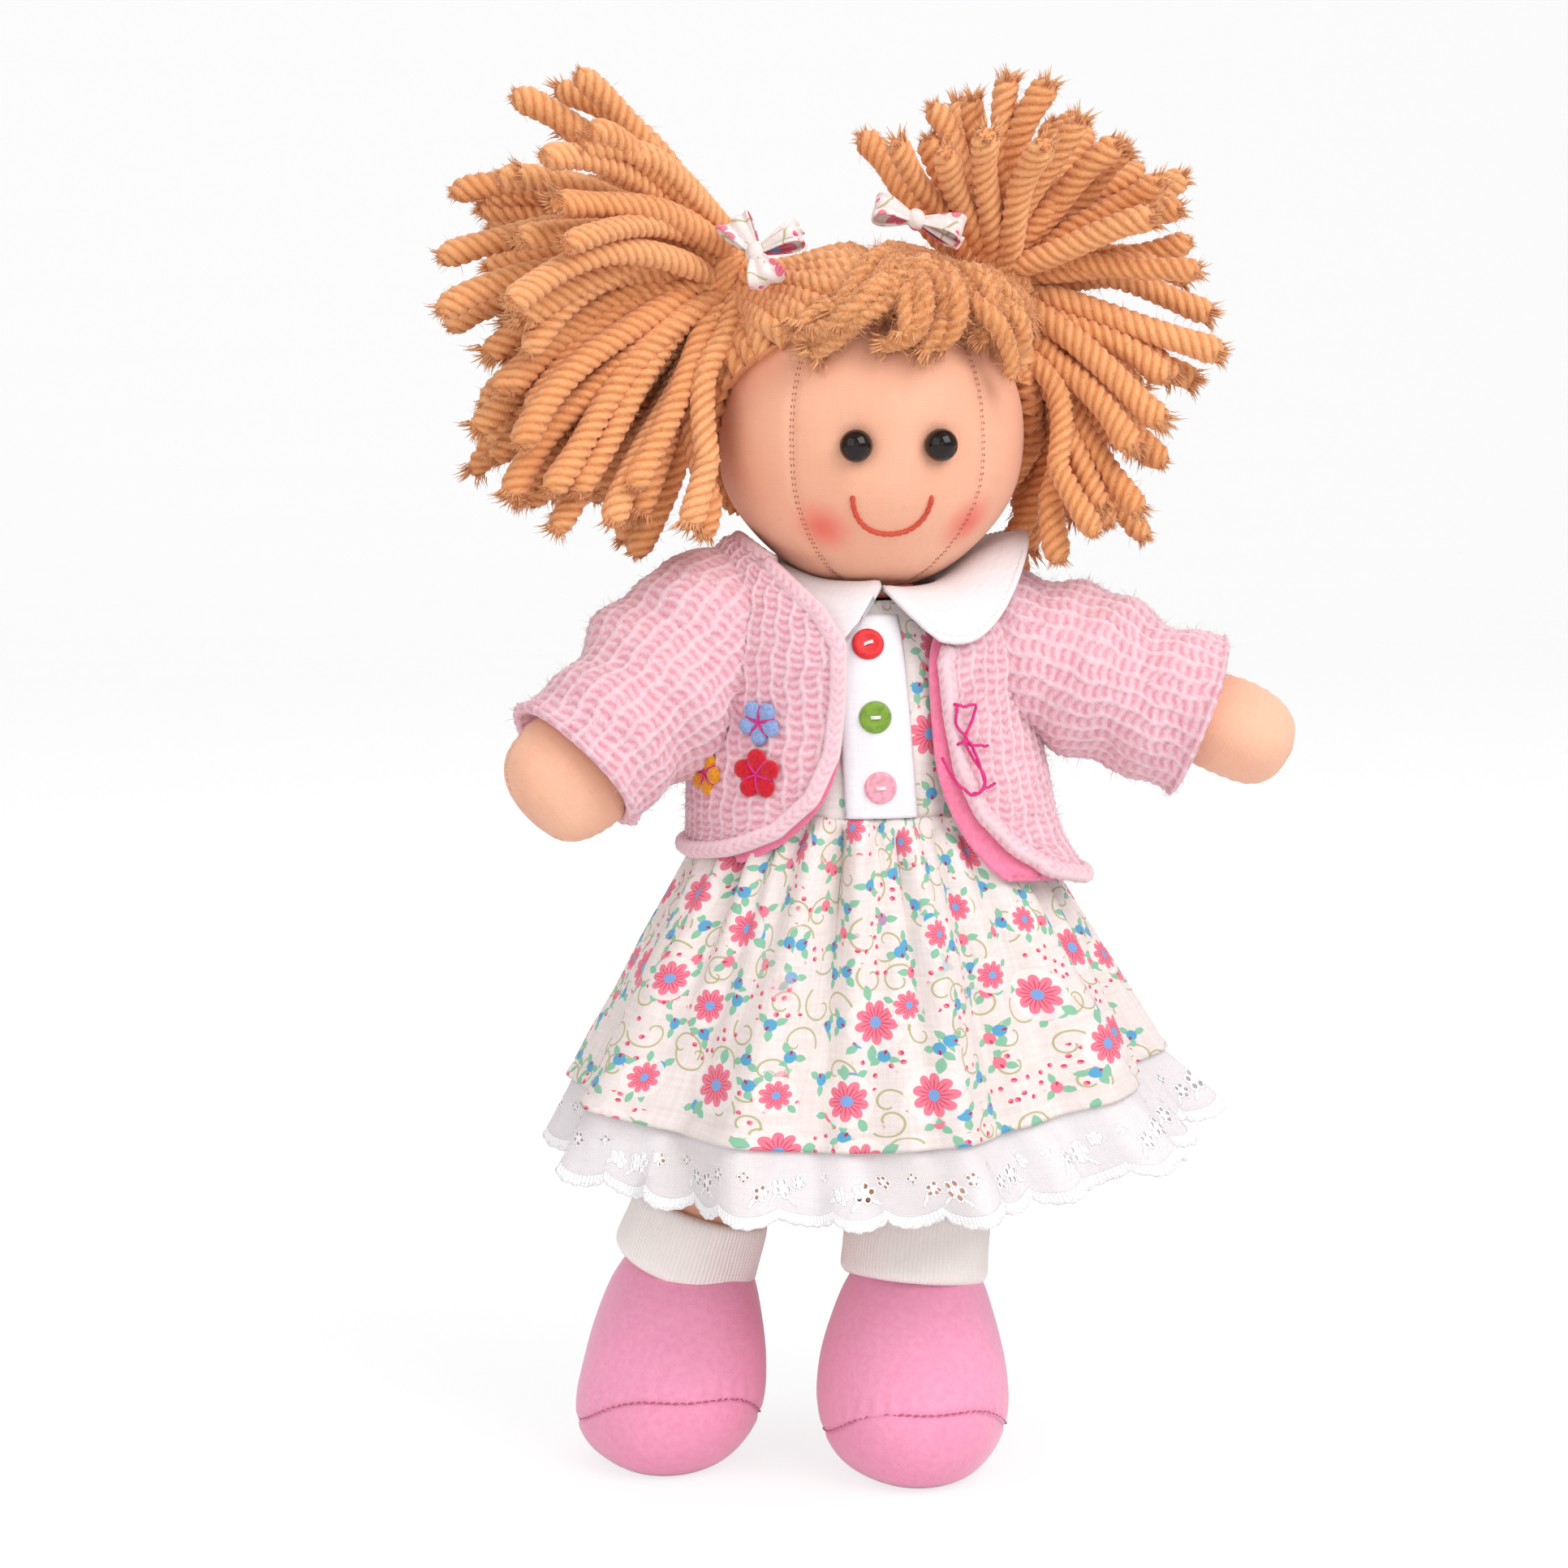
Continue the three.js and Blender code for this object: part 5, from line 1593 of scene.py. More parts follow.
@dataclass
class Leg:
    """One stuffed leg with its turned sock cuff and padded shoe."""

    side: Side
    foot: tuple
    leg_radius: float = 12.5
    ankle_height: float = 43.0
    ankle_back: float = 6.0
    shoe_width: float = 40.0
    shoe_length: float = 48.0
    shoe_height: float = 43.0
    sole_cut: float = 0.5
    seam_toe: float = 19.0
    seam_heel: float = 5.0
    seam_depth: float = 0.42
    cuff_radius: float = 15.4
    cuff_height: float = 15.0
    cuff_bottom: float = 40.5
    cuff_thickness: float = 1.7
    hip_overlap: float = 11.5
    shares: tuple = ((0, 0.46, 0.48), (0.05, 0.68, 0.70), (0.12, 0.84, 0.85), (0.22, 0.955, 0.955), (0.34, 1, 1),
                     (0.46, 0.99, 0.975), (0.58, 0.955, 0.91), (0.72, 0.88, 0.8), (0.88, 0.76, 0.67), (1, 0.62, 0.54))
    leg_shares: tuple = ((0, 0.55, 0.55), (0.05, 0.86, 0.86), (0.12, 1, 1), (0.45, 1, 1), (0.8, 0.95, 0.95),
                         (1, 0.86, 0.86))
    cuff_shares: tuple = ((0, 0.93, 0.93), (0.07, 0.99, 0.99), (0.2, 1.01, 1.01), (0.6, 0.99, 0.99),
                          (0.88, 0.97, 0.97), (0.97, 0.93, 0.93), (1, 0.86, 0.86))

    def __post_init__(self) -> None:
        """Find the ankle from the foot and the hip from the frame."""
        self.hip = joint_place(f"leg_{self.side.word}_swing")
        self.ankle = np.array([self.foot[2], self.foot[1] + self.ankle_back, self.ankle_height])

    def shoe_point(self, turn: Points, high: Points) -> tuple[Points, Points]:
        """The shoe's cloth at a turn and a share of its height.

        Args:
            turn: The turn round the foot.
            high: The share of the shoe's height.

        Returns:
            The points and their outward directions.
        """
        table = profile_rows(self.shares, 120)
        wide = np.interp(high, table[:, 0], table[:, 1]) * self.shoe_width / 2
        deep = np.interp(high, table[:, 0], table[:, 2]) * self.shoe_length / 2
        x = self.foot[0] + (self.ankle[0] - self.foot[0]) * high + wide * np.cos(turn)
        y = self.foot[1] + (self.ankle[1] - self.foot[1]) * high + deep * np.sin(turn)
        z = -self.sole_cut + (self.shoe_height + self.sole_cut) * high
        return xyz(x, y, z), xyz(np.cos(turn), np.sin(turn), 0.0 * high)

    def seam_share(self, turn: Points) -> Points:
        """The share of the shoe's height at which the toe seam runs, round the foot."""
        toe = self.foot[1] - self.shoe_length / 2
        high = np.full_like(turn, 0.2)
        for _ in range(6):
            point, _ = self.shoe_point(turn, high)
            seam = self.seam_toe + (self.seam_heel - self.seam_toe) * (point[..., 1] - toe) / self.shoe_length
            seam = seam - 2.6 * np.abs(np.cos(turn)) ** 3 + 0.5 * np.sin(5 * turn)
            high = (seam + self.sole_cut) / (self.shoe_height + self.sole_cut)
        return high

    def shoe_panel(self, upper: bool) -> Points:
        """The grid of the shoe above or below its toe seam."""
        turn = turns(150)[None]
        seam = self.seam_share(turn)
        share = np.linspace(0, 1, 72 if upper else 26)[:, None]
        high = seam + (1 - seam) * share if upper else seam * share
        grid, out = self.shoe_point(turn, high)
        off = (high - seam) * self.shoe_height
        sink = self.seam_depth * np.exp(-(off / 0.9) ** 2)
        front = smooth(0.2, -0.9, np.sin(turn))
        pucker = 0.22 * np.sin(turn * 34) * np.exp(-((off - 2.2) / 2.6) ** 2) * front
        soft = 0.45 * ripple(grid, 19, 3)
        grid = grid + out * (soft + pucker - sink)[..., None]
        grid[..., 2] = np.maximum(grid[..., 2], 0.15)
        return grid

    def build(self, skin: Material, sock: Material, shoe: Material, sole: Material, thread: Material,
              sewing: Sewing) -> None:
        """Make the leg, its cuff, the shoe's upper and sole, and the seam's stitches.

        Args:
            skin: The leg's cotton.
            sock: The cuff's rib.
            shoe: The upper's cloth.
            sole: The lower panel's cloth, a little darker than the upper's as painted shade.
            thread: The seam's thread.
            sewing: The maker of stitches.
        """
        body = f"leg_{self.side.word}"
        top = self.hip + unit(self.hip - self.ankle) * self.hip_overlap
        grid, out, _ = limb_grid(top, self.ankle, self.leg_shares, (self.leg_radius,) * 2, 64, 64)
        leg = stuffed(f"leg_cloth_{self.side.word}", grid + out * (0.3 * ripple(grid, 15, 9))[..., None], skin)
        place_piece(leg, body, "skin_cotton", body)
        for part, cloth_finish, node in (("upper", shoe, "shoe"), ("sole", sole, "sole")):
            panel = stuffed(f"shoe_{part}_{self.side.word}", self.shoe_panel(part == "upper"), cloth_finish)
            place_piece(panel, body, "shoe_cotton", f"{node}_{self.side.word}")
        self.stitches(thread, body, sewing)
        self.cuff(sock, body)

    def stitches(self, thread: Material, body: str, sewing: Sewing) -> None:
        """Sew the toe seam with short stitches along it."""
        turn = -math.pi / 2 + np.linspace(-1.75, 1.75, 120)
        point, out = self.shoe_point(turn, self.seam_share(turn) + 0.006)
        seam = sewing.stitch(f"toe_seam_{self.side.word}", [point + out * -0.1], thread, pitch=1.6, length=1.3,
                             radius=0.17, sway=0.3)
        place_piece(seam, body, "shoe_cotton")

    def cuff(self, sock: Material, body: str) -> None:
        """Turn the sock down over itself: a soft band with a rolled upper edge."""
        along = unit(self.hip - self.ankle)
        low = self.ankle + along * (self.cuff_bottom - self.ankle_height) / along[2]
        high = low + along * self.cuff_height
        rows = 36
        grid, out, turn = limb_grid(low, high, self.cuff_shares, (self.cuff_radius,) * 2, rows, 120)
        wave = 0.35 * np.sin(turn * 3 + 1.0) * np.linspace(1, 0, rows)[:, None] + 0.3 * ripple(grid, 14, 4)
        grid = grid + out * wave[..., None]
        cuff = cloth(f"sock_cuff_{self.side.word}", grid, self.cuff_thickness, True, sock)
        place_piece(cuff, body, "sock_rib", f"cuff_{self.side.word}")
        cut_flat(cuff, grid, True)


# Dress

def print_group(weave: Tree) -> Tree:
    """A scattered print of daisies, buds with leaves, curling stems and dots on white cotton.

    Args:
        weave: The plain weave group.

    Returns:
        A group from a place on the cloth to its colour and height.
    """
    build, given, out = new_group("scattered_print", {"Place": "Vector", "Pitch": "Float"},
                                  {"Color": "Color", "Height": "Float"})
    thread = build.group(weave, Place=given["Place"], Pitch=given["Pitch"])
    white, cream = colour(236, 226, 223), colour(224, 210, 206)
    pink, rose, deep = colour(230, 120, 142), colour(208, 52, 92), colour(172, 34, 72)
    blue, pale = colour(84, 160, 200), colour(118, 160, 214)
    green, olive = colour(134, 188, 158), colour(168, 164, 104)
    tone = build.blend(build.span(thread["Slub"], 0.4, 0.62), cream, white)

    def cells(pitch: float, offset: tuple[float, float, float], loose: float) -> tuple[Value, Value, Value, Value]:
        """Scattered motif places.

        Args:
            pitch: The mean distance between motifs in millimetres.
            offset: A shift of the pattern.
            loose: How freely motifs scatter.

        Returns:
            The distance from the motif's middle in millimetres, the turn round it, a chance value and a second one.
        """
        moved = build.vector("ADD", given["Place"], offset)
        scaled = build.vector("MULTIPLY", moved, (1 / (pitch * METRE),) * 3)
        place = build.add("ShaderNodeTexVoronoi", {"Scale": 1.0, "Randomness": loose, "Vector": scaled},
                          voronoi_dimensions="2D", feature="F1")
        off = build.vector("SUBTRACT", scaled, place.outputs["Position"])
        x, y, _ = build.parts(off)
        turn = build.sum("ARCTAN2", y, x)
        chance = build.parts(place.outputs["Color"])
        turned = turn + chance[0] * FULL_TURN
        flat = build.vector("LENGTH", build.joined(x, y))
        return (flat * pitch, turned, chance[1], chance[2])

    def leaf(far: Value, turn: Value, aim: float, start: float, end: float, width: float) -> Value:
        """A leaf that points away from a motif's middle.

        Args:
            far: The distance from the middle.
            turn: The turn round the middle.
            aim: The leaf's own turn.
            start: Where the leaf starts, in millimetres.
            end: Where it ends.
            width: Its half width.

        Returns:
            Its mask.
        """
        off = turn - aim
        along = far * build.cosine(off)
        across = abs(far * build.sine(off))
        middle, half = (start + end) / 2, (end - start) / 2
        share = (along - middle) / half
        room = 1.0 - share * share
        return build.span(room * width - across, -0.05, 0.18)

    for offset in ((0.023, 0.051, 0.0), (0.007, 0.019, 0.0)):
        far, turn, chance, second = cells(12.5, offset, 0.95)
        wound = build.sum("WRAP", turn, math.pi, -math.pi)
        spiral = 2.1 + wound * build.span(second, 0.2, 0.8, 0.4, 0.75)
        line = build.span(abs(far - spiral), 0.3, 0.14)
        line = line * build.span(wound, -2.9, -2.6)
        tone = build.blend(line * 0.8, tone, olive)

    cluster = build.noise(build.vector("ADD", given["Place"], (0.4, 0.2, 0.0)), 95.0, 1.0)
    far, turn, chance, second = cells(2.5, (0.031, 0.012, 0.0), 0.8)
    shown = build.span(cluster, 0.55, 0.57) * build.span(chance, 0.2, 0.22)
    curl = 0.5 + build.cosine(turn) * 0.22
    dot = build.span(curl - far, -0.04, 0.1) * shown
    side = build.span(far * build.cosine(turn), 0.15, 0.3)
    tone = build.blend(dot, tone, build.blend(side, pink, rose))

    far, turn, chance, second = cells(7.2, (0.017, 0.043, 0.0), 0.9)
    shown = build.span(chance, 0.22, 0.24)
    for aim in (0.5, 2.7, -1.5):
        mask = leaf(far, turn, aim, 0.6, 3.4, 0.8) * shown
        tone = build.blend(mask, tone, green)
    berry = build.span(far, 1.35, 1.1) * shown
    bud = build.blend(build.span(second, 0.66, 0.68), blue, pink)
    tone = build.blend(berry, tone, bud)
    crown = leaf(far, turn, 1.1, 0.2, 1.5, 0.35) * shown
    tone = build.blend(crown, tone, build.blend(build.span(second, 0.66, 0.68), deep, rose))

    far, turn, chance, second = cells(16.5, (0.0, 0.0, 0.0), 0.7)
    shown = build.span(chance, 0.12, 0.14)
    lobe = abs(build.cosine(turn * 4.5)) ** 0.45
    size = build.span(second, 0.1, 0.9, 0.8, 1.22)
    far = far / size
    reach = 2.1 + lobe * 1.65
    petals = build.span(reach - far, -0.05, 0.15) * shown
    under = build.span(far, 4.9, 4.6) * shown
    clear = build.blend(under * 0.85, tone, white)
    tone = build.blend(petals, clear, pink)
    for aim in (0.9, 3.6):
        mask = leaf(far, turn, aim, 3.6, 6.6, 0.9) * shown
        tone = build.blend(mask, tone, green)
    wedge = abs(build.sine(turn * 4.5))
    thin = build.span(wedge * far, 0.75, 0.35)
    heart = abs(build.cosine(turn * 4.5))
    stroke = build.span(heart, 0.4, 0.1) * build.span(far, 3.1, 2.4)
    ray = build.most(thin * build.span(far, 3.4, 2.0), stroke)
    tone = build.blend(ray * petals * 0.85, tone, rose)
    tone = build.blend(build.span(far, 1.1, 0.85) * shown, tone, pale)
    # Painted shade: the weave's hollows, between the threads, turn cream.
    worn = build.blend(build.span(thread["Height"], 0.5, 0.15) * 0.12, tone, cream)
    build.put(out["Color"], worn)
    build.put(out["Height"], thread["Height"])
    return build.tree


@dataclass(frozen=True)
class CottonFinish:
    """Smooth dress cotton, plain or printed."""

    name: str
    thread_pitch: float
    roughness: float
    sheen: float
    depth: tuple
    base: tuple = colour(238, 236, 240)
    shade: tuple = colour(228, 224, 228)

    def make(self, cloth_group: Tree) -> Material:
        """Build the material from the print group or the weave group."""
        finish = Finish(self.name, self.roughness)
        thread = finish.woven(cloth_group, self.thread_pitch)
        if "Color" in thread:
            finish.tint(thread["Color"])
        else:
            finish.dye(thread["Slub"], 0.35, 0.62, self.shade, self.base)
        finish.nap(self.sheen)
        finish.bump(thread["Height"], *self.depth)
        return finish.material


@dataclass(frozen=True)
class EyeletFinish:
    """Sheer white cotton with pierced flowers and a satin-stitched edge."""

    scallop: float
    depth: float
    base: tuple = colour(254, 252, 253)
    cloth: tuple = colour(250, 244, 246)
    shade: tuple = colour(243, 236, 239)
    sheer: float = 0.68
    flowers: tuple = ((0.0, 6.4, 1.55, 5), (4.9, 5.8, 1.2, 5), (-4.6, 8.2, 1.05, 5), (8.6, 9.2, 0.8, 4))
    leaves: tuple = ((2.3, 0.8), (-2.1, -0.9), (7.0, 0.5))
    leaf_rise: float = 3.9

    def make(self, weave: Tree) -> Material:
        """Build the material: holes by alpha, raised embroidery round them and satin along the edge.

        Args:
            weave: The plain weave group.

        Returns:
            The material, which reads across and down from the cloth's UV map and its edge value.
        """
        finish = Finish("eyelet_cotton", 0.75)
        build = finish.build
        thread = finish.woven(weave, 0.4)
        x, y, _ = build.parts(finish.uv)
        across, down = x * (1 / METRE), y * (1 / METRE)
        edge = build.attribute("edge")
        solid = build.span(edge, 0.5, 0.56)
        hole, stitched = 0.0, 0.0
        pitch = self.scallop * 2
        for shift, high, size, petals in self.flowers:
            local = build.sum("WRAP", across + shift, pitch / 2, -pitch / 2)
            drop = down - (self.depth - high)
            far = build.vector("LENGTH", build.joined(local, drop))
            turn = build.sum("ARCTAN2", drop, local)
            off = build.sum("WRAP", turn, math.pi / petals, -math.pi / petals)
            ahead = far * build.cosine(off) - size
            aside = far * build.sine(off)
            near = build.vector("LENGTH", build.joined(ahead, aside))
            hole = build.most(hole, build.span(near, size * 0.42, size * 0.3))
            rim = build.most(build.span(near, size * 0.72, size * 0.62), build.span(far, size * 0.5, size * 0.4))
            stitched = build.most(stitched, rim)
        for shift, lean in self.leaves:
            local = build.sum("WRAP", across + shift, pitch / 2, -pitch / 2)
            drop = down - (self.depth - self.leaf_rise)
            aside = abs(local + drop * lean)
            blade = 0.5 - drop * drop * 0.28
            stitched = build.most(stitched, build.span(blade - aside, -0.05, 0.08))
        satin = build.most(stitched, solid)
        strands = build.sine(across * (FULL_TURN / 0.75))
        cover = build.most(satin, self.sheer + thread["Height"] * 0.1)
        build.put(finish.shader.inputs["Alpha"], cover * (1.0 - hole))
        tone = build.blend(build.span(thread["Slub"], 0.35, 0.62), self.shade, self.cloth)
        finish.tint(build.blend(satin, tone, self.base))
        finish.nap(0.2)
        finish.bump(satin * (0.7 + strands * 0.3) * 3.0 + thread["Height"], 0.12, 0.8)
        return finish.material


@dataclass
class Dress:
    """The print dress: bodice, placket with buttons, round collar, gathered skirt and eyelet frill."""

    middle_x: float = 0.56
    middle_y: float = 0.0
    chest: tuple = (27.0, 22.5)
    bottom: float = 103.0
    top: float = 184.0
    waist: float = 141.0
    hem: float = 76.0
    hem_rise: float = 8.0
    hem_roll: float = 2.6
    hem_half: tuple = (61.0, 44.0)
    fold_depth: float = 4.0
    fold_count: int = 9
    gather_count: int = 25
    pleats: tuple = ((-0.95, 2.6, 0.07), (-0.58, 3.0, 0.065), (-0.26, 3.4, 0.055), (0.1, 4.6, 0.05),
                     (0.36, 3.2, 0.055), (0.6, 3.0, 0.06), (0.95, 3.0, 0.07))
    cotton_thickness: float = 0.7
    lace_thickness: float = 0.35
    collar_thickness: float = 1.0
    bodice_ease: float = 1.5
    skirt_ease: float = 1.6
    skirt_spread: float = 0.92
    ruffle: tuple = (2.1, 0.9)
    bodice_columns: int = 176
    skirt_rows: int = 84
    skirt_columns: int = 560
    frill_columns: int = 912
    frill_drop: float = 15.0
    frill_flare: tuple = (8.0, 5.0)
    frill_shift: float = 3.5
    scallop_count: int = 38
    scallop_depth: float = 2.3
    placket_half: float = 6.9
    placket_lift: float = 2.3
    button_radius: float = 3.3
    button_lift: float = 2.2
    button_leans: dict = field(default_factory=lambda: {"red": 18, "green": 2, "pink": 2})
    button_rings: tuple = ((0.25, 0.0), (0.9, 0.05), (1.0, 0.35), (1.01, 0.85), (0.95, 1.35), (0.84, 1.62),
                           (0.66, 1.68), (0.5, 1.56), (0.3, 1.44), (0.1, 1.4))
    collar_inner: float = 12.8
    collar_top: float = 187.6
    shares: tuple = ((0, 0.5, 0.45), (0.06, 0.84, 0.76), (0.16, 0.97, 0.94), (0.35, 1, 1), (0.6, 0.99, 1),
                     (0.76, 0.97, 0.98), (0.86, 0.9, 0.92), (0.94, 0.76, 0.8), (1, 0.52, 0.62))

    def body_half(self, z: Points | float, grow: float) -> tuple[Points, Points]:
        """The stuffed body's half width and depth at a height, moved outward."""
        table = profile_rows(self.shares, 120)
        high = (np.asarray(z, float) - self.bottom) / (self.top - self.bottom)
        return (np.interp(high, table[:, 0], table[:, 1]) * self.chest[0] + grow,
                np.interp(high, table[:, 0], table[:, 2]) * self.chest[1] + grow)

    def on_body(self, turn: Points, z: Points, grow: float) -> Points:
        """Points on the body at a turn and a height."""
        wide, deep = self.body_half(z, grow)
        return xyz(self.middle_x + wide * np.cos(turn), self.middle_y + deep * np.sin(turn), z)

    def front_y(self, x: Points, z: Points, grow: float) -> Points:
        """The y of the body's front at a place seen from the front."""
        wide, deep = self.body_half(z, grow)
        share = np.clip((x - self.middle_x) / wide, -0.99, 0.99)
        return self.middle_y - deep * np.sqrt(1 - share ** 2)

    def torso(self, calico: Material) -> None:
        """Stuff the body and the neck under the dress."""
        turn = turns(72)[None]
        z = np.linspace(self.bottom, self.top, 60)[:, None]
        body = stuffed("body_cloth", self.on_body(turn, z, 0.0), calico)
        place_piece(body, "torso", "skin_cotton", "torso")
        rise = np.linspace(-math.pi / 2 + 0.05, math.pi / 2 - 0.05, 20)[:, None]
        turn = turns(44)[None]
        level = np.cos(rise) ** 0.4
        corner = 1 / (np.abs(np.cos(turn)) ** 4 + np.abs(np.sin(turn)) ** 4) ** 0.25
        shape = xyz(level * np.cos(turn) * corner, level * np.sin(turn) * corner, np.sin(rise))
        tabs = {f"hip_tab_{side.word}": "torso" for side in Side}
        tabs |= {f"shoulder_tab_{side.word}": f"shoulder_tab_{side.word}" for side in Side}
        for name, holder in (tabs | {"neck": "neck"}).items():
            low, high = node_box(name)
            pad = stuffed(f"{name}_cloth", (low + high) / 2 + (high - low) * 0.45 * shape, calico)
            place_piece(pad, holder, "skin_cotton", name)

    def bodice(self, cotton: Material) -> None:
        """Sew the bodice round the body, with soft creases at the waist."""
        turn = turns(self.bodice_columns, math.pi / 2)[None]
        z = np.linspace(self.waist - 1.5, self.top + 1.0, 50)[:, None]
        grid = self.on_body(turn, z, self.bodice_ease)
        crease = 0.3 * np.sin(turn * self.gather_count) * smooth(14, 0, z - self.waist) + 0.2 * ripple(grid, 12, 2)
        out = level_out(grid, self.middle_x, self.middle_y)
        grid = grid + out * crease[..., None]
        bodice = cloth("bodice_cloth", grid, self.cotton_thickness, True, cotton)
        place_piece(bodice, "torso", "print_cotton", "bodice")
        cut_flat(bodice, grid, True)

    def skirt_grid(self, columns: int) -> Points:
        """The skirt's shown face, from the waist's gathers to the hem's folds."""
        turn = turns(columns, math.pi / 2)[None]
        share = np.linspace(0, 1, self.skirt_rows)[:, None]
        wide, deep = (chest + self.skirt_ease + (hem - chest - self.skirt_ease) * share ** self.skirt_spread
                      for chest, hem in zip(self.chest, self.hem_half))
        wander = 0.35 * np.sin(3 * turn) + 0.2 * np.sin(5 * turn)
        fold = self.fold_depth * share ** 0.8 * np.cos(self.fold_count * turn + 1.2 * wander)
        gather = np.sin(self.gather_count * turn + 4 * wander)
        fold = fold + (1.35 * np.exp(-share / 0.34) * smooth(0, 0.05, share) + 0.3 * (1 - share)) * gather
        for place, deep_in, width in self.pleats:
            off = (turn - 1.5 * math.pi - place * (1 + 0.12 * share)) / width
            fold = fold - deep_in * np.exp(-off ** 2) * np.exp(-share * 0.9) * smooth(0.0, 0.08, share)
            fold = fold + 0.45 * deep_in * np.exp(-(off - 2.1) ** 2) * smooth(0.0, 0.1, share)
        drop = self.hem + self.hem_rise * np.cos(turn) ** 2 + self.hem_roll * np.cos(turn)
        z = self.waist + (drop - self.waist) * share + 0.16 * fold * share ** 3
        return xyz(self.middle_x + (wide + fold) * np.cos(turn), self.middle_y + (deep + fold) * np.sin(turn), z)

    def skirt(self, cotton: Material) -> None:
        """Gather the skirt at the waist and turn its hem up."""
        grid = self.skirt_grid(self.skirt_columns)
        out = level_out(grid, self.middle_x, self.middle_y)
        rows = np.linspace(0, 1, self.skirt_rows)[:, None]
        hem_line = -0.35 * np.exp(-((rows - 0.955) / 0.008) ** 2) + 0.25 * smooth(0.96, 0.975, rows)
        grid = grid + out * (hem_line + 0.45 * ripple(grid, 26, 8) * rows)[..., None]
        skirt = cloth("skirt_cloth", grid, self.cotton_thickness, True, cotton)
        place_piece(skirt, "torso", "print_cotton", "skirt")
        cut_flat(skirt, grid, True)

    def frill(self, lace: Material) -> None:
        """Hang the frill from the hem, with ruffles and a scalloped edge."""
        hem = self.skirt_grid(self.frill_columns)[-1]
        turn = turns(self.frill_columns, math.pi / 2)
        share = np.linspace(-0.12, 1, 32)[:, None]
        free = np.clip(share, 0, 1)
        ruffle = self.ruffle[0] * free * np.cos(2 * self.fold_count * turn)
        ruffle = ruffle + self.ruffle[1] * free * np.sin(31 * turn + 1.3)
        x = hem[:, 0] + (self.frill_flare[0] * free + ruffle - 1.0) * np.cos(turn) + self.frill_shift * free
        y = hem[:, 1] + (self.frill_flare[1] * free + ruffle - 1.0) * np.sin(turn)
        arch = np.abs(np.sin(turn * self.scallop_count / 2))
        drop = (self.frill_drop - self.scallop_depth * (1 - arch ** 0.7)) * share
        grid = xyz(x, y, hem[:, 2] - drop)
        edge = smooth(0.82, 0.9, share) * np.ones_like(turn)[None]
        frill = cloth("eyelet_frill", grid, self.lace_thickness, True, lace, edge=edge)
        place_piece(frill, "torso", "eyelet", "frill")
        cut_flat(frill, grid, True)
        line = grid[-1] + np.array([0, 0, 0.15])
        satin = DyedFinish("satin_thread", colour(250, 248, 249), 0.45).make()
        wobble = 0.5 + 0.16 * np.sin(np.arange(self.frill_columns) * FULL_TURN / 5)
        cord = tube("satin_edge", line, wobble, satin, around=6, closed=True)
        place_piece(cord, "torso", "eyelet")

    def placket(self, white: Material, thread: Material, buttons: dict[str, Material], sewing: Sewing) -> None:
        """Sew the placket down the bodice and its three buttons on it.

        Args:
            white: The plain white cotton.
            thread: The white sewing thread.
            buttons: Each button's finish by its colour.
            sewing: The maker of stitches.
        """
        low, high = node_box("placket")
        z = np.linspace(high[2], low[2], 60)[:, None]
        down = (high[2] - z) / (high[2] - low[2])
        middle = (low[0] + self.placket_half) + (high[0] - low[0] - 2 * self.placket_half) * down
        s = np.linspace(-1, 1, 34)[None]
        x = middle + self.placket_half * s
        lift = self.placket_lift - 0.7 * smooth(0.9, 1.0, np.abs(s))
        dent = -0.2 * np.exp(-((np.abs(s) - 0.86) / 0.03) ** 2)
        y = self.front_y(x, np.broadcast_to(z, x.shape), 0.0) - lift - dent
        grid = xyz(x, y, z)
        grid[..., 1] -= 0.15 * ripple(grid, 10, 6)
        strip = cloth("placket_strip", grid, self.cotton_thickness, False, white)
        place_piece(strip, "torso", "white_cotton", "placket")
        cut_flat(strip, grid, False)
        edges = [grid[:, column] + [0, -0.1, 0] for column in (2, 31)]
        self.top_stitches("placket_stitches", edges, thread, sewing)
        for name, material in buttons.items():
            self.button(name, material, thread)

    def button(self, name: str, material: Material, thread: Material) -> None:
        """Make one round button, dished in the middle, and sew it with a pair of long stitches.

        Args:
            name: The button's colour.
            material: Its finish.
            thread: The white sewing thread.
        """
        low, high = node_box(f"button_{name}")
        x, z = (low[0] + high[0]) / 2, (low[2] + high[2]) / 2
        base, above = (np.array([x, self.front_y(x, high, self.button_lift), high]) for high in (z, z + 2))
        up = unit(above - base)
        out = unit(np.cross([1.0, 0, 0], up))
        out = out if out[1] < 0 else -out
        table = curve_through(self.button_rings, 30)
        turn = turns(48)
        ring = np.cos(turn)[:, None] * np.array([1.0, 0, 0]) + np.sin(turn)[:, None] * up
        grid = base + table[:, :1, None] * self.button_radius * ring[None] + table[:, 1][:, None, None] * out
        piece = stuffed(f"shirt_button_{name}", grid, material)
        place_piece(piece, "torso", f"button_{name}", f"button_{name}")
        lean = math.radians(self.button_leans[name])
        way = np.array([math.cos(lean), 0, 0]) + up * math.sin(lean)
        s = np.linspace(-1, 1, 13)[:, None]
        for k in (-1, 1):
            line = base + out * (1.75 - 1.6 * np.abs(s) ** 5) + way * s * 1.25 + up * k * 0.17
            stitch = tube(f"button_stitch_{name}_{'low' if k < 0 else 'high'}", line, 0.2, thread, around=6)
            place_piece(stitch, "torso", "white_cotton")

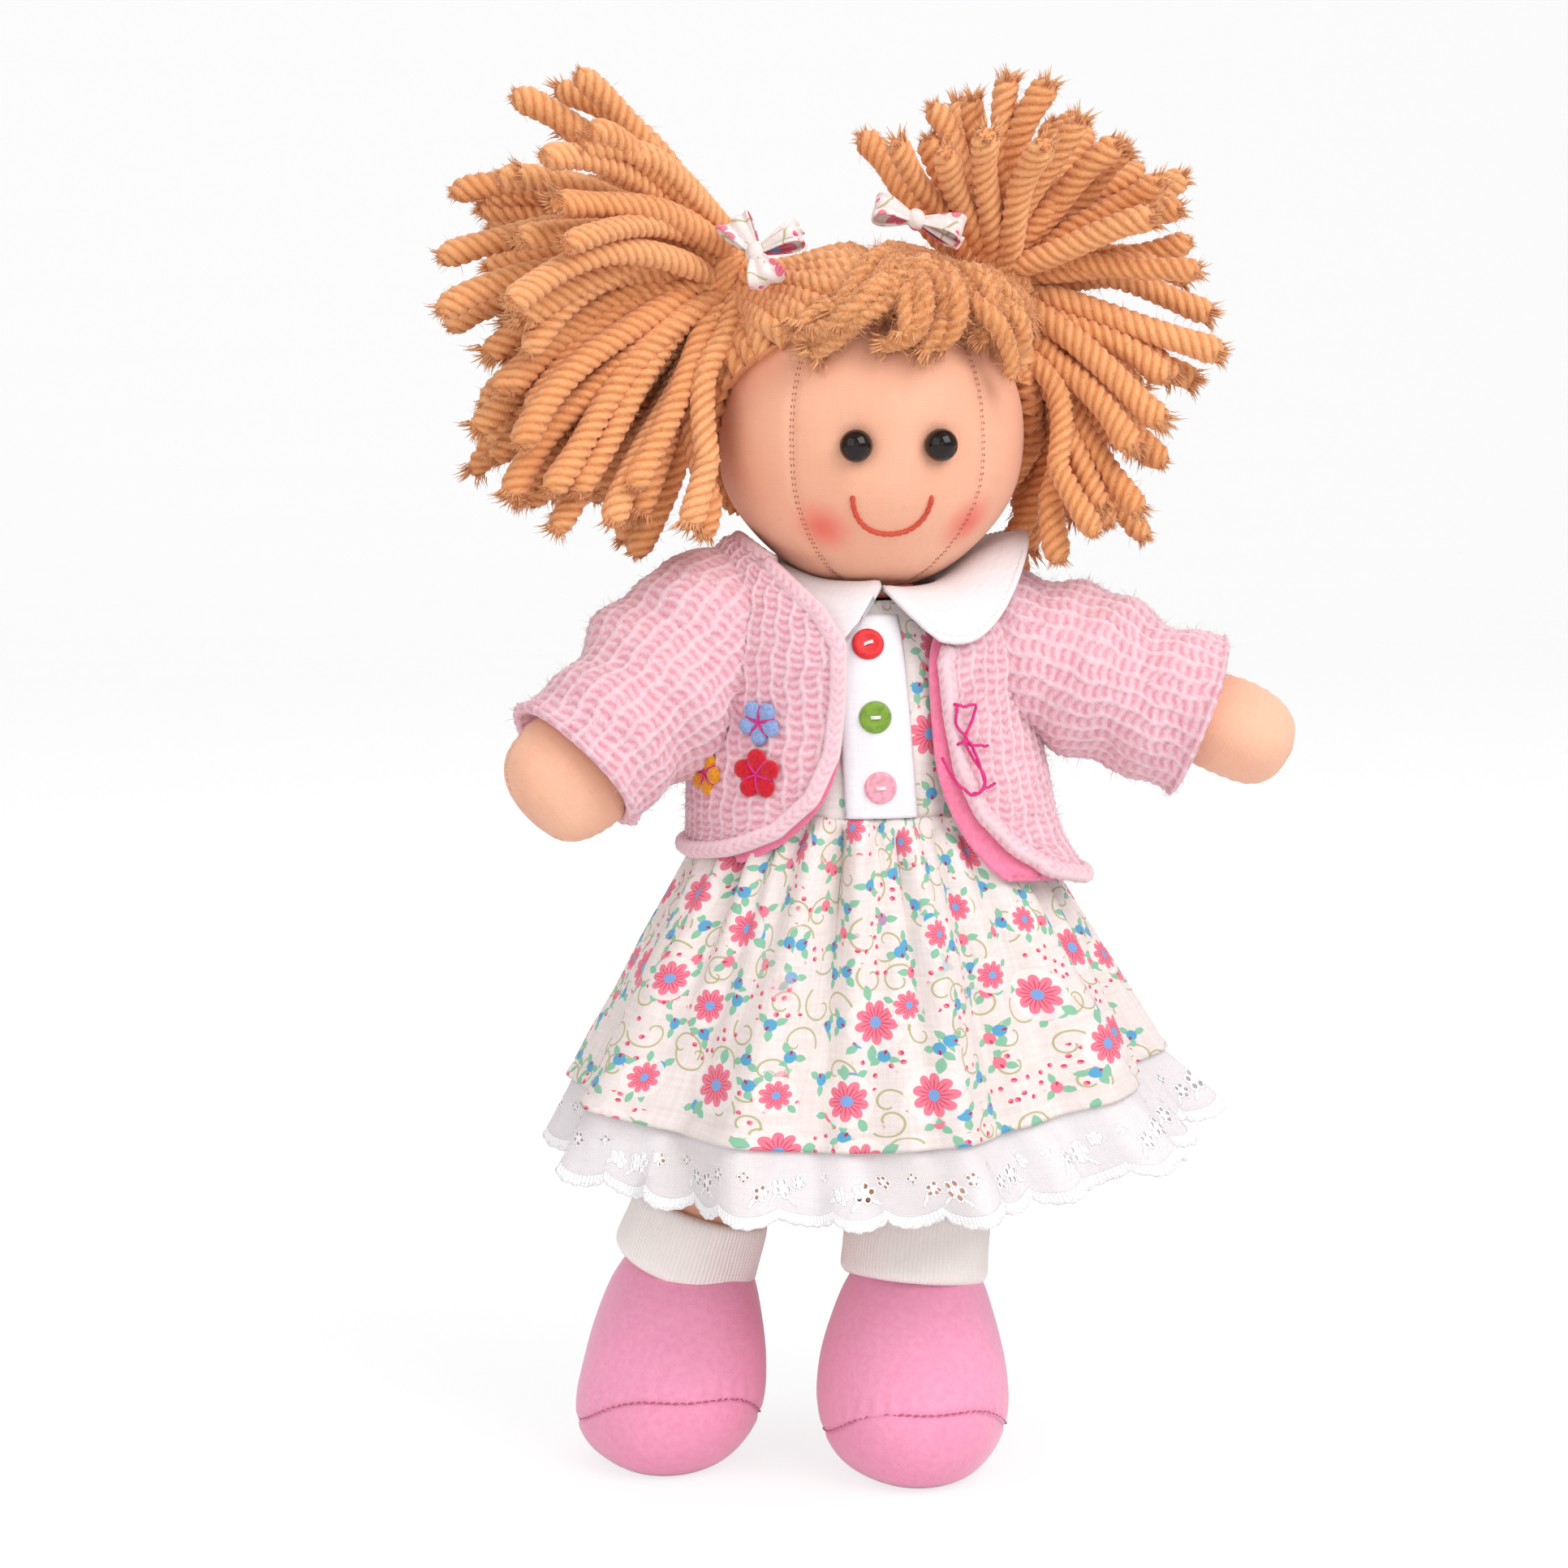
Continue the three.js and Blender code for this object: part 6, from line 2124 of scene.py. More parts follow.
    def collar(self, white: Material, thread: Material, sewing: Sewing) -> None:
        """Lay the round collar in two halves, each with a rounded front and a stitched edge.

        Args:
            white: The plain white cotton.
            thread: The white sewing thread.
            sewing: The maker of stitches.
        """
        for side in Side:
            low, high = node_box(f"collar_{side.word}")
            middle_x = low[0] if side is Side.LEFT else high[0]
            under = side is Side.RIGHT
            v = np.linspace(0, 1, 110)[:, None]
            s = np.linspace(0, 1, 40)[None]
            begin = 0.34 * s ** 4
            turn = begin + (math.pi - begin) * v
            front = smooth(0, math.pi / 7, turn)
            rise = smooth(math.pi / 6, math.pi / 2, turn)
            back = smooth(math.pi / 2, math.pi, turn)
            outer = (21.0 + 2.6 * front + 3.2 * rise) if under else (24 + 6.6 * front + 2.2 * rise)
            height = 183.2 - 5.7 * front + (14.5 if under else 20.2) * rise - (4 if under else 6.5) * back
            r = self.collar_inner + (outer - self.collar_inner) * s
            z = self.collar_top + (height - self.collar_top) * s ** 1.25 + 1.9 * np.sin(s * math.pi) ** 0.8
            grid = xyz(middle_x + side.value * r * np.sin(turn), self.middle_y - r * np.cos(turn), z)
            groove = -0.22 * np.exp(-((s - 0.93) / 0.012) ** 2) - 0.22 * np.exp(-((v - 0.012) / 0.006) ** 2)
            grid = grid + np.array([0, 0, 1.0]) * (groove + 0.25 * ripple(grid, 16, 12))[..., None]
            half = cloth(f"collar_half_{side.word}", grid, self.collar_thickness, False, white)
            place_piece(half, "torso", "white_cotton", f"collar_{side.word}")
            cut_flat(half, grid, False)
            self.top_stitches(f"collar_stitches_{side.word}", [grid[2:, 37] + [0, 0, 0.1]], thread, sewing)

    def top_stitches(self, name: str, lines: Iterable[Points], thread: Material, sewing: Sewing) -> None:
        """Sew white top stitches along lines."""
        seam = sewing.stitch(name, lines, thread, pitch=1.7, length=1.2, radius=0.11, sway=0.05)
        place_piece(seam, "torso", "white_cotton")

    def build(self, cotton: Material, white: Material, lace: Material, calico: Material, thread: Material,
              buttons: dict[str, Material], sewing: Sewing) -> None:
        """Make the body and the whole dress.

        Args:
            cotton: The printed cotton.
            white: The plain white cotton.
            lace: The eyelet cotton.
            calico: The body's cotton.
            thread: The white sewing thread.
            buttons: Each button's finish by its colour.
            sewing: The maker of stitches.
        """
        self.torso(calico)
        self.bodice(cotton)
        self.skirt(cotton)
        self.frill(lace)
        self.placket(white, thread, buttons, sewing)
        self.collar(white, thread, sewing)


# Cardigan

@dataclass(frozen=True)
class KnitFinish:
    """Pale pink hand-knit wool."""

    name: str = "knit_wool"
    lit: tuple = colour(255, 219, 227)
    dark: tuple = colour(232, 130, 155)
    roughness: float = 0.9

    def make(self) -> Material:
        """Build the material, which is painted darker in the stitches' hollows as shade.

        Returns:
            The material, which reads the relief kept on the mesh to paint shade where it is low.
        """
        finish = Finish(self.name, self.roughness)
        build = finish.build
        fibre = build.noise(finish.object, 1500.0, 5.0, 0.8)
        patch = build.noise(finish.object, 240.0, 3.0)
        relief = build.span(build.attribute("relief"), 0.0, 0.95)
        # Low relief, in the stitches' hollows, is painted darker as shade; fibre and patch are the wool's own uneven
        # tone.
        share = relief * 0.56 + fibre * 0.75 + (patch - 0.5) * 0.3
        finish.dye(share, 0.18, 1.0, self.dark, self.lit)
        finish.nap(0.3, 0.55)
        finish.bump(fibre, 0.4, 0.9)
        return finish.material


@dataclass
class Cardigan:
    """The knitted cardigan: back, two fronts, sleeves, rolled edges, facing and felt flowers."""

    middle_x: float = 1.56
    middle_y: float = 0.0
    half: tuple = (37.0, 28.4)
    neck: tuple = (18.0, 15.0)
    low: float = 118.0
    bend: float = 168.0
    hem_right: float = 133.0
    hem_left: float = 127.0
    neck_side: float = 194.5
    neck_front: float = 186.0
    flare: float = 6.5
    corner: float = 7.0
    wale: float = 3.7
    course: float = 2.1
    relief: float = 1.1
    thickness: float = 2.2
    edge_radius: float = 1.8
    neck_inset: float = 1.3
    sleeve_radius: float = 16.4
    sleeve_length: float = 43.0
    sleeve_wall: float = 2.6
    sleeve_columns: int = 176
    knit_rows: int = 150
    back_columns: int = 190
    front_columns: int = 92
    facing_thickness: float = 0.7
    wall_share: float = 0.56
    fuzz_density: float = 0.25
    flower_columns: int = 80
    petal_count: int = 5
    petal_thread: float = 0.3
    tack_thread: float = 0.33
    petal_rings: tuple = ((0.3, 0.0), (0.9, 0.1), (1.0, 0.8), (0.93, 1.45), (0.75, 1.75), (0.5, 1.6), (0.25, 1.25),
                          (0.06, 1.1))
    tacks: tuple = (
        ((14.2, 164.8), (16.5, 164.2), (18.8, 164.4), (17.6, 160.5), (16.4, 157.5), (18.2, 153.5), (20.4, 150.0),
         (19.8, 147.2), (17.8, 146.2)),
        ((15.0, 164.9), (14.6, 161.0), (16.6, 158.0), (17.5, 156.4), (21.4, 156.0)),
        ((11.8, 154.0), (13.2, 151.0), (15.2, 148.4), (18.0, 146.2), (20.2, 147.4), (22.8, 148.2)),
        ((14.8, 156.6), (16.2, 157.2), (17.7, 156.5), (19.4, 152.4), (20.6, 148.0)),
    )
    edges: dict = field(default_factory=lambda: {
        Side.RIGHT: ((-27, 198), (-19, 190.5), (-12, 183.5), (-8.4, 177), (-8.6, 166), (-10, 155), (-14, 146),
                     (-21, 139), (-29, 135), (-36, 133)),
        Side.LEFT: ((31, 198), (22, 187), (15.5, 180), (13.4, 173), (14.6, 162), (16.6, 151), (21, 142), (28, 134.5),
                    (37, 129), (47, 126.5)),
    })

    def meridian(self, turn: Points, v: Points) -> Points:
        """The knit's middle face at a turn and a share of the way up from the hem.

        Args:
            turn: The turn round the body.
            v: The share from the hem, 0, to the neck, 1.

        Returns:
            The points.
        """
        hem = (self.hem_right + self.hem_left) / 2 + (self.hem_left - self.hem_right) / 2 * np.cos(turn)
        wall = np.clip(v / self.wall_share, 0, 1)
        over = np.clip((v - self.wall_share) / (1 - self.wall_share), 0, 1) * math.pi / 2
        z = hem + (self.bend - hem) * wall
        spread_out = self.flare * np.exp(-(z - self.low) / 9.0)
        outward = np.exp(-((turn - 5.85) / 0.42) ** 2) * np.exp(-((z - hem) / 8.0) ** 1.3)
        spread_out = spread_out + self.corner * outward
        draw = 2.4 * smooth(self.low + 25, self.bend, z)
        right = 0.5 - 0.5 * np.cos(turn)
        neck = np.array(self.neck)[:, None] + np.array([10.0, 3.5])[:, None] * right.reshape(1, -1)
        neck = neck.reshape((2,) + np.shape(turn))
        front = self.neck_front - 3.0 * (1 - right)
        rise = self.neck_side + (10.5 * right - 8.5) - front
        top = front + rise * np.cos(turn) ** 2
        z = z + (top - self.bend) * np.sin(over)
        bulge = np.cos(over) ** 0.75
        wide = neck[0] + (self.half[0] + spread_out - draw - neck[0]) * bulge
        deep = neck[1] + (self.half[1] + spread_out - draw - neck[1]) * bulge
        return xyz(self.middle_x + wide * np.cos(turn), self.middle_y + deep * np.sin(turn), z)

    def edge_turn(self, side: Side, v: Points) -> Points:
        """The turn at which a front edge crosses each row."""
        table = np.array(self.edges[side], float)[::-1]
        turn = np.full(v.shape, 1.5 * math.pi + side.value * 0.35)
        for _ in range(12):
            at = self.meridian(turn, v)
            goal = np.interp(at[..., 2], table[:, 1], table[:, 0])
            wide = (at[..., 0] - self.middle_x) / np.cos(turn)
            share = np.clip((goal - self.middle_x) / wide, -0.9995, 0.9995)
            turn = 0.5 * turn + 0.5 * (FULL_TURN - np.arccos(share))
        return turn

    def stitches(self, across: Points, along: Points) -> Points:
        """The stitches' relief, 0 to 1, at a place on the knit in millimetres."""
        loose = 0.1 * np.sin(along * 0.37 + across * 0.11) + 0.09 * np.sin(along * 0.83 - across * 0.29)
        wale = across / self.wale + loose
        off = np.abs(wale - np.round(wale))
        row = along / self.course + 0.16 * np.sin(across * 0.53) + 0.09 * np.sin(across * 1.7 + along * 0.41)
        leg = 0.5 + 0.5 * np.cos(FULL_TURN * (row + 1.1 * off))
        cord = np.exp(-(off / 0.185) ** 2) * (0.76 + 0.24 * leg)
        arch = 0.3 * (1 - (2 * (0.5 - off)) ** 2)
        rung = 0.5 + 0.5 * np.cos(FULL_TURN * (row + arch))
        ladder = 0.4 * rung ** 0.8 + 0.24
        return np.maximum(cord, ladder * smooth(0.06, 0.2, off))

    def panel(self, turn: Points, v: Points) -> tuple[Points, Points, Points]:
        """A knitted panel over turns and shares up, with its stitches raised.

        Args:
            turn: The turn at each point.
            v: The share up at each point.

        Returns:
            The points, their relief and the same points without it.
        """
        grid = self.meridian(turn, v)
        step = np.linalg.norm(np.diff(grid, axis=0), axis=-1).mean(axis=1)
        along = running(step)[:, None]
        relief = self.stitches(turn * self.half[0] * 0.95, along + 0.0 * turn)
        out = grid_normals(grid, False)
        away = grid - [self.middle_x, self.middle_y, 0]
        out = np.where((np.einsum("ijk,ijk->ij", out, away * [1, 1, 0]) < 0)[..., None], -out, out)
        base = grid + out * (0.7 * ripple(grid, 28, 14))[..., None]
        return base + out * (self.relief * relief)[..., None], relief, base

    def body(self, wool: Material) -> list[Piece]:
        """Knit the back and the two fronts, with a rolled edge round each, and give the three panels."""
        panels = []
        v = np.linspace(0, 1, self.knit_rows)[:, None]
        spans = {"back": np.linspace(0, math.pi, self.back_columns)[None] + 0.0 * v}
        for side in Side:
            seam = math.pi if side is Side.RIGHT else FULL_TURN
            edge = self.edge_turn(side, v)
            spans[f"front_{side.word}"] = seam + (edge - seam) * np.linspace(0, 1, self.front_columns)[None]
        for name, turn in spans.items():
            rows = v + 0.0 * turn
            if name == "front_right":
                turn = turn[:, ::-1]
            grid, relief, base = self.panel(turn, rows)
            if name == "front_left":
                grid, relief, base = grid[:, ::-1], relief[:, ::-1], base[:, ::-1]
            panel = cloth(f"knit_{name}", grid, self.side_thickness(base), False, wool, base, relief=relief)
            panels.append(place_piece(panel, "torso", "rib_knit", f"cardigan_{name}"))
            cut_flat(panel, base, False)
        back_hem = self.meridian(np.linspace(0, math.pi, 120), np.zeros(120))
        self.roll("hem_edge_back", back_hem, wool)
        first = float(self.edge_turn(Side.RIGHT, np.ones(1))[0])
        neck = self.meridian(np.linspace(0.3, first, 160), np.ones(160))
        inward = level_out(neck, self.middle_x, self.middle_y)
        self.roll("neck_edge", neck - inward * self.neck_inset, wool)
        for side in Side:
            turn = spans[f"front_{side.word}"]
            down = self.meridian(turn[::-1, -1], v[::-1, 0])
            keep = down[:, 2] < (176 if side is Side.LEFT else self.neck_side)
            hem = self.meridian(turn[0, ::-1], np.zeros(turn.shape[1]))
            line = np.vstack([down[keep], hem[3:]])
            self.roll(f"front_edge_{side.word}", curve_through(line[::4], 260), wool)
        return panels

    def side_thickness(self, grid: Points) -> float:
        """The knit's thickness, with the sign that puts its back towards the body."""
        out = grid_normals(grid, False)
        away = (grid - [self.middle_x, self.middle_y, 0]) * [1, 1, 0]
        return math.copysign(self.thickness, float(np.einsum("ijk,ijk->", out, away)))

    def roll(self, name: str, line: Points, wool: Material) -> None:
        """Roll an edge of the knit over itself into a soft ribbed cord.

        Args:
            name: The cord's name.
            line: The edge's points in millimetres.
            wool: The knit's finish.
        """
        step = running(np.linalg.norm(np.diff(line, axis=0), axis=1))
        fine = np.arange(0, step[-1], 0.4)
        path = np.stack([np.interp(fine, step, line[:, k]) for k in range(3)], axis=1)
        ahead = unit(np.gradient(path, axis=0))
        out = level_out(path, self.middle_x, self.middle_y)
        out = unit(out - ahead * np.einsum("ij,ij->i", out, ahead)[:, None])
        other = np.cross(ahead, out)
        turn = turns(20)[None]
        slant = np.abs(np.sin(1.5 * turn + 0.6))
        bump = 0.5 + 0.5 * np.cos(FULL_TURN * (fine[:, None] / self.course + 0.7 * slant))
        relief = 0.42 + 0.58 * np.maximum(bump * 0.8, np.exp(-((slant - 1) / 0.12) ** 2))
        radius = self.edge_radius * (0.78 + 0.3 * relief)
        grid = path[:, None] + radius[..., None] * (
            np.cos(turn)[..., None] * out[:, None] + np.sin(turn)[..., None] * other[:, None])
        grid = grid + out[:, None] * 0.5
        place_piece(stuffed(name, grid, wool, relief=relief), "torso", "rib_knit")

    def sleeve(self, side: Side, reach: tuple, wool: Material) -> Piece:
        """Knit one sleeve: a full cap at the shoulder, a tube and a rolled mouth that turns inside.

        Args:
            side: The sleeve's side.
            reach: The way from the shoulder to the hand.
            wool: The knit's finish.

        Returns:
            The sleeve.
        """
        start = joint_place(f"arm_{side.word}_raise")
        along = unit(np.array(reach, float))
        across = unit(np.cross([0.0, 1.0, 0.0], along))
        forward = np.cross(along, across)
        radius = self.sleeve_radius
        cap = np.linspace(-math.pi / 2 + 0.06, 0, 34, endpoint=False)
        rows = [(radius * math.sin(a), radius * math.cos(a), 1.0) for a in cap]
        for share in np.linspace(0, 1, 92):
            belly = 0.975 + 0.03 * math.sin(share * 5 + 0.6) + 0.04 * share ** 3
            rows.append((share * (self.sleeve_length - 2), radius * belly, 1.0))
        lip = np.linspace(-math.pi / 2, math.pi / 2, 14)
        rows += [(self.sleeve_length - 2 + 1.5 * math.cos(a), radius - 0.9 - 1.5 * math.sin(a), 1.0)
                 for a in lip[1:-1]]
        rows += [(self.sleeve_length - 3 - 13 * share, radius - self.sleeve_wall - 0.5, 0.0)
                 for share in np.linspace(0, 1, 6)]
        table = np.array(rows)
        turn = turns(self.sleeve_columns)[None]
        step = running(np.hypot(np.diff(table[:, 0]), np.diff(table[:, 1])))[:, None]
        count = round(FULL_TURN * radius / self.wale)
        relief = self.stitches(turn / FULL_TURN * count * self.wale, step + 0.0 * turn) * table[:, 2:3]
        out = across * np.cos(turn)[..., None] + forward * np.sin(turn)[..., None]
        grid = start + along * table[:, :1, None] + out * table[:, 1:2, None]
        fold = smooth(2, 12, table[:, :1]) * smooth(self.sleeve_length + 2, 28, table[:, :1])
        crease = 1.0 * np.sin(table[:, :1] * 0.40 + 1.9 * np.cos(turn + 0.8) + 0.8 * np.sin(2 * turn)) * fold
        soft = 1.5 * ripple(grid, 24, 31 + side.value) * smooth(-12, 4, table[:, :1])
        grid = grid + out * (self.relief * relief + crease + soft * (table[:, 2:3] > 0))[..., None]
        # The turned-in rows carry no raised stitches, so the floor of 0.15 gives them the knit's dark painted shade
        # inside the sleeve's mouth.
        sleeve = stuffed(f"knit_sleeve_{side.word}", grid, wool, relief=np.maximum(relief, 0.15))
        return place_piece(sleeve, f"arm_{side.word}", "rib_knit", f"sleeve_{side.word}")

    def at_height(self, turn: Points, z: Points) -> Points:
        """The knit's points at turns, closest to heights."""
        lines = self.meridian(turn[..., None], np.linspace(0, 1, 240))
        close = np.argmin(np.abs(lines[..., 2] - z[..., None]), axis=-1)
        return np.take_along_axis(lines, close[..., None, None], axis=-2)[..., 0, :]

    def on_knit(self, x: Points, z: Points, lift: float) -> Points:
        """Points on the front of the knit seen from the front, lifted off it."""
        x, z = np.broadcast_arrays(np.asarray(x, float), np.asarray(z, float))
        turn = np.full(x.shape, 1.5 * math.pi)
        for _ in range(14):
            at = self.at_height(turn, z)
            wide = (at[..., 0] - self.middle_x) / np.where(np.abs(np.cos(turn)) < 1e-3, 1e-3, np.cos(turn))
            wide = np.where(np.abs(wide) < 5, self.half[0], np.abs(wide))
            share = np.clip((x - self.middle_x) / wide, -0.999, 0.999)
            turn = FULL_TURN - np.arccos(share)
        out = unit(xyz(np.cos(turn) / self.half[0], np.sin(turn) / self.half[1], 0.0))
        return self.at_height(turn, z) + out * lift

    def facing(self, side: Side, low: float, high: float, widths: tuple[float, float], woven: Material,
               *nodes: str) -> None:
        """Sew the woven facing inside a front edge, so that a strip of it shows.

        Args:
            side: The front.
            low: The lowest height of the strip.
            high: The highest height.
            widths: How far it shows at the top and at the bottom.
            woven: The facing's cloth.
            *nodes: The frame's nodes that it replaces.
        """
        table = np.array(self.edges[side], float)
        line = curve_through(table, 160)
        line = line[(line[:, 1] > low) & (line[:, 1] < high)]
        ahead = unit(np.gradient(line, axis=0))
        normal = np.stack([ahead[:, 1], -ahead[:, 0]], axis=1) * -side.value
        s = np.linspace(-0.5, 1, 14)[None, :, None]
        share = np.linspace(0, 1, len(line))[:, None, None]
        width = widths[0] + (widths[1] - widths[0]) * share
        flat = line[:, None] - normal[:, None] * s * width
        if (flat[:, -1, 0] - flat[:, 0, 0]).mean() * side.value > 0:
            flat = line[:, None] + normal[:, None] * s * width
        grid = self.on_knit(flat[..., 0], flat[..., 1], -1.2)
        grid[..., 1] += 0.2 * ripple(grid, 9, 3)
        out = grid_normals(grid, False)
        thick = math.copysign(self.facing_thickness, -float(out[..., 1].mean()))
        strip = cloth(f"facing_strip_{side.word}", grid, thick, False, woven)
        place_piece(strip, "torso", "facing_cotton", *nodes)
        cut_flat(strip, grid, False)

    def flower(self, name: str, felt: Material, magenta: Material, radius: float, turned: float,
               shift: tuple[float, float]) -> None:
        """Sew one felt flower on: five puffed petals held by five stitches.

        Args:
            name: The flower's colour.
            felt: Its felt.
            magenta: The stitches' thread.
            radius: The reach of its petals.
            turned: How far it is turned, in radians.
            shift: How far across and up it sits from the frame's flower.
        """
        middle = node_middle(f"flower_{name}")
        base = self.on_knit(middle[0] + shift[0], middle[2] + shift[1], 0.5)
        out = unit((base - [self.middle_x, self.middle_y, base[2]]) / [self.half[0] ** 2, self.half[1] ** 2, 1]
                   * [1, 1, 0])
        up = np.array([0.0, 0.0, 1.0])
        right = np.cross(up, out)
        turn = turns(self.flower_columns)
        petal = np.abs(np.cos(self.petal_count / 2 * (turn - turned)))
        reach = radius * (0.56 + 0.44 * petal ** 0.55)
        rows = curve_through(self.petal_rings, 26)
        ring = np.cos(turn)[:, None] * right + np.sin(turn)[:, None] * up
        grid = base + rows[:, :1, None] * (reach[:, None] * ring)[None] + rows[:, 1][:, None, None] * out
        valley = (1 - petal) ** 2 * 0.7
        grid = grid - out * (valley[None, :, None] * smooth(0.2, 0.7, rows[:, 1])[:, None, None])
        place_piece(stuffed(f"felt_flower_{name}", grid, felt), "torso", f"felt_{name}", f"flower_{name}")
        parts = []
        for k in range(self.petal_count):
            angle = turned + math.pi / self.petal_count + FULL_TURN * k / self.petal_count
            way = math.cos(angle) * right + math.sin(angle) * up
            s = np.linspace(0, 1, 9)[:, None]
            rise = 1.45 - 1.1 * s ** 3 - 0.5 * (1 - s) ** 3
            line = base + way * s * radius * 0.72 + out * rise
            parts.append(tube("petal_stitch", line, self.petal_thread, magenta, around=6))
        place_piece(joined(f"petal_stitches_{name}", parts), "torso", "red_thread")

    def loose_thread(self, magenta: Material) -> None:
        """Let the facing's tacking thread wander over the left front's edge."""
        parts = []
        for run in self.tacks:
            flat = curve_through(run, 40)
            t = np.linspace(0, 1, 40)
            line = self.on_knit(flat[:, 0], flat[:, 1], 2.2)
            line[:, 1] -= 0.6 * np.abs(np.sin(t * 9)) + 0.5 * (np.abs(t - 0.5) < 0.45)
            parts.append(tube("tack", line, self.tack_thread, magenta, around=6))
        place_piece(joined("tacking_thread", parts), "torso", "red_thread")

    def build(self, wool: Material, woven: Material, magenta: Material, felts: dict[str, Material],
              reaches: dict[Side, tuple], sewing: Sewing) -> None:
        """Make the whole cardigan.

        Args:
            wool: The knit's finish.
            woven: The facing's cloth.
            magenta: The bright stitches' thread.
            felts: Each flower's felt by its colour.
            reaches: The way from each shoulder to its hand.
            sewing: The maker of loose fibres.
        """
        for panel in self.body(wool):
            fuzz = sewing.fibres(panel.name.replace("knit", "wool_fuzz"), panel, density=self.fuzz_density)
            place_piece(fuzz, "torso", "rib_knit")
        for side, reach in reaches.items():
            sleeve = self.sleeve(side, reach, wool)
            fuzz = sewing.fibres(f"wool_fuzz_sleeve_{side.word}", sleeve, density=self.fuzz_density)
            place_piece(fuzz, f"arm_{side.word}", "rib_knit")
        self.facing(Side.LEFT, 127.5, 178.0, (2.2, 7.0), woven, "facing_left")
        self.facing(Side.RIGHT, 134.5, 156.0, (1.6, 3.2), woven)
        self.flower("red", felts["red"], magenta, 5.3, 0.35, (-3.6, 2.4))
        self.flower("yellow", felts["yellow"], magenta, 4.7, 1.2, (-3.4, 3.0))
        self.flower("blue", felts["blue"], magenta, 4.7, 0.9, (1.4, 2.4))
        self.loose_thread(magenta)


# Bows

@dataclass
class Bow:
    """A small crumpled bow of the dress's print, tied on a bunch."""

    side: Side
    shift: tuple
    lobes: tuple
    tails: tuple = ()
    knot: float = 1.9
    thickness: float = 0.4

    def strip(self, middle: Points, out: Points, lobe: tuple, cotton: Material, loop: bool) -> Piece:
        """One folded loop or one flat tail.

        Args:
            middle: The knot's middle.
            out: The way off the head.
            lobe: Its aim in degrees from the doll's left, its length, its width and its curl.
            cotton: The printed cotton.
            loop: Whether it returns to the knot.

        Returns:
            The piece.
        """
        aim, length, width, curl = lobe
        angle = math.radians(aim)
        axis = np.array([math.cos(angle), 0, math.sin(angle)])
        axis = unit(axis - out * np.dot(axis, out))
        broad = np.cross(out, axis)
        t, v = np.linspace(0, 1, 48)[:, None], np.linspace(-0.5, 0.5, 18)[None]
        swell = np.sin(math.pi * t) if loop else t
        far = length * (np.sin(math.pi * t) ** 0.8 if loop else t)
        rise = (2.1 * np.sin(FULL_TURN * t) if loop else -1.2 * t ** 2) + 1.3
        wide = width * (0.22 + 0.78 * swell ** 0.7)
        fold = 0.7 * np.sin(v * 12 + aim) * swell + curl * (v * 2) ** 2 * swell
        grid = (middle + far[..., None] * axis + (rise + fold)[..., None] * out
                + (v * wide + curl * 0.5 * swell)[..., None] * broad)
        return cloth("strip", grid, self.thickness, False, cotton)

    def build(self, cotton: Material, head: Head) -> None:
        """Tie the bow: its loops, its tails and a knot over them.

        Args:
            cotton: The printed cotton.
            head: The head that it sits on.
        """
        middle = node_middle(f"bow_{self.side.word}") + np.array(self.shift)
        out = unit(unit(middle - head.middle) + np.array([0, -1.1, 0]))
        parts = [self.strip(middle, out, lobe, cotton, True) for lobe in self.lobes]
        parts += [self.strip(middle, out, tail, cotton, False) for tail in self.tails]
        axis = unit(np.cross(out, [0.0, 0.3, 1.0]))
        broad = np.cross(out, axis)
        turn = turns(28)[None]
        rise = np.linspace(-1, 1, 18)[:, None]
        round_share = np.sqrt(np.clip(1.04 - rise ** 2, 0, 1))
        knot = (middle + out * 1.4 + (rise * self.knot * 1.25)[..., None] * broad
                + (round_share * (self.knot + 0.2 * np.cos(5 * turn)) * np.cos(turn))[..., None] * axis
                + (round_share * self.knot * np.sin(turn))[..., None] * out)
        parts.append(stuffed("knot", knot, cotton))
        bow = joined(f"print_bow_{self.side.word}", parts)
        place_piece(bow, "head", "print_cotton", f"bow_{self.side.word}")
        area = sum(face.area for face in bow.data.polygons) / 2
        area / 0.8 / 0.011


# Stage

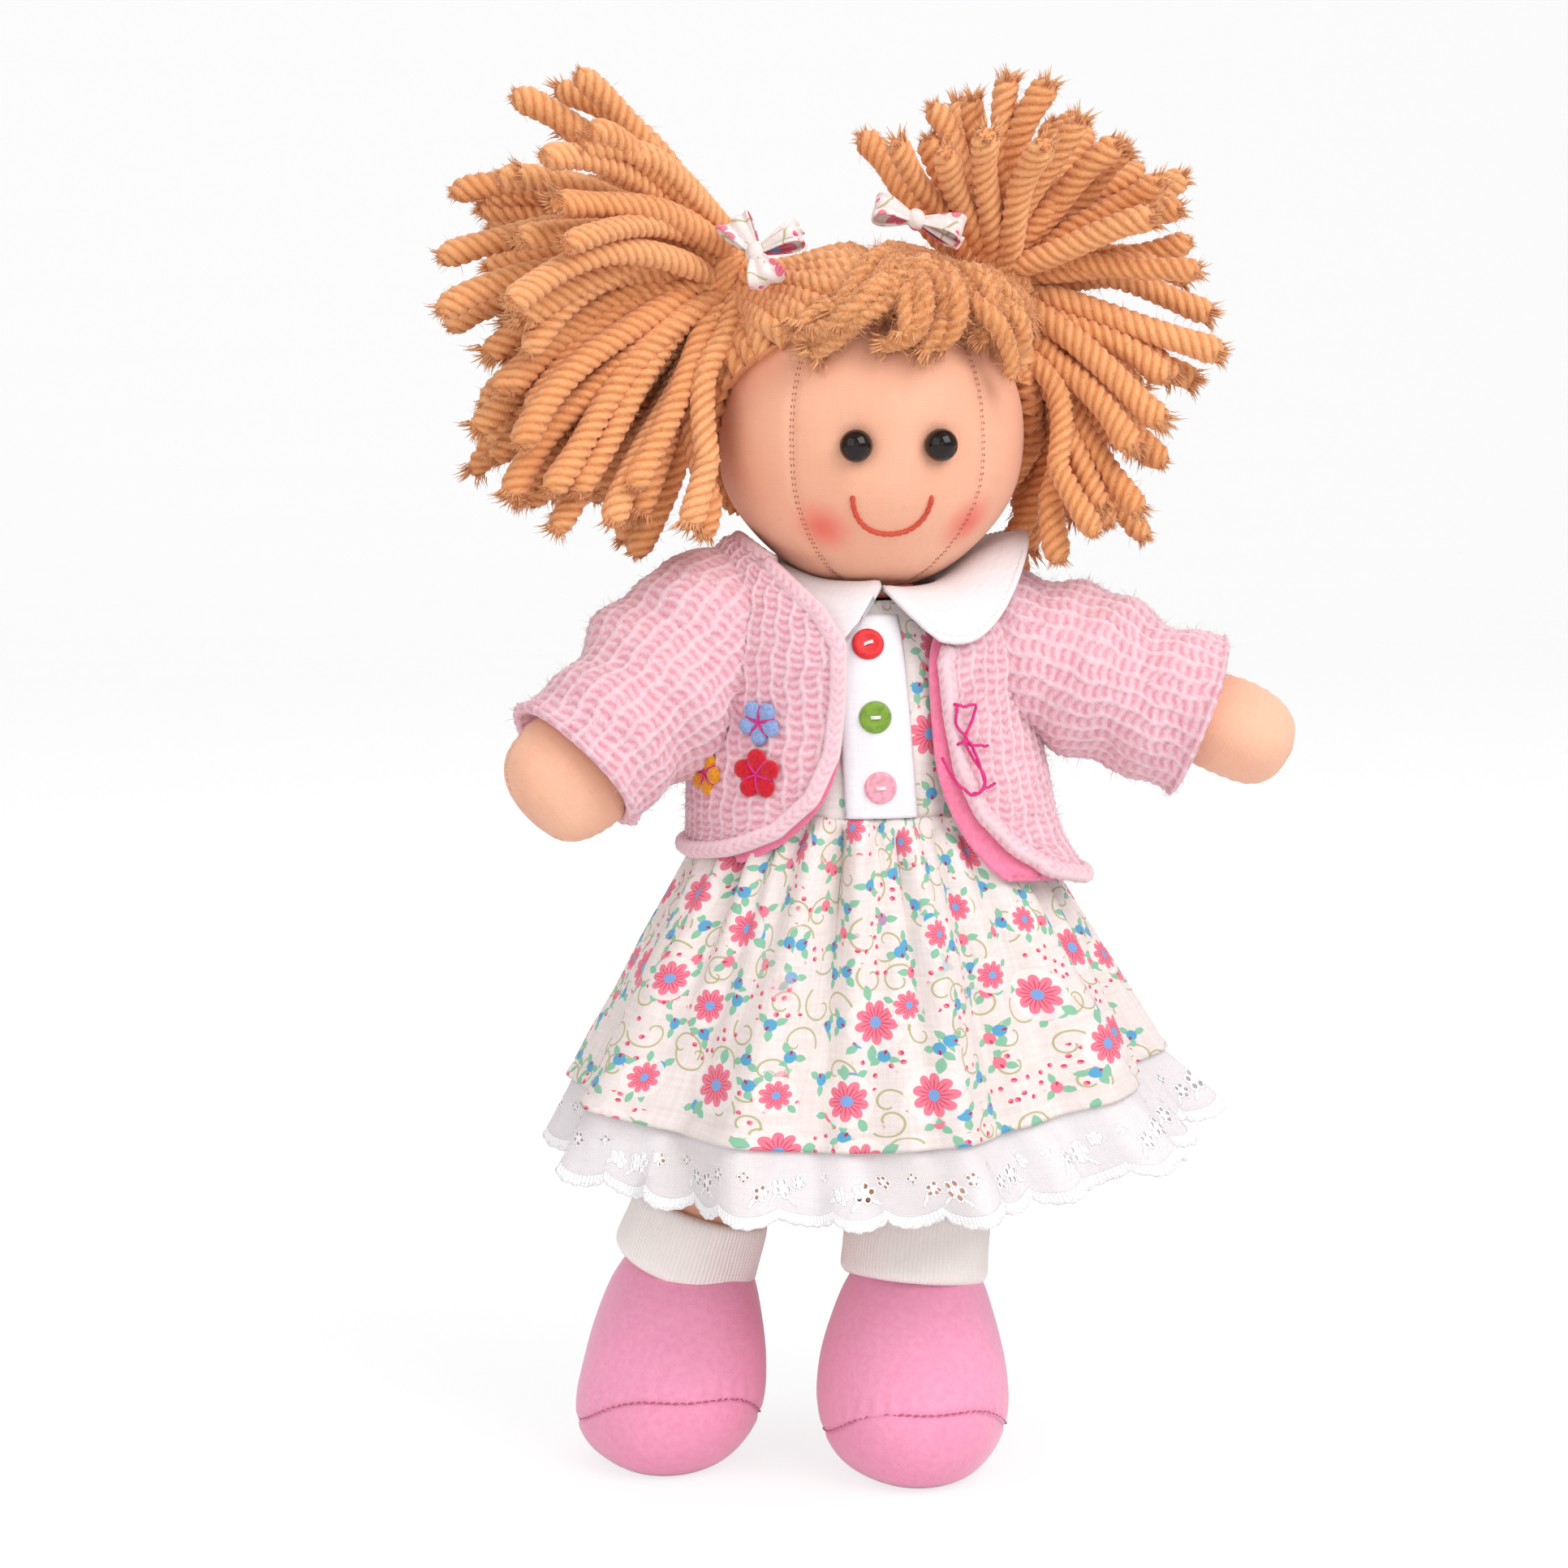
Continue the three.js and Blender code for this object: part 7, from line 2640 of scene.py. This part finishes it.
@dataclass
class Studio:
    """The pale floor, the soft lamps and the camera."""

    turn: float = -8.0
    rise: float = 8.0
    distance: float = 900.0
    target: tuple = (-15.9, 2.0, 145.0)
    half_view: float = 164.22
    floor_colour: tuple = (0.86, 0.86, 0.86, 1)
    floor_glow: float = 1.1
    room_light: float = 0.46
    lamps: tuple = (("key_lamp", 38, 42, 1500, 1100, 16), ("low_lamp", -14, 5, 1500, 1300, 2.4),
                    ("fill_lamp", -52, 28, 1600, 1400, 7), ("top_lamp", 170, 66, 1500, 1200, 7))

    def floor(self) -> None:
        """Lay a white floor that curves up behind into a backdrop."""
        half, back, depth, bend = 3200.0, 1500.0, 2600.0, 500.0
        turn = np.linspace(0, math.pi / 2, 16)
        profile = [(-depth, 0.0)] + [(back + bend * math.sin(a), bend - bend * math.cos(a)) for a in turn]
        profile.append((back + bend, 3400.0))
        grid = np.array([[(x, y, z) for x in np.linspace(-half, half, 3)] for y, z in profile])
        quads, _ = lattice(len(profile), 3, False)
        finish = Finish("studio_white", 0.9)
        build = finish.build
        finish.tint(self.floor_colour)
        path = build.add("ShaderNodeLightPath").outputs
        seen = build.most(path["Is Camera Ray"], build.most(path["Is Glossy Ray"], path["Is Transmission Ray"]))
        glow = build.add("ShaderNodeEmission", {"Strength": self.floor_glow})
        mixed = build.add("ShaderNodeMixShader", {0: seen * 0.7, 1: finish.shader.outputs[0], 2: glow.outputs[0]})
        output = finish.material.node_tree.nodes["Material Output"]
        build.put(output.inputs["Surface"], mixed.outputs[0])
        mesh = bpy.data.meshes.new("studio_floor")
        mesh.from_pydata((grid.reshape(-1, 3) * METRE).tolist(), [], quads.tolist())
        mesh.materials.append(finish.material)
        new_object("studio_floor", mesh)

    def lamp(self, name: str, turn: float, rise: float, distance: float, size: float, power: float) -> None:
        """Hang one soft square lamp that looks at the doll.

        Args:
            name: The lamp's name.
            turn: Degrees round from the front, towards the doll's left.
            rise: Degrees up.
            distance: Its distance in millimetres.
            size: Its side in millimetres.
            power: Its power in watts.
        """
        data = bpy.data.lights.new(name, "AREA")
        data.size, data.energy = size * METRE, power
        self.aim(new_object(name, data), turn, rise, distance)

    def aim(self, obj: Piece, turn: float, rise: float, distance: float) -> None:
        """Place an object round the target and point it there."""
        turn, rise = math.radians(turn), math.radians(rise)
        back = np.array([math.sin(turn) * math.cos(rise), -math.cos(turn) * math.cos(rise), math.sin(rise)])
        obj.location = (np.array(self.target) + back * distance) * METRE
        obj.rotation_euler = (math.pi / 2 - rise, 0, turn)

    def camera(self) -> None:
        """Stand the camera at the photograph's angle."""
        data = bpy.data.cameras.new("camera")
        data.sensor_width = SENSOR_WIDTH
        data.lens = SENSOR_WIDTH / 2 * self.distance / self.half_view
        data.clip_end = 20
        bpy.context.scene.camera = new_object("camera", data)
        self.aim(bpy.context.scene.camera, self.turn, self.rise, self.distance)

    def build(self) -> None:
        """Make the floor, the lamps, the room's light and the camera."""
        self.floor()
        self.camera()
        for lamp in self.lamps:
            self.lamp(*lamp)
        scene = bpy.context.scene
        scene.view_settings.view_transform = "Standard"
        world = bpy.data.worlds.new("room")
        world.use_nodes = True
        world.node_tree.nodes["Background"].inputs[0].default_value = (1, 1, 1, 1)
        world.node_tree.nodes["Background"].inputs[1].default_value = self.room_light
        scene.world = world


def main() -> None:
    """Build the doll, piece by piece, and its stage."""
    logging.basicConfig(level=logging.INFO, format="%(name)s: %(message)s")
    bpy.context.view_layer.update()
    Studio().build()
    weave = weave_group()
    red = DyedFinish("red_thread", colour(214, 74, 48)).make()
    # The needle holes' dark is painted shade.
    hole = DyedFinish("needle_hole", colour(158, 92, 68)).make()
    bead = BeadFinish().make()
    head = Head()
    # The eyes' middles place the painted shade round them.
    face = SkinFinish("face_cotton").make(weave, head.cheeks, head.eyes)
    yarn = YarnMaker(material=YarnFinish().make())
    sewing = Sewing(yarn)
    head.build(face, bead, red, hole, sewing)
    Hair(head, yarn).build()
    skin = SkinFinish("limb_cotton", base=colour(250, 200, 170), shade=colour(236, 172, 142)).make(weave)
    fawn = DyedFinish("fawn_thread", colour(206, 146, 112)).make()
    reaches = {Side.RIGHT: (-40, -16, -36), Side.LEFT: (58, -9, -22)}
    for (side, reach), half in zip(reaches.items(), ((13.5, 10.5), (10.5, 13.5))):
        Arm(side, reach, half).build(skin, fawn, sewing)
    shoe = ShoeFinish("shoe_cotton", colour(247, 162, 194), colour(241, 150, 186)).make(weave)
    # The sole's cotton is the upper's a little darker: painted shade on the shoe's lower panel.
    sole = ShoeFinish("sole_cotton", colour(245, 158, 190), colour(239, 146, 182)).make(weave)
    sock = SockFinish().make()
    seam = DyedFinish("shoe_thread", colour(204, 96, 138)).make()
    for side, foot in zip(Side, ((-41.94, 3.0, -35.94), (9.56, -13.0, 10.56))):
        Leg(side, foot).build(skin, sock, shoe, sole, seam, sewing)
    dyes = {"red": colour(224, 14, 24), "green": colour(120, 158, 40), "pink": colour(246, 164, 180)}
    buttons = {name: DyedFinish(f"button_{name}", dye, **BUTTON).make() for name, dye in dyes.items()}
    white = CottonFinish("white_cotton", 0.3, 0.8, 0.1, (0.05, 0.5)).make(weave)
    thread = DyedFinish("white_thread", colour(248, 240, 240)).make()
    cotton = CottonFinish("print_cotton", 0.46, 0.85, 0.15, (0.06, 0.6)).make(print_group(weave))
    lace = EyeletFinish(scallop=9.8, depth=16.8).make(weave)
    Dress().build(cotton, white, lace, skin, thread, buttons, sewing)
    dyes = {"red": colour(214, 14, 40), "yellow": colour(240, 158, 16), "blue": colour(146, 172, 222)}
    felts = {name: DyedFinish(f"felt_{name}", dye, **FELT).make() for name, dye in dyes.items()}
    magenta = DyedFinish("magenta_thread", colour(226, 34, 128)).make()
    woven = ShoeFinish("facing_cotton", colour(240, 134, 166), colour(230, 114, 150)).make(weave)
    Cardigan().build(KnitFinish().make(), woven, magenta, felts, reaches, sewing)
    Bow(Side.RIGHT, (-3.0, -1.5, 6.0), ((122, 8.5, 7.5, 0.8), (20, 9.5, 5.5, -0.5), (-68, 7.5, 8.0, 0.9)),
        ((28, 10.5, 3.5, 0.4),)).build(cotton, head)
    Bow(Side.LEFT, (-2.0, -1.6, 4.4), ((160, 8.5, 6.5, 0.5), (-24, 9.5, 6.5, 0.6)),
        ((-32, 10.5, 4.0, 0.3),)).build(cotton, head)


if __name__ == "__main__":
    main()
